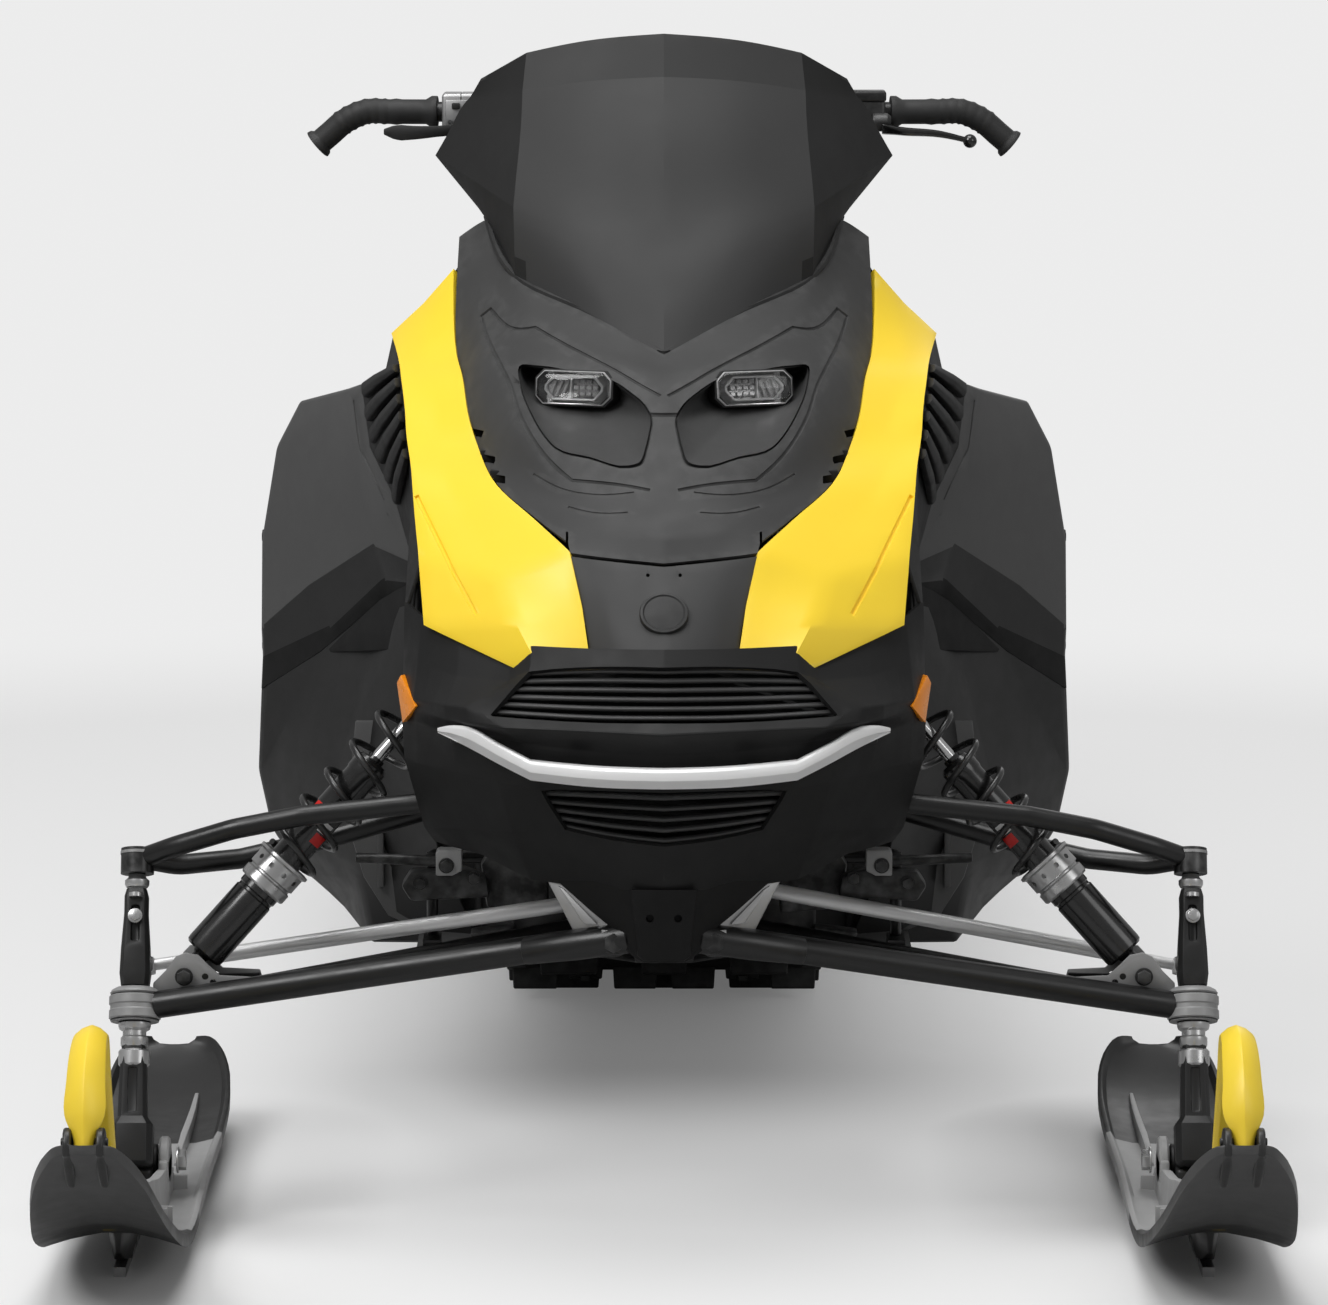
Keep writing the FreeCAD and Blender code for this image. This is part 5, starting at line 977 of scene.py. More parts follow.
def make_bumper_bar():
    """The silver bar across the nose: a bright upper face over a shaded lower one."""
    stations = ((0, -196, 490.4, 511, 19), (60, -190, 491, 512, 19), (131, -160, 493.5, 514, 18),
                (163, -137, 506, 527.5, 15), (194, -112, 519, 540.5, 12), (208, -99, 524.5, 540, 8),
                (225, -75, 529, 534, 5))
    sections = []
    for x, station, low, high, deep in stations:
        tall = high - low
        sections.append([at(x, station + 3, high), at(x, station, high - tall * 0.12),
                         at(x, station - 2, high - tall * 0.5), at(x, station + 1, high - tall * 0.62),
                         at(x, station + 7, low + tall * 0.04), at(x, station + deep - 2, low),
                         at(x, station + deep, low + tall * 0.2), at(x, station + deep, high - tall * 0.15),
                         at(x, station + deep - 3, high)])
    left = across_rows(sections, 4, (2,))
    right = [[on_side(-1, p) for p in section] for section in reversed(left[1:])]
    bar = loft(right + left)
    bevelled(bar, 1.0 * MM, 2, 20.0)
    finished(bar, "front_bumper_bar", silver_paint, slot="bare_aluminium", stands_for=("front_bumper",),
             smooth=30)
    mounts = []
    for side in SIDES:
        mounts.append(box(at(side * 90 - 9, -172, 497), at(side * 90 + 9, -146, 511), 2.0))
        mounts.append(box(at(side * 205 - 7, -84, 520), at(side * 205 + 7, -50, 529), 2.0))
    finished(joined(mounts), "bumper_stays", black_trim, slot="black_trim")


def make_windshield():
    """The screen with its rubber seal; its sides that turn away take a darker tint as painted shade."""
    screen = panel(SCREEN, 7, 5, sharp_columns=(2,), sharp_rows=(2, 5))
    walled(screen, 4 * MM)
    slot = landed(surface_of(screen), dense(((-25, 888), (-12, 885), (0, 884), (12, 885), (25, 888)), 4))
    cut(screen, [tube(slot, 2.0, 8)])
    bevelled(screen, 1.6 * MM, 3, 45.0)
    seal = smooth_line([p + Vector((0, 7, 2)) * MM for p in table(SCREEN)[0]], 6)
    finished(tube(whole_line(seal), 4.5, 8), "windshield_seal", flap_rubber, slot="black_trim")
    for material in (smoked_screen, smoked_screen_painted_shade):
        screen.data.materials.append(material)
    # faces beyond the crease that turn away sideways take the darker copy: painted shade
    for face in screen.data.polygons:
        turned_away = abs(face.normal.x) > 1.15 * abs(face.normal.y)
        face.material_index = int(turned_away and abs(face.center.x) > SCREEN_CREASE)
    finished(screen, "windshield_screen", None, slot="smoked_screen", stands_for=("windshield",), smooth=11)


# ------------------------------------------------------------------ side panels, vents and small cowl pieces
CORNERS = {
    "front_top": (325, 462, 825), "front_high": (315, 436, 760), "front_mid": (286, 390, 708),
    "front_low": (266, 342, 648),
    "mid_top": (342, 480, 818), "mid": (327, 440, 734), "rim": (396, 560, 797), "outer_high": (423, 574, 744),
    "outer": (441, 590, 640), "crease_in": (309, 405, 658), "crease_mid": (384, 506, 600),
    "crease_out": (441, 567, 545), "band_in": (298, 400, 622), "band_mid": (360, 482, 556),
    "band_out": (440, 568, 514), "low_start": (262, 340, 626), "low_in": (298, 414, 601),
    "low_mid": (373, 502, 529), "low_out": (442, 569, 478), "rear_top": (372, 800, 775),
    "rear_high": (418, 800, 740), "rear_mid": (443, 800, 640), "rear_low": (443, 800, 506),
    "rear_end": (443, 800, 478), "tank_top": (214, 900, 800), "tank_mid": (214, 900, 640),
    "tank_low": (214, 880, 482), "dash_front": (289, 440, 879), "dash_mid": (276, 620, 865),
    "dash_back": (262, 800, 850), "cheek_mid": (302, 600, 796), "cheek_back": (290, 800, 780),
    "well_side": (262, 300, 469), "well_in": (240, 330, 340), "well_floor": (197, 380, 228),
    "well_mid": (352, 450, 400), "well_low": (330, 432, 300), "hip": (449, 602, 383),
    "hip_low": (434, 594, 317),
    "toe": (401, 580, 274), "toe_low": (344, 540, 237), "toe_in": (317, 420, 221),
    "hip_back": (440, 730, 383),
    "hip_low_back": (430, 730, 320), "toe_back": (401, 730, 282), "toe_low_back": (344, 730, 262),
    "floor_back": (212, 730, 262), "shoulder_c": (246, 45, 687), "shoulder_d": (257, 140, 758),
    "shoulder_e": (265, 215, 791), "shoulder_f": (268, 250, 812), "shoulder_g": (275, 320, 843),
    "shoulder_h": (279, 365, 857), "notch": (299, 452, 836), "fascia_top": (262, 45, 636),
}
SIDE_FACES = (
    "front_top front_high mid mid_top", "front_high front_mid mid", "mid_top mid outer_high rim",
    "front_mid front_low crease_in mid",
    "mid crease_in crease_mid outer", "mid outer outer_high", "crease_mid crease_out outer",
    "front_low low_start band_in crease_in", "low_start low_in band_in",
    "crease_in band_in band_mid crease_mid",
    "crease_mid band_mid band_out crease_out", "band_in low_in low_mid band_mid",
    "band_mid low_mid low_out band_out", "rim outer_high rear_high rear_top",
    "outer_high outer rear_mid rear_high", "outer crease_out rear_low rear_mid",
    "crease_out band_out low_out rear_end rear_low", "front_top mid_top cheek_mid", "mid_top rim cheek_mid",
    "rim rear_top cheek_back cheek_mid", "front_top cheek_mid dash_mid dash_front notch",
    "cheek_mid cheek_back dash_back dash_mid", "rear_top tank_top cheek_back",
    "cheek_back tank_top dash_back",
    "rear_top rear_high tank_mid tank_top", "rear_high rear_mid tank_mid",
    "rear_mid rear_low tank_low tank_mid",
    "rear_low rear_end tank_low")
LOWER_FACES = (
    "low_start well_side well_mid low_in", "low_in well_mid low_mid", "low_mid well_mid hip low_out",
    "well_side well_in well_low well_mid", "well_mid well_low hip_low hip", "well_low toe hip_low",
    "well_in well_floor toe_in well_low", "well_low toe_in toe_low toe", "low_out hip hip_back rear_end",
    "hip hip_low hip_low_back hip_back", "hip_low toe toe_back hip_low_back",
    "toe toe_low toe_low_back toe_back",
    "toe_low toe_in floor_back toe_low_back", "toe_in well_floor floor_back")
VENT_FACES = (
    "dash_front shoulder_h notch", "shoulder_h front_top notch", "shoulder_h shoulder_g front_high front_top",
    "shoulder_g shoulder_f front_high", "shoulder_f shoulder_e front_mid front_high",
    "shoulder_e shoulder_d front_low front_mid",
    "shoulder_d shoulder_c fascia_top front_low")


def spot(name):
    """The place of a named corner."""
    return at(*CORNERS[name])


def faceted(faces, finishes=()):
    """A sheet of flat facets between named corners on the left-hand side, and the finish of each."""
    words = [face.split() for face in faces]
    names = sorted({name for face in words for name in face})
    mesh = bpy.data.meshes.new("facets")
    mesh.from_pydata([spot(name) for name in names], [], [[names.index(n) for n in face] for face in words])
    piece = bpy.data.objects.new("facets", mesh)
    bpy.context.scene.collection.objects.link(piece)
    for index, face in enumerate(mesh.polygons):
        face.material_index = finishes[index] if finishes else 0
    edit(piece)
    bpy.ops.mesh.select_all(action="SELECT")
    bpy.ops.mesh.normals_make_consistent(inside=False)
    leave()
    return facing(piece, Vector((1, -1, 0)))


def along_edge(names, count):
    """Evenly spaced points along a line of named corners."""
    points = [spot(name) for name in names]
    runs = [(b - a).length for a, b in zip(points, points[1:])]
    total = sum(runs)
    found = []
    for index in range(count):
        left = total * index / (count - 1)
        for a, b, run in zip(points, points[1:], runs):
            if left <= run + 1e-9:
                found.append(mixed(a, b, left / run))
                break
            left -= run
    return found


def make_side_panels():
    """The side panels with a seam behind their front edge, four louvres and their fasteners; their black
    strip and blocks are painted shade.
    """
    # the low strip from the band line down to the low edge takes the near-black finish: painted shade under
    # the lip
    side = faceted(SIDE_FACES, (0,) * 7 + (1, 2, 1, 1, 2, 2) + (0,) * (len(SIDE_FACES) - 13))
    for material in (side_panel, dark_panel, painted_shade_black):
        side.data.materials.append(material)
    bevelled(side, 5 * MM, 3, 8.0)
    tree = surface_of(side)
    walled(side, 4 * MM)
    inset = Vector((10, 12, -2)) * MM
    line = [point + inset for point in along_edge(("front_top", "front_high", "front_mid"), 9)[1:]]
    cut(side, [tube([tree.find_nearest(point)[0] for point in line], 1.3, 6)])
    slots = []
    louvre_shade_backs = []
    for index in range(4):
        low = at(430, 640 + index * 34, 560)
        slots.append(box(low, low + Vector((40, 9, 96)) * MM, 3.0))
        # black blocks behind the louvre slots: painted shade in the slots
        low = at(424, 636 + index * 34, 556)
        louvre_shade_backs.append(box(low, low + Vector((8, 17, 104)) * MM, 1.0))
    cut(side, slots)
    bevelled(side, 1.2 * MM, 2, 50.0)
    pair_of([side], "side_panel_skins", None, "black_panel", ("side_panels",), 25)
    profile = ((0, 1.6), (4.5, 1.6), (5.2, 0.8), (7.4, 1.1), (8, 0.4), (8, -3))
    buttons = [turned(profile, at(x, station, z), OUT, 20) for x, station, z in
               ((441.2, 620, 640), (442.8, 770, 640), (443.0, 770, 520), (442.0, 620, 520))]
    pair_of(louvre_shade_backs, "side_louvre_painted_shade_backs", painted_shade_black, "black_trim")
    pair_of(buttons, "side_fasteners", black_trim, "black_trim")


def make_lower_side():
    """The lower side panels, and black sheets of painted shade in the pockets at their front corners."""
    lower = faceted(LOWER_FACES)
    bevelled(lower, 9 * MM, 3, 8.0)
    walled(lower, 4 * MM)
    bevelled(lower, 1.2 * MM, 2, 50.0)
    pair_of([lower], "lower_side_skins", dark_panel, "black_panel", ("lower_side_panels",), 25)
    upper = [at(*p) for p in ((262, 338, 628), (284, 384, 612), (303, 416, 597), (331, 452, 568),
                              (362, 488, 534))]
    shaded_underside = [at(*p) for p in ((265, 337, 585), (270, 350, 560), (282, 366, 551), (318, 424, 541),
                              (360, 486, 531))]
    push = Vector((1.6, -1.6, 0)) * MM
    rows = [[p + push for p in line] for line in (upper, [mixed(a, b, 0.5) for a, b in zip(upper, shaded_underside)],
                                                  shaded_underside)]
    # a black sheet set in the pocket: painted shade
    pocket = facing(sheet_of(rows), Vector((1, -1, 0)))
    walled(pocket, 3 * MM)
    bevelled(pocket, 0.8 * MM)
    pair_of([pocket], "side_pocket_painted_shade", painted_shade_black, "black_trim")


def make_vents():
    """The gill strip between the yellow shoulder and the side panel."""
    strip = faceted(VENT_FACES)
    walled(strip, 4 * MM)
    bevelled(strip, 1.0 * MM, 2, 40.0)
    pair_of([strip], "side_vent_skins", black_trim, "black_trim", ("side_vents",))
    inner = along_edge(("shoulder_h", "shoulder_g", "shoulder_f", "shoulder_e", "shoulder_d"), 8)
    outer = along_edge(("front_top", "front_high", "front_mid", "front_low"), 9)
    out = Vector((7, -13, 2)) * MM
    into = Vector((0, 6, 0)) * MM
    gills = []
    for index in range(6):
        rings = []
        for share, fat in ((0.03, 0.8), (0.5, 1.0), (0.88, 0.7)):
            top, low = (mixed(inner[i], outer[i], share) for i in (index, index + 1))
            rings.append([mixed(top, low, down) + push for down, push in
                          ((0.08, into), (0.12, out * fat), (0.5, out * fat * 1.25), (0.72, out * fat * 0.9),
                           (0.78, into))])
        gills.append(bevelled(loft(rings), 2.0 * MM, 2, 30.0))
    pair_of(gills, "side_vent_gills", black_trim, "black_trim")


def make_reflectors():
    """An amber reflector at each front corner."""
    outline = [at(262, 30, 573), at(245, -24, 549), at(260, 18, 526), at(266.5, 38, 564)]
    push = Vector((5.0, -9.0, 0)) * MM
    lens = loft([[p - push * 0.8 for p in outline], [p + push * 0.7 for p in outline]])
    bevelled(lens, 1.0 * MM, 2, 40.0)
    pair_of([lens], "amber_reflectors", amber_lens, "lamp_lens", ("side_reflectors",))


# ------------------------------------------------------------------ shock absorbers
SHOCK_FOOT = at(487, 50, 264)
SHOCK_TOP = at(205, 112, 574)
SHOCK_LINE = (SHOCK_TOP - SHOCK_FOOT).normalized()
SHOCK_LENGTH = (SHOCK_TOP - SHOCK_FOOT).length / MM
COLLAR_LOW, COLLAR_HIGH = 0.275 * SHOCK_LENGTH, 0.35 * SHOCK_LENGTH
BODY_HIGH = 0.68 * SHOCK_LENGTH
SPRING_HIGH = 0.90 * SHOCK_LENGTH


def evenly_from(first, last, count):
    """Evenly spaced numbers, with both ends."""
    return [first + (last - first) * index / (count - 1) for index in range(count)]


def make_shocks():
    """Shock bodies with their eyes, pierced collars, bright rods and coloured bands."""
    def spun(*profile):
        return turned(profile, SHOCK_FOOT, SHOCK_LINE, 40)
    low, high = COLLAR_LOW, COLLAR_HIGH
    reservoir = spun((0, 22), (9, 22), (10, 24), (19, 25), (21.6, 27.5), (22, 31), (22, low - 14),
                     (20.6, low - 12.5),
                     (20.6, low - 10), (22, low - 8.5), (22, low - 1), (18, low), (0, low))
    body = spun((0, high - 4), (17.5, high - 3), (17.5, BODY_HIGH - 22), (18.6, BODY_HIGH - 20),
                (18.6, BODY_HIGH - 6),
                (15, BODY_HIGH - 1), (9.5, BODY_HIGH), (9, BODY_HIGH + 4), (0, BODY_HIGH + 4))
    seat = spun((0, SPRING_HIGH), (8, SPRING_HIGH), (28, SPRING_HIGH), (33, SPRING_HIGH + 2),
                (33, SPRING_HIGH + 7),
                (26, SPRING_HIGH + 10), (11, SPRING_HIGH + 12), (10, SPRING_HIGH + 18), (0, SPRING_HIGH + 18))
    side = OUT.cross(SHOCK_LINE).normalized()
    eyes = [turned(((6, -14), (12, -14), (14, -12), (14, 12), (12, 14), (6, 14), (6, -14)), end, BACK, 32)
            for end in (SHOCK_FOOT, SHOCK_TOP)]
    neck = spun((0, 6), (8, 8), (8, 20), (11, 26), (0, 26))
    head = spun((0, SPRING_HIGH + 16), (10, SPRING_HIGH + 16), (9, SHOCK_LENGTH - 8), (0, SHOCK_LENGTH - 6))
    pair_of([reservoir, body, seat, neck, head] + eyes, "shock_bodies", shock_black, "coated_steel",
            ("shock_absorbers",), 30)
    collar = spun((18, low - 3), (25.5, low - 2), (27, low), (27, low + 9), (24.5, low + 10.5),
                  (24.5, low + 12),
                  (27, low + 13.5), (27, high - 2), (30, high), (30, high + 3), (26, high + 4),
                  (18, high + 4),
                  (18, low - 3))
    holes = []
    for index in range(10):
        turn = Matrix.Rotation(math.radians(36 * index + 12), 4, SHOCK_LINE)
        ray = turn @ side
        middle = SHOCK_FOOT + SHOCK_LINE * (high - 9) * MM
        holes.append(rod(middle + ray * 21 * MM, middle + ray * 31 * MM, 2.8, 0, 12))
    cut(collar, holes)
    pair_of([collar], "shock_collars", zinc_steel, "bare_aluminium", (), 30)
    piston = spun((0, BODY_HIGH), (6.8, BODY_HIGH), (6.8, SPRING_HIGH + 4), (0, SPRING_HIGH + 4))
    pair_of([piston], "shock_rods", polished_rod, "bare_aluminium")
    front = (FORWARD - SHOCK_LINE * FORWARD.dot(SHOCK_LINE)).normalized()
    inward = SHOCK_LINE.cross(front)
    if inward.x > 0:
        inward = -inward

    def patch(start, end, first, last):
        rings = []
        for along in (high + start, high + end):
            middle = SHOCK_FOOT + SHOCK_LINE * along * MM
            rays = [front * math.cos(math.radians(a)) + inward * math.sin(math.radians(a))
                    for a in evenly_from(first, last, 9)]
            rings.append([middle + ray * 17.9 * MM for ray in rays]
                         + [middle + ray * 16.8 * MM for ray in rays[::-1]])
        return loft(rings)
    pair_of([patch(34, 46, 12, 62), patch(62, 72, -68, -28)], "shock_bands_red", band_red, "coated_steel")
    pair_of([patch(48, 54, 5, 58), patch(56, 60, -30, 50)], "shock_bands_white", band_white, "coated_steel")


def make_springs():
    """A wire coil with close turns on the collar and open ones above."""
    turns, count = 6.4, 190
    low, high = COLLAR_HIGH + 8, SPRING_HIGH - 5
    base = frame_on(SHOCK_FOOT, SHOCK_LINE)
    points = []
    for index in range(count):
        share = index / (count - 1)
        angle = 2 * math.pi * turns * share + 0.6
        climb = min(max((share - 0.04) / 0.92, 0.0), 1.0)
        height = low + (high - low) * climb ** 1.08
        points.append(base @ (Vector((29.5 * math.cos(angle), 29.5 * math.sin(angle), height)) * MM))
    coil = tube(points, 3.6, 12)
    pair_of([coil], "shock_coils", spring_wire, "coated_steel", ("shock_springs",), 60)


# ------------------------------------------------------------------ spindles
SKI_CENTRE = 538.5
SADDLE_BOLT = 79.0
LOWER_BALL = at(537, 20, 232)
UPPER_BALL = LOWER_BALL + KINGPIN * 150 * MM
TIE_PIN = LOWER_BALL + KINGPIN * 57 * MM + ARM_LINE * 90 * MM


def make_spindle_parts(hand, side):
    """The casting with its steering arm, the lower ball joint and the bright bolts."""
    body = "spindle_body_" + hand
    front = -ARM_LINE
    levels = ((-163, 17, 17, 15), (-158, 21, 21, 18), (-120, 21, 20, 18), (-112, 15, 15, 14),
              (-60, 13.5, 14, 12),
              (-40, 12, 12, 11), (-36, 9, 9, 9), (20, 9, 9, 9), (22, 14, 16, 12), (34, 15.5, 18, 13),
              (60, 14.5, 17, 12),
              (96, 12, 14, 11), (114, 12, 13, 11), (122, 10, 10, 9))
    rings = []
    for level, wide, fore, aft in levels:
        centre = LOWER_BALL + KINGPIN * level * MM
        rings.append([centre + (OUT * x * wide + front * y) * MM for x, y in
                      ((-0.72, fore), (0.72, fore), (1, fore * 0.6), (1, -aft * 0.6), (0.72, -aft),
                       (-0.72, -aft),
                       (-1, -aft * 0.6), (-1, fore * 0.6))])
    leg = loft(rings)
    pockets = [block((-4.5, 9, 66), (4.5, 30, 104), 3.0, 3), block((-5, 12.5, -108), (5, 30, -62), 2.0, 2)]
    for pocket in pockets:
        pocket.data.transform(frame_on(LOWER_BALL, KINGPIN, OUT) @ Matrix.Rotation(math.pi, 4, "Z"))
    cut(leg, pockets)
    bevelled(leg, 2.2 * MM, 3, 28.0)
    arm = loft([[LOWER_BALL + KINGPIN * (57 + up) * MM + ARM_LINE * along * MM + OUT * x * MM for x, up in
                 ((-w, -h), (w, -h), (w, h), (-w, h))] for along, w, h in ((4, 13, 11), (40, 10, 8),
                                                                           (76, 11, 7), (100, 8, 6))])
    bevelled(arm, 2.5 * MM, 2, 30.0)
    cross = rod(at(SKI_CENTRE - 25, 0, SADDLE_BOLT), at(SKI_CENTRE + 25, 0, SADDLE_BOLT), 17.0, 2.0, 32)
    saddle = box(at(SKI_CENTRE - 21, -40, 62), at(SKI_CENTRE + 21, 30, 78), 4.0, 3)
    finished(handed([leg, arm, cross, saddle], side), "spindle_casting_" + hand, black_steel, body,
             "black_steel",
             ("spindle_" + hand,), 35)
    knuckle = [turned(((8, -40), (13, -40), (14, -38), (14, -31), (12, -29), (12, -24), (15.5, -22),
                       (16.5, -19),
                       (16.5, -16), (13, -14.5), (8, -14.5), (8, -40)), LOWER_BALL, KINGPIN, 36),
               turned(((8, -60), (14.5, -60), (16, -58), (16, -45), (14.5, -43), (8, -43), (8, -60)),
                      LOWER_BALL,
                      KINGPIN, 36)]
    finished(handed(knuckle, side), "spindle_ball_joint_" + hand, zinc_steel, body, "bare_aluminium")
    bright = [turned(((0, 124), (11, 124), (12.5, 127), (12.5, 131), (9.5, 133.5), (8.4, 137), (0, 138)),
                     LOWER_BALL,
                     KINGPIN, 28),
              turned(((0, 112), (7, 112), (7, 116), (0, 118)), LOWER_BALL + front * 14 * MM, KINGPIN, 20),
              hexagon(LOWER_BALL + KINGPIN * 92 * MM + front * 17.5 * MM, front, 12, 5),
              hexagon(TIE_PIN + KINGPIN * 8 * MM, KINGPIN, 17, 8)]
    for way in SIDES:
        bright.append(hexagon(at(SKI_CENTRE + way * 44.5, 0, SADDLE_BOLT), OUT * way, 22, 9))
    finished(handed(bright, side), "spindle_bolts_" + hand, zinc_steel, body, "bare_aluminium")


def make_arm_details():
    """Rings round the eyes of the suspension arms, and the bolts of their pivots and of the shocks."""
    rings = [turned(profile, ball, KINGPIN, steps) for profile, ball, steps in (
        (((16.4, 13.2), (24, 13.2), (25.5, 15), (23.5, 18), (19, 20.5), (16.6, 20.5)), LOWER_BALL, 36),
        (((16.4, -13.2), (24, -13.2), (24.6, -14.2), (16.4, -14.4)), LOWER_BALL, 36),
        (((0, 14.2), (9, 14.2), (13.5, 13.4), (14, 11.5), (17.6, 11), (17.6, 8)), UPPER_BALL, 32),
        (((24.4, -12.6), (26.4, -11), (26.4, -3.5), (25.2, -2), (25.2, 2), (26.4, 3.5), (26.4, 11),
          (24.4, 12.6),
          (24.4, -12.6)), LOWER_BALL, 36))]
    pair_of(rings, "arm_eye_rings", grey_steel, "coated_steel")
    pivots = ((at(50, -70, 322), 20), (at(75, 202, 283), 18), (at(150, 32, 451), 18), (at(150, 195, 435), 18))
    bolts = [end_bolt(pivot, way * 26.5, width, 7) for pivot, width in pivots for way in SIDES]
    bolts += [end_bolt(SHOCK_FOOT, step, 15, 6) for step in (-28.5, 26.5)]
    bolts += [end_bolt(SHOCK_TOP, step, 17, 6) for step in (-14.5, 14.5)]
    pair_of(bolts, "arm_bolts", black_steel, "coated_steel")


# ------------------------------------------------------------------ skis
SKI_SECTIONS = (
    (-540, 16, 2), (-534, 27, 1), (-520, 37, -2), (-490, 50, -7), (-440, 60, -14), (-400, 64, -16),
    (-330, 69, -17),
    (-240, 70, -16), (-150, 70, -14), (-60, 70, -6), (0, 70, 0), (100, 70, 6), (350, 70, 8), (430, 68, 8),
    (480, 63, 8),
    (510, 53, 8), (524, 42, 8), (530, 26, 8))
SOLE = 30.0
SHOVEL_END, HEEL_START = -318, 300


def sole_height(station):
    """Height of the sole: flat in the middle, with arcs up to the tip and the tail."""
    for start, radius in ((0.0, 916.0), (350.0, 349.0)):
        run = (start - station) if start < 1 else (station - start)
        if run > 0:
            return SOLE + radius - math.sqrt(radius * radius - run * run)
    return SOLE


def ski_ring(station, half, lift):
    """One cross-section of a ski: a dished sole, raised rims and a flat deck."""
    low, skin = sole_height(station), 9.0
    rim = 13.0 if half > 40 else 13.0 * half / 40
    a, b, c = (0.06, 0.45, 0.78) if lift < 0 else (0.0, 0.12, 0.55)
    sole = ((-1.0, lift), (-0.86, lift * c), (-0.62, lift * b), (-0.2, lift * a), (0.2, lift * a),
            (0.62, lift * b),
            (0.86, lift * c), (1.0, lift))
    deck = ((1.0, lift + rim), (0.93, lift + rim + 1.5), (0.86, lift * c + skin + 1.0),
            (0.6, lift * b + skin),
            (0.2, lift * a + skin))
    flat = sole + deck + tuple((-share, rise) for share, rise in reversed(deck))
    return [at(SKI_CENTRE + share * half, station, low + rise) for share, rise in flat]


def ski_rib(x, rows, foot, base, edge):
    """A rib along the ski from (station, half width, height) rows; its foot is wider and lies in the deck."""
    rib = swept(rows, lambda s, w, h: trapezium(SKI_CENTRE + x, s, w * foot, w, sole_height(s) + base,
                                                sole_height(s) + h))
    return bevelled(rib, edge * MM)


# the grab loop: station, height, half width, half thickness, and how far its ridge stands out
LOOP = ((-531, 203, 8, 6, 2), (-526, 219, 10.5, 6.5, 3), (-517, 238, 19, 6, 9), (-500, 266, 18.5, 6.5, 11),
        (-480, 286, 17.5, 7.5, 8), (-450, 297, 16, 9, 3), (-418, 290, 15, 8.5, 3), (-388, 252, 13.5, 8, 2),
        (-330, 166, 12, 7.5, 2), (-274, 76, 11, 7, 1))


def loop_rings():
    """The grab loop's sections, square to its path and ridged on the outside."""
    middles = [at(SKI_CENTRE, s, z) for s, z, *_ in LOOP]
    rings = []
    for index, (s, z, wide, thick, ridge) in enumerate(LOOP):
        along = (middles[min(index + 1, len(LOOP) - 1)] - middles[max(index - 1, 0)]).normalized()
        outward = Vector((0, -along.z, along.y))
        if outward.dot(middles[index] - at(SKI_CENTRE, -410, 180)) < 0:
            outward = -outward
        shoulder = thick * 0.8 + ridge * 0.5
        rings.append([middles[index] + OUT * a * wide * MM + outward * b * MM for a, b in
                      ((-1, thick * 0.25), (-0.52, shoulder), (0, thick + ridge), (0.52, shoulder),
                       (1, thick * 0.25), (0.95, -thick * 0.5), (0.6, -thick), (-0.6, -thick),
                       (-0.95, -thick * 0.5))])
    return rings


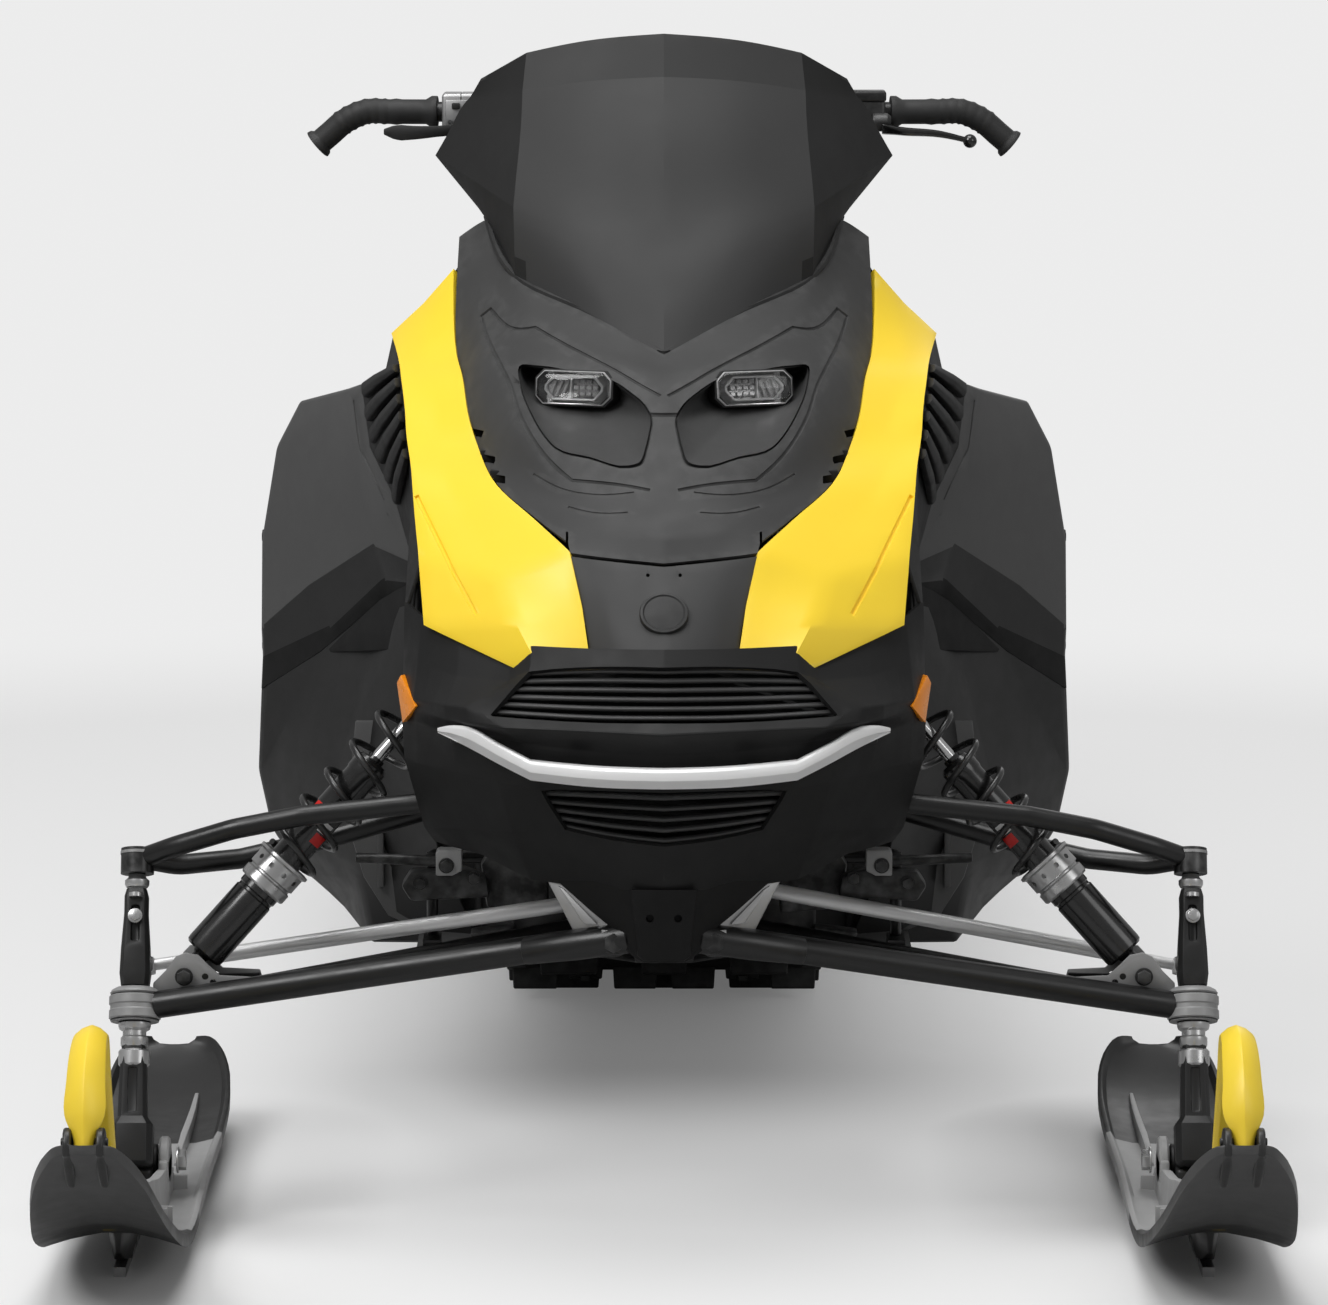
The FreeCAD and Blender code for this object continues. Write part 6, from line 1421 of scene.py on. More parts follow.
def make_ski_parts(hand, side):
    """A ski: moulded blade, keel, deck ribs, saddle, damper block, front prongs and the grab loop."""
    body = "ski_body_" + hand
    blade = swept(SKI_SECTIONS, ski_ring)
    bevelled(blade, 1.6 * MM, 2, 40.0)
    keel = swept(((-190, 3, 2), (-165, 9, 0.6), (-60, 10, 0), (200, 10, 0), (318, 9, 0), (340, 3, 2)),
                 lambda s, w, e: trapezium(SKI_CENTRE, s, w * 0.7, w * 1.3, 10.2 + e * 9, sole_height(s) + 3))
    bevelled(keel, 1.0 * MM)
    blade = handed([blade, keel], side)
    blade.data.materials.clear()
    for material in (ski_grey, ski_black, ski_shovel_painted_light):
        blade.data.materials.append(material)
    for face in blade.data.polygons:
        station = face.center.y / MM - SPINDLE_LINE
        # the keel and the faces that look down take the black plastic: painted shade under the ski
        shaded_underside = face.center.z < (sole_height(station) + 1.0) * MM or face.normal.z < -0.3
        # the shovel takes the lighter copy of the black plastic: painted light
        face.material_index = 2 if station < SHOVEL_END else int(station > HEEL_START or shaded_underside)
    finished(blade, "ski_blade_" + hand, None, body, "ski_plastic", ("ski_" + hand,), 40)
    ribs = []
    for x in (-31, 31):
        ribs.append(ski_rib(x, ((-330, 4.2, 20), (-290, 5.0, 42), (-240, 5.2, 50), (-120, 5.2, 50),
                                (-20, 4.6, 44),
                                (60, 3.2, 26), (100, 2.8, 12)), 1.5, 1, 1.4))
        for station in (-210, -150, 40):
            low = sole_height(station)
            ribs.append(box(at(SKI_CENTRE + x * 1.2 - 14, station - 2.5, low + 1),
                            at(SKI_CENTRE + x * 1.2 + 14, station + 2.5, low + 24), 1.0))
    for x in (-31.2, 31.2):
        ribs.append(ski_rib(x, ((150, 2, 12), (200, 3, 18), (380, 3, 18), (440, 2, 12)), 1.4, 7, 1.0))
    for way in (-1, 1):
        x = SKI_CENTRE + way * 31
        ribs.append(turned(((0, -5), (22, -5), (24, -3), (24, 3), (22, 5), (0, 5)),
                           at(x + way, 0, SADDLE_BOLT),
                           OUT, 32))
        ribs.append(box(at(x + way - 5, -46, 34), at(x + way + 5, 46, 62), 2.0))
        ribs.append(box(at(x + way - 5, -30, 58), at(x + way + 5, 30, 84), 3.0))
    finished(handed(ribs, side), "ski_ribs_" + hand, ski_grey, body, "ski_plastic")
    damper = [box(at(SKI_CENTRE - 20, -84 + index * 28, 38),
                  at(SKI_CENTRE + 20, -64 + index * 28, 52 - 1.6 * abs(index - 2.5)), 3.0)
              for index in range(6)]
    damper.append(box(at(SKI_CENTRE - 18, -92, 37), at(SKI_CENTRE + 18, 84, 43), 2.0))
    finished(handed(damper, side), "ski_damper_" + hand, track_rubber, body, "track_rubber")
    prongs = []
    for x in (-15.5, 15.5):
        prong = swept(((-541, 3.6, 205, 214), (-532, 4.6, 200, 226), (-518, 5, 187, 227),
                       (-504, 4.6, 174, 214),
                       (-492, 3.6, 163, 186)),
                      lambda s, w, low, high: trapezium(SKI_CENTRE + x, s, w, w * 0.8, low, high))
        prongs.append(bevelled(prong, 2.0 * MM, 3))
    prongs.append(rod(at(SKI_CENTRE - 22, -521, 214), at(SKI_CENTRE + 22, -521, 214), 4.0, 1.0, 20))
    finished(handed(prongs, side), "ski_prongs_" + hand, ski_black, body, "ski_plastic")
    loop = loft(across_rows(loop_rings(), 4))
    bevelled(loop, 1.2 * MM, 2, 25.0)
    finished(handed([loop], side), "ski_grab_loop_" + hand, yellow_plastic, body, "yellow_plastic",
             ("ski_loop_" + hand,), 24)


# ------------------------------------------------------------------ handlebar
COLUMN_FOOT = at(0, 98.6, 462)
COLUMN_TOP = at(0, 640, 1075)
BAR_MIDDLE = COLUMN_TOP + (COLUMN_TOP - COLUMN_FOOT).normalized() * 8 * MM
BAR = [BAR_MIDDLE + Vector(step) * MM for step in ((60, 0, 0), (150, 4, 24), (338, 16, 24), (378, 20, -10))]


def bar_point(x):
    """The point of the straight part of the left-hand grip at a distance from the middle."""
    return mixed(BAR[1], BAR[2], (x - 150.0) / 188.0)


def off_bar(middle, x, back, up):
    """A point at a distance to the left, set back and up from a point of the bar, in millimetres."""
    return Vector((x * MM, middle.y + back * MM, middle.z + up * MM))


def make_grips():
    """Rubber grips with a flange, raised bands and a flared end."""
    path = smooth_line([bar_point(248), bar_point(300), bar_point(326), mixed(BAR[2], BAR[3], 0.32),
                        mixed(BAR[2], BAR[3], 0.72), BAR[3] + (BAR[3] - BAR[2]).normalized() * 4 * MM], 8)
    sections = []
    for index, point in enumerate(path):
        along = (path[min(index + 1, len(path) - 1)] - path[max(index - 1, 0)]).normalized()
        place = frame_on(point, along, Vector((0, 1, 0)))
        radius = 13.6 + (0.9 if index % 3 == 1 and 4 < index < 26 else 0.0)
        if index < 2:
            radius = 17.5
        if index > len(path) - 4:
            radius = 15.5 + 0.6 * (index - len(path) + 4)
        sections.append([place @ (Vector((math.cos(2 * math.pi * k / 20), math.sin(2 * math.pi * k / 20), 0))
                                  * radius * MM) for k in range(20)])
    grip = loft(sections)
    bevelled(grip, 0.8 * MM, 2, 50.0)
    pair_of([grip], "rubber_grips", grip_rubber, "grip_rubber", ("grips",), 50, "handlebar_assembly")
    collar = turned(((11.2, -4), (16, -4), (17, -3), (17, 3), (16, 4), (11.2, 4), (11.2, -4)), bar_point(192),
                    BAR[2] - BAR[1], 32)
    pair_of([collar], "bar_collars", black_steel, "coated_steel", (), 35, "handlebar_assembly")


def make_controls():
    """Throttle block with its thumb lever on the right, brake master cylinder and lever on the left."""
    body = "handlebar_assembly"
    middle = bar_point(221)

    def part(low, high, *edge):
        return box(off_bar(middle, *low), off_bar(middle, *high), *edge)
    house = part((-243, -18, -19), (-199, 28, 21), 4.0, 3)
    lid = part((-239, -20, -14), (-203, -16, 14), 1.4)
    cut(house, [part((-222.5, -19, -20), (-221.5, 29, 22), 0)])
    screws = [turned(((0, 0), (1.8, 0), (2.6, 0.8), (2.6, 2), (0, 2)), off_bar(middle, x, -20, z), FORWARD,
                     12)
              for x, z in ((-234, -10), (-208, 10))]
    finished(joined([house, lid]), "throttle_housing", frame_aluminium, body, "bare_aluminium",
             ("throttle_control",))
    finished(joined(screws), "throttle_screws", black_steel, body, "coated_steel")
    root, tip = off_bar(middle, -206, -26, -15), off_bar(middle, -306, -30, -20)
    bow = Vector((0, -8, -2)) * MM
    path = smooth_line([root, mixed(root, tip, 0.35) + bow, mixed(root, tip, 0.75) + bow, tip], 5)
    lever = loft([[p + Vector((0, a, b)) * MM for a, b in
                   ((-2.5, -w), (2.5, -w), (3.5, 0), (2.5, w), (-2.5, w), (-3.5, 0))]
                  for p, w in zip(path, (7, 6.5, 6, 6, 6, 6, 6, 6.5, 7, 7.5, 8, 8.5, 8, 7, 5, 3))])
    bevelled(lever, 1.0 * MM)
    switches = [part((x, -24, 4), (x + 9, -19, 11), 1.5) for x in (-232, -218)]
    finished(joined([lever] + switches), "throttle_lever", black_trim, body, "black_trim")
    middle = bar_point(220)
    clamp = part((198, -22, -17), (242, 26, 14), 4.0, 3)
    tank = part((200, -24, 12), (243, 10, 24), 3.0, 3)
    nose = turned(((0, -8), (9, -8), (10, -6), (10, 8), (7, 12), (0, 12)), off_bar(middle, 236, -26, -10),
                  OUT, 24)
    finished(joined([clamp, tank, nose]), "brake_cylinder", black_steel, body, "coated_steel",
             ("brake_control",))
    start, end = off_bar(middle, 238, -30, -16), off_bar(middle, 334, -33, -30)
    line = smooth_line([start, mixed(start, end, 0.2) + Vector((0, -6, 0)) * MM,
                        mixed(start, end, 0.65) + Vector((0, -5, 3)) * MM, end], 6)
    widths = (8.5, 8, 7.5, 7, 6.5, 6.2, 6, 5.8, 5.6, 5.4, 5.2, 5, 4.8, 4.6, 4.4, 4.2, 4, 4, 4)
    blade = loft([[p + Vector((0, a * w, b * w)) * MM for a, b in
                   ((-1, -0.55), (0, -0.8), (1, -0.55), (1, 0.55), (0, 0.8), (-1, 0.55))]
                  for p, w in zip(line, widths)])
    bevelled(blade, 1.0 * MM, 2, 40.0)
    ball = turned([(7.6 * math.sin(math.pi * k / 12), -7.6 * math.cos(math.pi * k / 12)) for k in range(13)],
                  end, OUT, 24)
    bolts = [hexagon(off_bar(middle, 206, -22, z), FORWARD, 8, 4) for z in (-10, 7)]
    finished(joined([blade, ball]), "brake_lever", black_gloss, body, "coated_steel")
    finished(joined(bolts), "brake_bolts", zinc_steel, body, "bare_aluminium")


# ------------------------------------------------------------------ front mounts and engine bay
def plate_of(outline, station, thickness, edge=1.0):
    """A flat plate that stands across the machine: an outline of (x, z) at a station."""
    rings = [[at(x, s, z) for x, z in outline] for s in (station, station + thickness)]
    return bevelled(loft(rings), edge * MM, 2, 40.0)


def make_front_mounts():
    """Shock brackets, sway bar clamps, frame castings and the panels that close the engine bay."""
    outline = [(519, 244), (519, 256), (506, 269), (496, 283), (486, 287.5), (473, 285), (463, 275),
               (451, 264),
               (413, 262), (411, 255), (440, 249)]
    behind = [(508, 246), (508, 252), (499, 264), (491, 280), (484, 287.5)] + outline[5:]
    brackets = []
    for station, edge in ((27, outline), (69, behind)):
        slots = [rod(at(x, station - 5, z), at(x, station + 9, z), 3.4, 0, 14) for x,
                 z in ((466, 263), (458, 257))]
        brackets.append(cut(plate_of(edge, station, 4), slots))
    pair_of(brackets, "shock_brackets", grey_steel, "coated_steel")
    clamp = plate_of(((208, 354), (218, 349), (235, 349), (235, 373), (232, 376), (208, 376)), 126, 22, 1.6)
    pair_of([clamp], "sway_bar_clamps", grey_steel, "bare_aluminium")
    castings = [hexagon(at(224, 125, 360), FORWARD, 13, 5),
                plate_of(((180, 322), (262, 318), (272, 334), (262, 350), (206, 352), (184, 344)), 149, 25,
                         4),
                plate_of(((120, 300), (184, 306), (190, 352), (160, 400), (120, 410)), 175, 30, 4),
                rod(at(232, 140, 362), at(318, 150, 364), 5.5, 1.5, 16),
                plate_of(((150, 252), (196, 250), (204, 268), (158, 274)), 240, 30, 3)]
    castings += [hexagon(at(x, 147, z), FORWARD, 12, 6) for x, z in ((196, 343), (252, 338))]
    pair_of(castings, "frame_castings", black_steel, "coated_steel")
    liner = plate_of(((100, 236), (252, 238), (296, 258), (322, 300), (340, 360), (330, 470), (100, 470)),
                     392, 4, 1.5)
    ribs = [plate_of(((x, low), (x + 7, low), (x + 7, 460), (x, 460)), 384, 9, 1.5)
            for x, low in ((140, 244), (196, 246), (252, 250), (300, 290))]
    shelf = loft([[at(x, s, z) for x, z in ((104, 236), (262, 238), (262, 242), (104, 240))] for s in (250,
                                                                                                       396)])
    pair_of([liner, shelf] + ribs, "engine_bay_liners", side_panel, "black_panel")
    walls = [box(at(116, 60, 440), at(120, 394, 690), 1.5)]
    walls += [box(at(119, station, 446), at(126, station + 8, 684), 1.5) for station in (110, 180, 250, 320)]
    pair_of(walls, "engine_bay_walls", dark_panel, "black_panel")


KEEL = (
    ((0, -112, 384), (33, -108, 384), (72, -90, 384), (114, -64, 384)),
    ((0, -114, 350), (29.5, -111, 350), (52, -100, 350), (72, -84, 350)),
    ((0, -115, 331), (28, -112, 331), (37, -106, 331), (46, -98, 331)),
    ((0, -115, 317), (27, -112, 317), (35, -106, 317), (43, -100, 317)),
    ((0, -113, 304), (20, -111, 304), (24, -108, 305), (27, -104, 306)))


def make_chin():
    """The keel under the nose, its pierced plate, the light plates beside it and the arm sleeves."""
    keel = panel(KEEL, 2, 2, sharp_columns=(1, 2), sharp_rows=(1, 2, 3))
    walled(keel, 4 * MM)
    bevelled(keel, 1.2 * MM, 2, 20.0)
    # the keel and its plate take the darker copy of the lower plastic: painted shade
    finished(keel, "chin_keel", belly_painted_shade_plastic, slot="black_panel", smooth=15)
    plate = plate_of(((-33, 379), (33, 379), (26, 312), (20, 307), (-20, 307), (-26, 312)), -119, 6, 1.4)
    holes = [rod(at(x, -128, 350), at(x, -104, 350), 4.0, 0, 16) for x in (-14, 14)]
    cut(plate, holes)
    finished(plate, "chin_plate", belly_painted_shade_plastic, "chassis", "black_panel")
    fin = loft([[at(x, s + back, z) for x, s, z in ((118, -58, 380), (104, -64, 378), (42, -93, 328),
                                                    (90, -74, 328))]
                for back in (0, 4)])
    crease = loft([[at(x, s + back, z) for x, s, z in ((106, -67, 374), (99, -70, 370), (66, -88, 338),
                                                       (80, -84, 338))]
                   for back in (0, 6)])
    for piece in (fin, crease):
        bevelled(piece, 1.2 * MM)
    pair_of([fin, crease], "keel_side_plates", frame_aluminium, "bare_aluminium")
    foot, far = at(33, -92, 326), at(165, -54, 301)
    sleeve = turned(((0, 0), (14.4, 0), (15.6, 1.5), (15.6, 58), (13.4, 112), (0, 114)), foot, far - foot, 32)
    bevelled(sleeve, 0.6 * MM)
    pair_of([sleeve], "arm_pivot_sleeves", coated_steel, "coated_steel")


# ------------------------------------------------------------------ softened frame pieces
# node, piece, finish, slot, width of the broken edge, and its body where that isn't the chassis
SOFT_NODES = (
    # the belly tray takes the darker copy of the lower plastic: painted shade
    ("belly_pan", "belly_tray", belly_painted_shade_plastic, "black_panel", 3.0),
    ("front_frame", "front_bulkhead", frame_aluminium, "bare_aluminium", 1.0),
    ("engine_block", "engine_casting", engine_metal, "bare_aluminium", 4.0),
    ("slide_rails", "slide_rail_beams", frame_aluminium, "bare_aluminium", 1.0),
    ("skid_arms", "skid_arm_tubes", coated_steel, "coated_steel", 0.8),
    ("skid_shocks", "skid_shock_bodies", shock_black, "coated_steel", 0.8),
    ("skid_shafts", "skid_cross_shafts", zinc_steel, "bare_aluminium", 0.8),
    ("tunnel", "tunnel_sheet", frame_aluminium, "bare_aluminium", 0.8),
    ("dash_console", "dash_cover", black_trim, "black_trim", 2.5),
    ("rear_bumper", "rear_bumper_tubes", coated_steel, "coated_steel", 1.0),
    ("tail_housing", "tail_cover", black_panel, "black_trim", 5.0),
    ("sway_bar", "sway_bar_rod", coated_steel, "coated_steel", 0.8),
    ("handlebar", "handlebar_tube", coated_steel, "coated_steel", 1.0, "handlebar_assembly"),
    ("steering_column", "steering_post", coated_steel, "coated_steel", 1.0, "handlebar_assembly"),
    ("pitman_arm", "steering_arm", black_steel, "black_steel", 1.0, "pitman"),
)


def make_soft_nodes():
    """Frame pieces that need no more than broken edges."""
    for node_name, name, material, slot, width, *body in SOFT_NODES:
        finished(softened(node_name, width), name, material, *(body or ["chassis"]), slot, (node_name,))


# ------------------------------------------------------------------ drive belt and skid
DRIVE_AXLE = (830, 345)
# the circles that the belt runs round: station, height and radius
BELT_CIRCLES = ((*DRIVE_AXLE, 92), (1600, 312, 60), (2127.6, 123, 90), (1310, 293, 260))
BELT_THICK, LUG_ROWS = 8.0, 45


def belt_line():
    """Points round the belt's inner face, each with its outward direction, as (station, height) pairs."""
    angles = []
    for (s1, z1, r1), (s2, z2, r2) in zip(BELT_CIRCLES, BELT_CIRCLES[1:] + BELT_CIRCLES[:1]):
        length = math.hypot(s2 - s1, z2 - z1)
        angles.append(math.atan2(z2 - z1, s2 - s1) + math.acos((r1 - r2) / length))
    line = []
    for index, (s, z, r) in enumerate(BELT_CIRCLES):
        start, end = angles[index - 1], angles[index]
        while start < end:
            start += 2 * math.pi
        steps = max(2, int((start - end) * r / 14))
        for step in range(steps + 1):
            angle = start + (end - start) * step / steps
            out = Vector((0, math.cos(angle), math.sin(angle)))
            line.append((at(0, s, z) + out * r * MM, out))
    return line


def evenly(line, count, shift=0.0):
    """Places spaced evenly round the closed belt line."""
    runs = [(line[(i + 1) % len(line)][0] - line[i][0]).length for i in range(len(line))]
    total = sum(runs)
    places, index, done = [], 0, 0.0
    for step in range(count):
        goal = total * (step + shift) / count
        while done + runs[index] < goal:
            done += runs[index]
            index += 1
        share = (goal - done) / runs[index]
        (a, out_a), (b, out_b) = line[index], line[(index + 1) % len(line)]
        places.append((a.lerp(b, share), out_a.lerp(out_b, share).normalized()))
    return places


def on_belt(place):
    """A matrix on the belt: X across the machine, Z outwards."""
    point, out = place
    matrix = Matrix((OUT, out.cross(OUT), out)).transposed().to_4x4()
    matrix.translation = point
    return matrix


def lug_block(low, high, half, tall):
    """A lug on the belt's outside between two places across it, narrower at its top."""
    piece = block((low, -half, BELT_THICK - 1), (high, half, BELT_THICK + tall), 0)
    for vertex in piece.data.vertices:
        if vertex.co.z > BELT_THICK * MM:
            vertex.co.y *= 0.62
            vertex.co.x += (low + high) / 2 * MM * 0.06 - vertex.co.x * 0.06
    return bevelled(piece, 1.4 * MM, 1)


def make_track():
    """The belt with its lugs, drive teeth and clips."""
    line = belt_line()
    section = ((-190.5, 1), (-189.5, 0), (189.5, 0), (190.5, 1), (190.5, 7), (189.5, 8), (-189.5, 8),
               (-190.5, 7))
    rings = [[point + (OUT * x + out * r) * MM for x, r in section] for point, out in line]
    belt = loft(rings + rings[:1], closed=False)
    rows = []
    for low_row in (((-184, -128, 25), (-62, -8, 25), (8, 62, 25), (128, 184, 25), (-116, -74, 13),
                     (74, 116, 13)),
                    ((-190, -164, 16), (-150, -78, 25), (-28, 28, 25), (78, 150, 25), (164, 190, 16))):
        rows.append(joined([lug_block(low, high, 7, tall) for low, high, tall in low_row]))
    pieces = [belt]
    for index, place in enumerate(evenly(line, LUG_ROWS, 0.2)):
        pieces.append(twin(rows[index % 2], on_belt(place)))
    between = evenly(line, LUG_ROWS, 0.7)
    for place in between:
        for x in (-72, 72):
            tooth = block((x - 9, -9, -14), (x + 9, 9, 1), 2.0, 1)
            tooth.data.transform(on_belt(place))
            pieces.append(tooth)
    for row in rows:
        bpy.data.objects.remove(row)
    finished(joined(pieces), "drive_belt", track_rubber, "chassis", "track_rubber", ("track",), 30)
    clip = block((-13, -11, 6.5), (13, 11, 9.4), 1.0, 1)
    clips = [twin(clip, Matrix.Translation(OUT * x * MM) @ on_belt(place)) for place in between for x in (-95,
                                                                                                          95)]
    bpy.data.objects.remove(clip)
    finished(joined(clips), "belt_clips", zinc_steel, "chassis", "bare_aluminium")


# the left-hand wheels: station, height and radius
WHEELS = ((2127.6, 123, 89.2), (1600, 312, 59.2), (1560, 84, 50.2), (1860, 84, 50.2))


def make_wheels():
    """Rubber-tyred idler wheels with dished, pierced discs, and the belt sprockets with their teeth."""
    discs, tyres, caps = [], [], []
    for station, height, radius in WHEELS:
        centre = at(116, station, height)
        tyres.append(turned(((radius - 9, -10), (radius - 3, -11), (radius, -8), (radius, 8),
                             (radius - 3, 11),
                             (radius - 9, 10), (radius - 9, -10)), centre, OUT, 48))
        disc = turned(((11.4, -7), (24, -8), (26, -3), (radius - 20, -2), (radius - 9, -8), (radius - 9, 8),
                       (radius - 20, 3), (26, 4), (24, 9), (11.4, 9), (11.4, -7)), centre, OUT, 40)
        holes = []
        for index in range(6):
            turn = math.radians(60 * index)
            middle = centre + Vector((0, math.cos(turn), math.sin(turn))) * (radius * 0.5 + 4) * MM
            holes.append(rod(middle - OUT * 14 * MM, middle + OUT * 14 * MM, radius * 0.11, 0, 16))
        discs.append(cut(disc, holes))
        caps.append(turned(((0, 9), (9, 9), (11, 10), (11, 13), (0, 14)), centre, OUT, 20))
        caps.append(hexagon(centre + OUT * 14 * MM, OUT, 15, 7))
    pair_of(tyres, "wheel_tyres", track_rubber, "track_rubber")
    pair_of(discs, "wheel_discs", black_trim, "black_trim", ("idler_wheels",))
    pair_of(caps, "wheel_caps", zinc_steel, "bare_aluminium")
    teeth = 9
    outline = [(2 * math.pi * (tooth + share) / teeth, radius) for tooth in range(teeth)
               for share, radius in ((0.0, 84), (0.3, 84), (0.42, 91), (0.88, 91))]
    station, height = DRIVE_AXLE
    sprockets = []
    for x in (48, 130):
        rings = [[at(x + step, station + math.cos(a) * (r - less), height + math.sin(a) * (r - less))
                  for a, r in outline] for step, less in ((-13, 1.5), (-11.5, 0), (11.5, 0), (13, 1.5))]
        sprockets.append(loft(rings))
    pair_of(sprockets, "drive_sprockets", black_trim, "black_trim")
    finished(rod(at(-200, *DRIVE_AXLE), at(200, *DRIVE_AXLE), 18, 1.5, 6), "drive_shaft", zinc_steel,
             "chassis",
             "bare_aluminium", ("drive_axle",))
    shoe = swept(((1190, 5, 30), (1230, 7, 27), (1300, 7, 26.5), (2040, 7, 26.5), (2070, 7, 28)),
                 lambda s, w, z: trapezium(95, s, w, w, z, z + 6), 1)
    pair_of([shoe], "rail_shoes", flap_rubber, "flap_rubber")


# ------------------------------------------------------------------ tunnel, boards and tail
def board_height(station):
    """The running board rises evenly from station 790 to the back."""
    return 300 + (station - 790) * 40 / 1460


def board_places(columns, first, count):
    """Places in columns along the board, every other column half a step on."""
    for column, x in enumerate(columns):
        for index in range(count):
            station = first + index * 88 + (44 if column % 2 else 0)
            yield x, station, board_height(station)


def make_boards():
    """Running boards with holes and traction teeth, their braces, the tunnel's rivets and the rack's ribs."""
    rows = []
    for station, z in ((734, 266), (760, 282), (790, 300), (1100, 308.5), (1500, 319.5), (1900, 330.4),
                       (2250, 340)):
        rows.append([at(206, station, z), at(212, station, z + 1), at(300, station, z), at(404, station, z),
                     at(418, station, z + 4), at(425, station, z + 20), at(419, station, z + 22)])
    sheet = facing(sheet_of(rows), UP)
    walled(sheet, 3.0 * MM)
    cut(sheet, [box(at(x - 13, station - 24, z - 12), at(x + 13, station + 24, z + 12), 7.0, 2)
                for x, station, z in board_places((246, 292, 338, 384), 880, 15)])
    profile = ((2.5, -1), (7, 0), (5.5, 5), (3.6, 6.2), (2.5, 5.5), (2.5, -1))
    teeth = [turned(profile, at(*place), UP, 12) for place in board_places((269, 315, 361), 858, 16)]
    pair_of([sheet] + teeth, "running_board_sheets", frame_aluminium, "bare_aluminium", ("running_boards",),
            30)
    rivet = turned(((0, 0), (5.2, 0), (5, 1.4), (3, 2.6), (0, 3)), Vector((0, 0, 0)), OUT, 12)
    rivets = [twin(rivet, Matrix.Translation(at(206, 700 + 52 * index,
                                                z))) for index in range(31) for z in (345, 520)]
    bpy.data.objects.remove(rivet)
    pair_of(rivets, "tunnel_rivets", bare_aluminium, "bare_aluminium")
    ribs = [box(at(-170, station - 5, 539.5), at(170, station + 5, 543), 1.5) for station in (2160, 2220,
                                                                                              2280)]
    finished(joined(ribs), "rack_ribs", frame_aluminium, "chassis", "bare_aluminium")
    braces = [rod(at(208, 2150, 505), at(418, 2130, 350), 8.0, 1.0, 20),
              rod(at(208, 2000, 500), at(416, 1880, 345), 7.0, 1.0, 20)]
    pair_of(braces, "board_braces", coated_steel, "coated_steel")


TUNNEL_TOP = 540.3


def tank_ring(station, low, high, top):
    """A section of the tank cover from its half widths below and above, and its top."""
    half = ((low * 0.9, TUNNEL_TOP), (low, 552), (low * 1.01, (540 + top) / 2 - 40), (low, top - 96),
            (low * 0.93, top - 78), (high, top - 10), (high * 0.82, top - 3), (high * 0.4, top + 3))
    ring = ((0, TUNNEL_TOP),) + half + ((0, top + 5),) + tuple((-x, z) for x, z in reversed(half))
    return [at(x, station, z) for x, z in ring]


def knee_pad_ring(station, half):
    """A section of a knee pad; it follows the tank as this narrows towards the back."""
    back, front = max(0, station - 890) * 0.42, max(0, station - 880) * 0.42
    return [at(x, station, z) for x, z in
            ((188 - back, 720 + half), (206 - front, 716 + half), (211 - front, 700),
             (207 - front, 690 - half),
             (186 - back, 690 - half))]


def make_tank():
    """The tank cover between the dash and the seat, with its seams, knee pads and cap."""
    cover = swept(((764, 186, 120, 888), (880, 205, 112, 872), (1000, 150, 92, 840), (1120, 96, 66, 770)),
                  tank_ring, 6)
    bevelled(cover, 5 * MM, 3, 24.0)
    seams = (((189, 764, 640), (204, 880, 640), (158, 980, 630), (110, 1085, 610)),
             ((96, 764, 888), (92, 880, 873), (76, 1000, 842), (54, 1120, 772)))
    cut(cover, [tube([at(side * x, s, z) for x, s, z in seam], 2.0, 6) for side in SIDES for seam in seams])
    finished(cover, "tank_cover_shell", black_panel, "chassis", "black_panel", ("fuel_tank_cover",), 35)
    pad = swept(((800, 22), (850, 46), (930, 44), (985, 20)), knee_pad_ring, 4)
    bevelled(pad, 2.5 * MM, 2, 30.0)
    pair_of([pad], "knee_pads", flap_rubber, "black_trim")
    gasket = box(at(-58, 1116, 541), at(58, 1131, 726), 4.0, 3)
    finished(gasket, "seat_front_gasket", flap_rubber, "chassis", "black_trim")
    cap = turned(((0, 32), (8, 34), (30, 32), (36, 28), (38, 22), (38, 6), (34, 0), (42, -2), (44, -8),
                  (0, -8)),
                 at(0, 865, 874), (at(0, 880, 907) - at(0, 872, 872)).normalized(), 48)
    finished(cap, "fuel_cap_disc", black_trim, "chassis", "black_trim", ("fuel_cap",))
    knobs = []
    for index in range(12):
        angle = 2 * math.pi * index / 12
        foot = at(38 * math.cos(angle), 866 + 38 * math.sin(angle), 885)
        knobs.append(rod(foot, foot + UP * 16 * MM, 3.2, 1.2, 10))
    finished(joined(knobs), "fuel_cap_grips", black_trim, "chassis", "black_trim")


SEAT_START, SEAT_END = 1121.0, 1951.0
SWELL_ROOM = 7.0
LARGEST_SWELL = 9 * MM
SEAM_WIDTH = 0.012
SEAM_DEPTH = 0.0042
LOWEST_SEAM = 0.66


def seat_ring(share, base, top, drop, less):
    """One cross-section of the seat, drawn in by a few millimetres so that it can swell."""
    station = SEAT_START + (SEAT_END - SEAT_START) * share
    low, high = TUNNEL_TOP + less * 0.4, 765.0 - drop - less
    wide, crown = 140 * base - less, 140 * top - less
    half = ((wide, low + 14), (wide * 1.03, (low + high) / 2), (wide * 1.01, high - 70),
            (crown + 3, high - 18),
            (crown * 0.78, high - 3), (crown * 0.35, high + 3))
    bottom = ((-wide * 0.9, low), (0, low), (wide * 0.9, low))
    ring = bottom + half + ((0, high + 4),) + tuple((-x, z) for x, z in reversed(half))
    return [at(x, station, z) for x, z in ring]


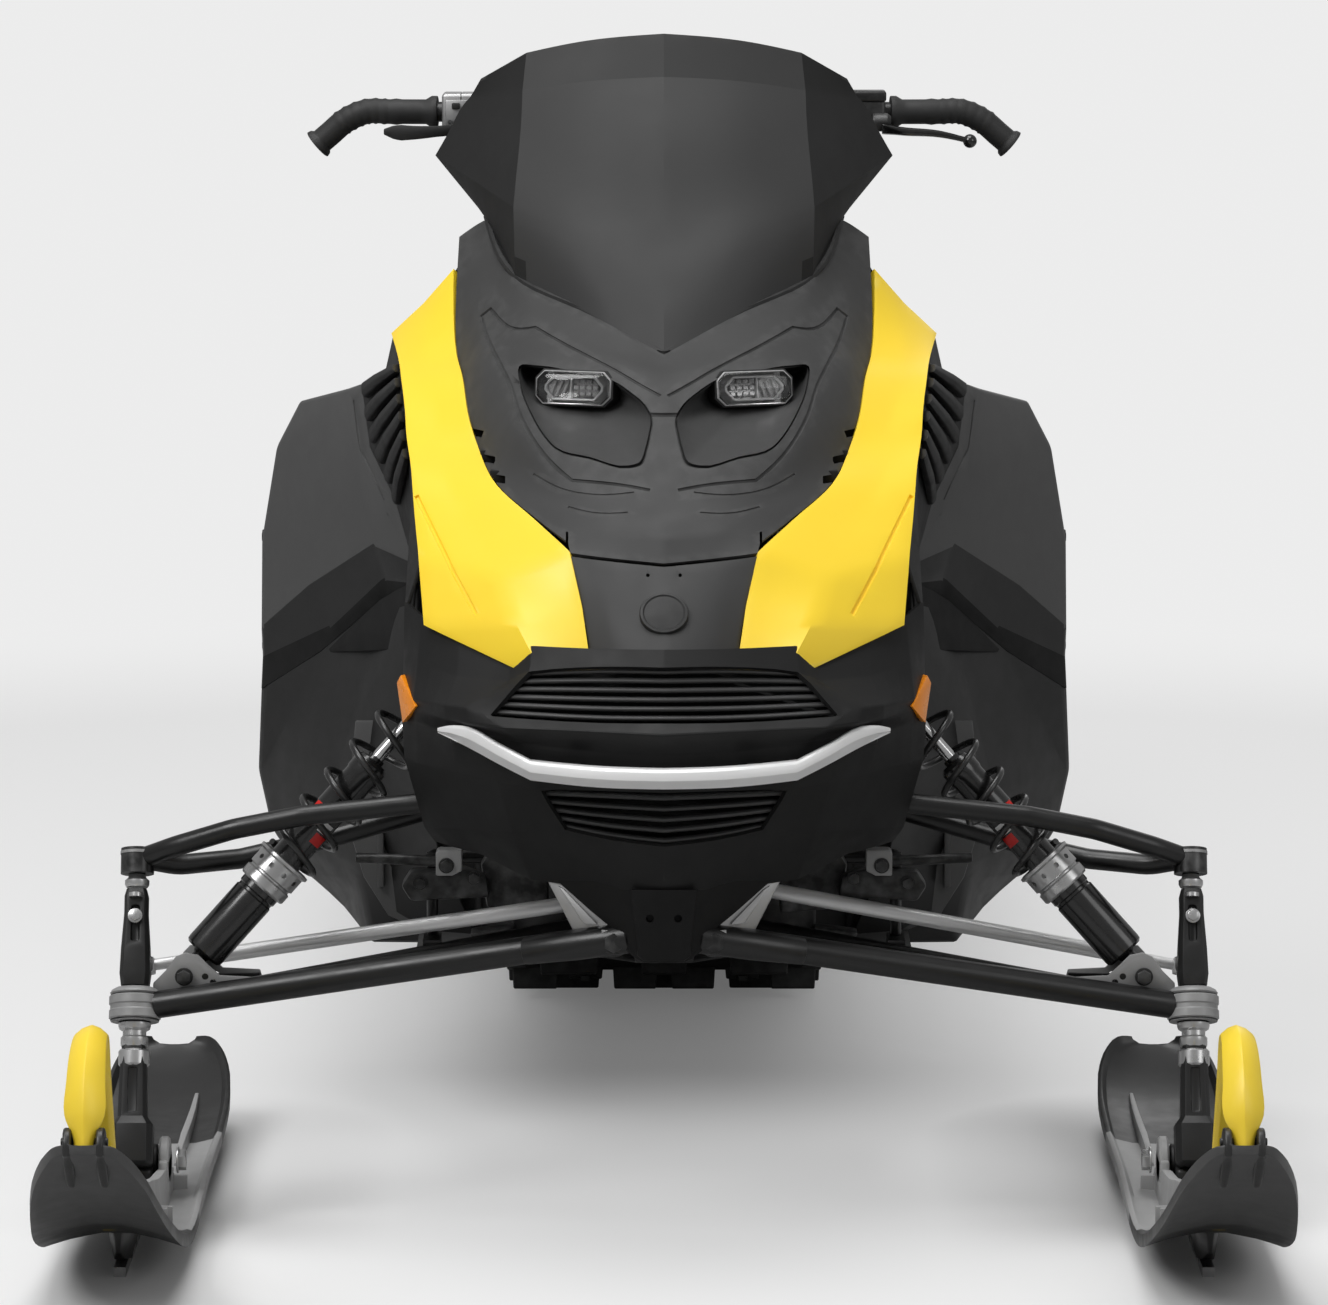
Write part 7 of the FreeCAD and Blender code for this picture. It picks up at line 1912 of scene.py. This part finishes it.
def make_seat():
    """A foam seat under a stretched cover: swelled like cloth, then sewn along its seams."""
    rows = ((0.004, 0.60, 0.48, 26), (0.03, 0.63, 0.51, 12), (0.25, 0.80, 0.74, 22), (0.6, 0.96, 0.86, 12),
            (0.9, 1.0, 0.82, 2), (0.985, 0.98, 0.80, 6), (0.998, 0.96, 0.74, 26))
    cushion = swept([(*row, SWELL_ROOM) for row in rows], seat_ring, 5)
    modified(cushion, "REMESH", mode="VOXEL", voxel_size=0.0062, use_smooth_shade=True)
    start = [vertex.co.copy() for vertex in cushion.data.vertices]
    take(cushion)
    modifier = cushion.modifiers.new("cover", "CLOTH")
    settings = modifier.settings
    settings.use_pressure = True
    settings.uniform_pressure_force = 4.0
    settings.quality = 5
    settings.tension_stiffness = 18.0
    settings.compression_stiffness = 18.0
    settings.effector_weights.gravity = 0.0
    modifier.point_cache.frame_start = 1
    modifier.point_cache.frame_end = 20
    scene = bpy.context.scene
    for frame_number in range(1, 21):
        scene.frame_set(frame_number)
    bpy.ops.object.modifier_apply(modifier=modifier.name)
    scene.frame_set(1)
    for vertex, before in zip(cushion.data.vertices, start):
        step = vertex.co - before
        if step.length > LARGEST_SWELL:
            vertex.co = before + step * (LARGEST_SWELL / step.length)
        vertex.co.z = max(vertex.co.z, TUNNEL_TOP * MM)
    modified(cushion, "SUBSURF", levels=1, render_levels=1)
    seams = []
    for side in SIDES:
        seams.append([at(side * (x + 3), s, z) for x, s, z in ((64, 1126, 738), (90, 1240, 716),
                                                               (104, 1330, 720),
                                                               (118, 1620, 738), (113, 1900, 750), (108, 1946,
                                                                                                    742))])
    for station, wide in ((1420, 110), (1700, 118)):
        seams.append([at(x * wide, station + 14 * (1 - x * x), 775) for x in (-1, -0.5, 0, 0.5, 1)])
    fine = [smooth_line(line, 14) for line in seams]
    for vertex in cushion.data.vertices:
        place = vertex.co
        if place.z < LOWEST_SEAM:
            continue
        for index, line in enumerate(fine):
            # the first two seams run along the edges, and the others straight across the top
            if index < 2:
                near = max(min((p - place).length for p in line) - 0.003, 0.0)
            else:
                near = min(math.hypot(p.x - place.x, p.y - place.y) for p in line)
            if near < SEAM_WIDTH:
                middle = Vector((0, place.y, 0.62))
                vertex.co = place + (middle - place).normalized() * SEAM_DEPTH * (1 - near / SEAM_WIDTH) ** 2
                place = vertex.co
    finished(cushion, "seat_cushion", seat_cover, "chassis", "seat_cover", ("seat",), 80)
    base = swept(((1112, 86), (1180, 96), (1400, 124), (1700, 141), (1960, 146)),
                 lambda s, w: [at(x, s, z) for x, z in ((-w, 541), (w, 541), (w + 2, 546), (w, 556),
                                                        (-w, 556),
                                                        (-w - 2, 546))])
    finished(bevelled(base, 1.5 * MM), "seat_base", black_trim, "chassis", "black_trim")


def make_tail():
    """The tail lamp, the snow flap with its ribs and the bolts of the bumper."""
    for node_name, name, material, slot in (("tail_lamp", "tail_lamp_lens", red_lens, "lamp_lens"),
                                            ("snow_flap", "snow_flap_sheet", flap_rubber, "flap_rubber")):
        finished(softened(node_name, 2.0, 2, 25.0), name, material, "chassis", slot, (node_name,), 40)
    ribs = []
    for index in range(7):
        z = 230 + 40 * index
        station = 2335 + 86 * (537 - z) / 347
        ribs.append(box(at(-150, station - 1, z - 4), at(150, station + 7, z + 4), 2.0))
    finished(joined(ribs), "snow_flap_ribs", flap_rubber, "chassis", "flap_rubber")
    bolts = [hexagon(at(110, s, 551), UP, 11, 5) for s in (2380, 2410)]
    bolts.append(hexagon(at(150, 2345, 520), BACK, 12, 6))
    pair_of(bolts, "bumper_bolts", zinc_steel, "bare_aluminium")


def make_gauge():
    """The instrument on the dash: its closed housing."""
    finished(softened("gauge", 4.0, 3), "gauge_housing", black_trim, "chassis", "black_trim", ("gauge",))


def make_bar_middle():
    """The pad on the middle of the handlebar and the bolts of its clamp."""
    pad = box(COLUMN_TOP + Vector((-46, -20, 8)) * MM, COLUMN_TOP + Vector((46, 22, 32)) * MM, 9.0, 4)
    finished(pad, "bar_pad", flap_rubber, "handlebar_assembly", "black_trim")
    bolts = [hexagon(COLUMN_TOP + Vector((x, -18, z)) * MM, FORWARD, 11, 6) for x in (-30, 30) for z in (-12,
                                                                                                         6)]
    finished(joined(bolts), "bar_clamp_bolts", zinc_steel, "handlebar_assembly", "bare_aluminium")


make_lamp_sockets(make_hood())
for make in (make_headlamps, make_nose, make_shoulders, make_fascia, make_grilles, make_bumper_bar,
             make_windshield,
             make_side_panels, make_lower_side, make_vents, make_reflectors, make_shocks, make_springs):
    make()
for hand, side in (("left", 1.0), ("right", -1.0)):
    make_spindle_parts(hand, side)
    make_ski_parts(hand, side)
for make in (make_arm_details, make_grips, make_controls, make_front_mounts, make_chin, make_soft_nodes,
             make_track,
             make_wheels, make_boards, make_tank, make_seat, make_tail, make_gauge, make_bar_middle):
    make()


# ------------------------------------------------------------------ floor, light and camera
# under the belt, under the skis and far away: middle and half size across and along, start and end of
# the fade, and the least and most that the even pale tone takes of it
# near the belt and the skis the pale tone is painted light over the floor's shade, a little of it even right
# under the belt
FLOOR_ZONES = ((0.0, 0.06, 0.5, 0.62, 0.0, 0.46, 0.15, 0.54), (0.54, 0.04, -0.85, 0.36, 0.0, 0.3, 0.0, 0.66),
               (0.0, 0.3, 0.0, 1.2, 0.3, 2.4, 0.0, 1.0))
PALE = 0.842
SEEN_FLOOR, LIT_FLOOR = (0.86, 0.86, 0.86, 1), (0.42, 0.42, 0.42, 1)
WORLD_LIGHT = 0.34


def fade_round(tree, across, along, zone):
    """How much of the even tone a place takes outside a zone; across and along are its place on the floor."""
    x_middle, x_half, y_middle, y_half, start, end, least, most = zone
    outside = [maths(tree, "MAXIMUM", maths(tree, "SUBTRACT", maths(tree, "ABSOLUTE",
                                                                    maths(tree, "SUBTRACT", axis,
                                                                          middle)), half))
               for axis, middle, half in ((across, x_middle, x_half), (along, y_middle, y_half))]
    flat = node(tree, "ShaderNodeCombineXYZ", zip("XY", outside)).outputs["Vector"]
    away = node(tree, "ShaderNodeVectorMath", ((0, flat),), operation="LENGTH").outputs["Value"]
    return eased(tree, away, start, end, least, most, interpolation_type="SMOOTHSTEP")


def make_floor():
    """A wide pale floor: matt round the machine with painted light that lifts and narrows its shadows near
    the belt and the skis, and an even pale tone further off.
    """
    bpy.ops.object.select_all(action="DESELECT")
    bpy.ops.mesh.primitive_plane_add(size=160.0, location=(0, 0, 0))
    floor = bpy.context.object
    floor.name = "floor"
    material = bpy.data.materials.new("pale_floor")
    material.use_nodes = True
    tree = material.node_tree
    tree.nodes.clear()
    parts = node(tree, "ShaderNodeSeparateXYZ", (("Vector", object_place(tree)),)).outputs
    across = maths(tree, "ABSOLUTE", parts["X"])
    belt_shadow_lift, ski_shadow_lift, far = (fade_round(tree, across, parts["Y"], zone) for zone in FLOOR_ZONES)
    # painted light over the shade near the machine, and the even pale floor further off
    fade = maths(tree, "MAXIMUM", maths(tree, "MINIMUM", belt_shadow_lift, ski_shadow_lift), far)
    seen = node(tree, "ShaderNodeLightPath").outputs["Is Camera Ray"]
    tone = colour_blend(tree, seen, LIT_FLOOR, SEEN_FLOOR)
    matt = node(tree, "ShaderNodeBsdfDiffuse", (("Color", tone),)).outputs["BSDF"]
    even = node(tree, "ShaderNodeEmission", (("Color", (PALE, PALE, PALE, 1)),
                                             ("Strength", 1.0))).outputs["Emission"]
    share = maths(tree, "MULTIPLY", seen, fade)
    surface = node(tree, "ShaderNodeMixShader", (("Fac", share), (1, matt), (2, even))).outputs["Shader"]
    node(tree, "ShaderNodeOutputMaterial", (("Surface", surface),))
    floor.data.materials.append(material)


def make_world():
    """An even pale surround that lights the machine less brightly than it looks."""
    world = bpy.data.worlds.new("studio")
    bpy.context.scene.world = world
    world.use_nodes = True
    tree = world.node_tree
    tree.nodes.clear()
    path = node(tree, "ShaderNodeLightPath")
    seen = maths(tree, "MAXIMUM", path.outputs["Is Camera Ray"], path.outputs["Is Transmission Ray"])
    strength = eased(tree, seen, 0.0, 1.0, WORLD_LIGHT, PALE)
    back = node(tree, "ShaderNodeBackground", (("Color", (1, 1, 1, 1)), ("Strength", strength)))
    node(tree, "ShaderNodeOutputWorld", (("Surface", back.outputs["Background"]),))


def area_light(name, place, target, size, power):
    """A round soft light that looks at a target."""
    bpy.ops.object.light_add(type="AREA", location=place)
    lamp = bpy.context.object
    lamp.name = name
    lamp.data.shape = "DISK"
    lamp.data.size = size
    lamp.data.energy = power
    lamp.rotation_euler = (Vector(target) - Vector(place)).to_track_quat("-Z", "Y").to_euler()


make_floor()
make_world()
area_light("key", (-3.0, -3.6, 4.4), (0, -0.4, 0.5), 2.6, 125.0)
area_light("overhead", (-0.3, -1.0, 4.8), (0, -0.1, 0.3), 3.2, 110.0)
area_light("fill", (3.6, -3.4, 2.6), (0, -0.4, 0.5), 2.4, 26.0)
area_light("rear", (1.5, 4.6, 3.2), (0, 0.4, 0.4), 2.8, 22.0)

SENSOR = 36.0
LENS = 6200.0 / 1328.0 * SENSOR
bpy.ops.object.camera_add(location=(0.0, -7.125, 1.476), rotation=(math.radians(81.9), 0.0, 0.0))
camera = bpy.context.object
camera.data.sensor_width = SENSOR
camera.data.lens = LENS
camera.data.clip_end = 200.0
bpy.context.scene.camera = camera
bpy.context.scene.view_settings.view_transform = "Standard"
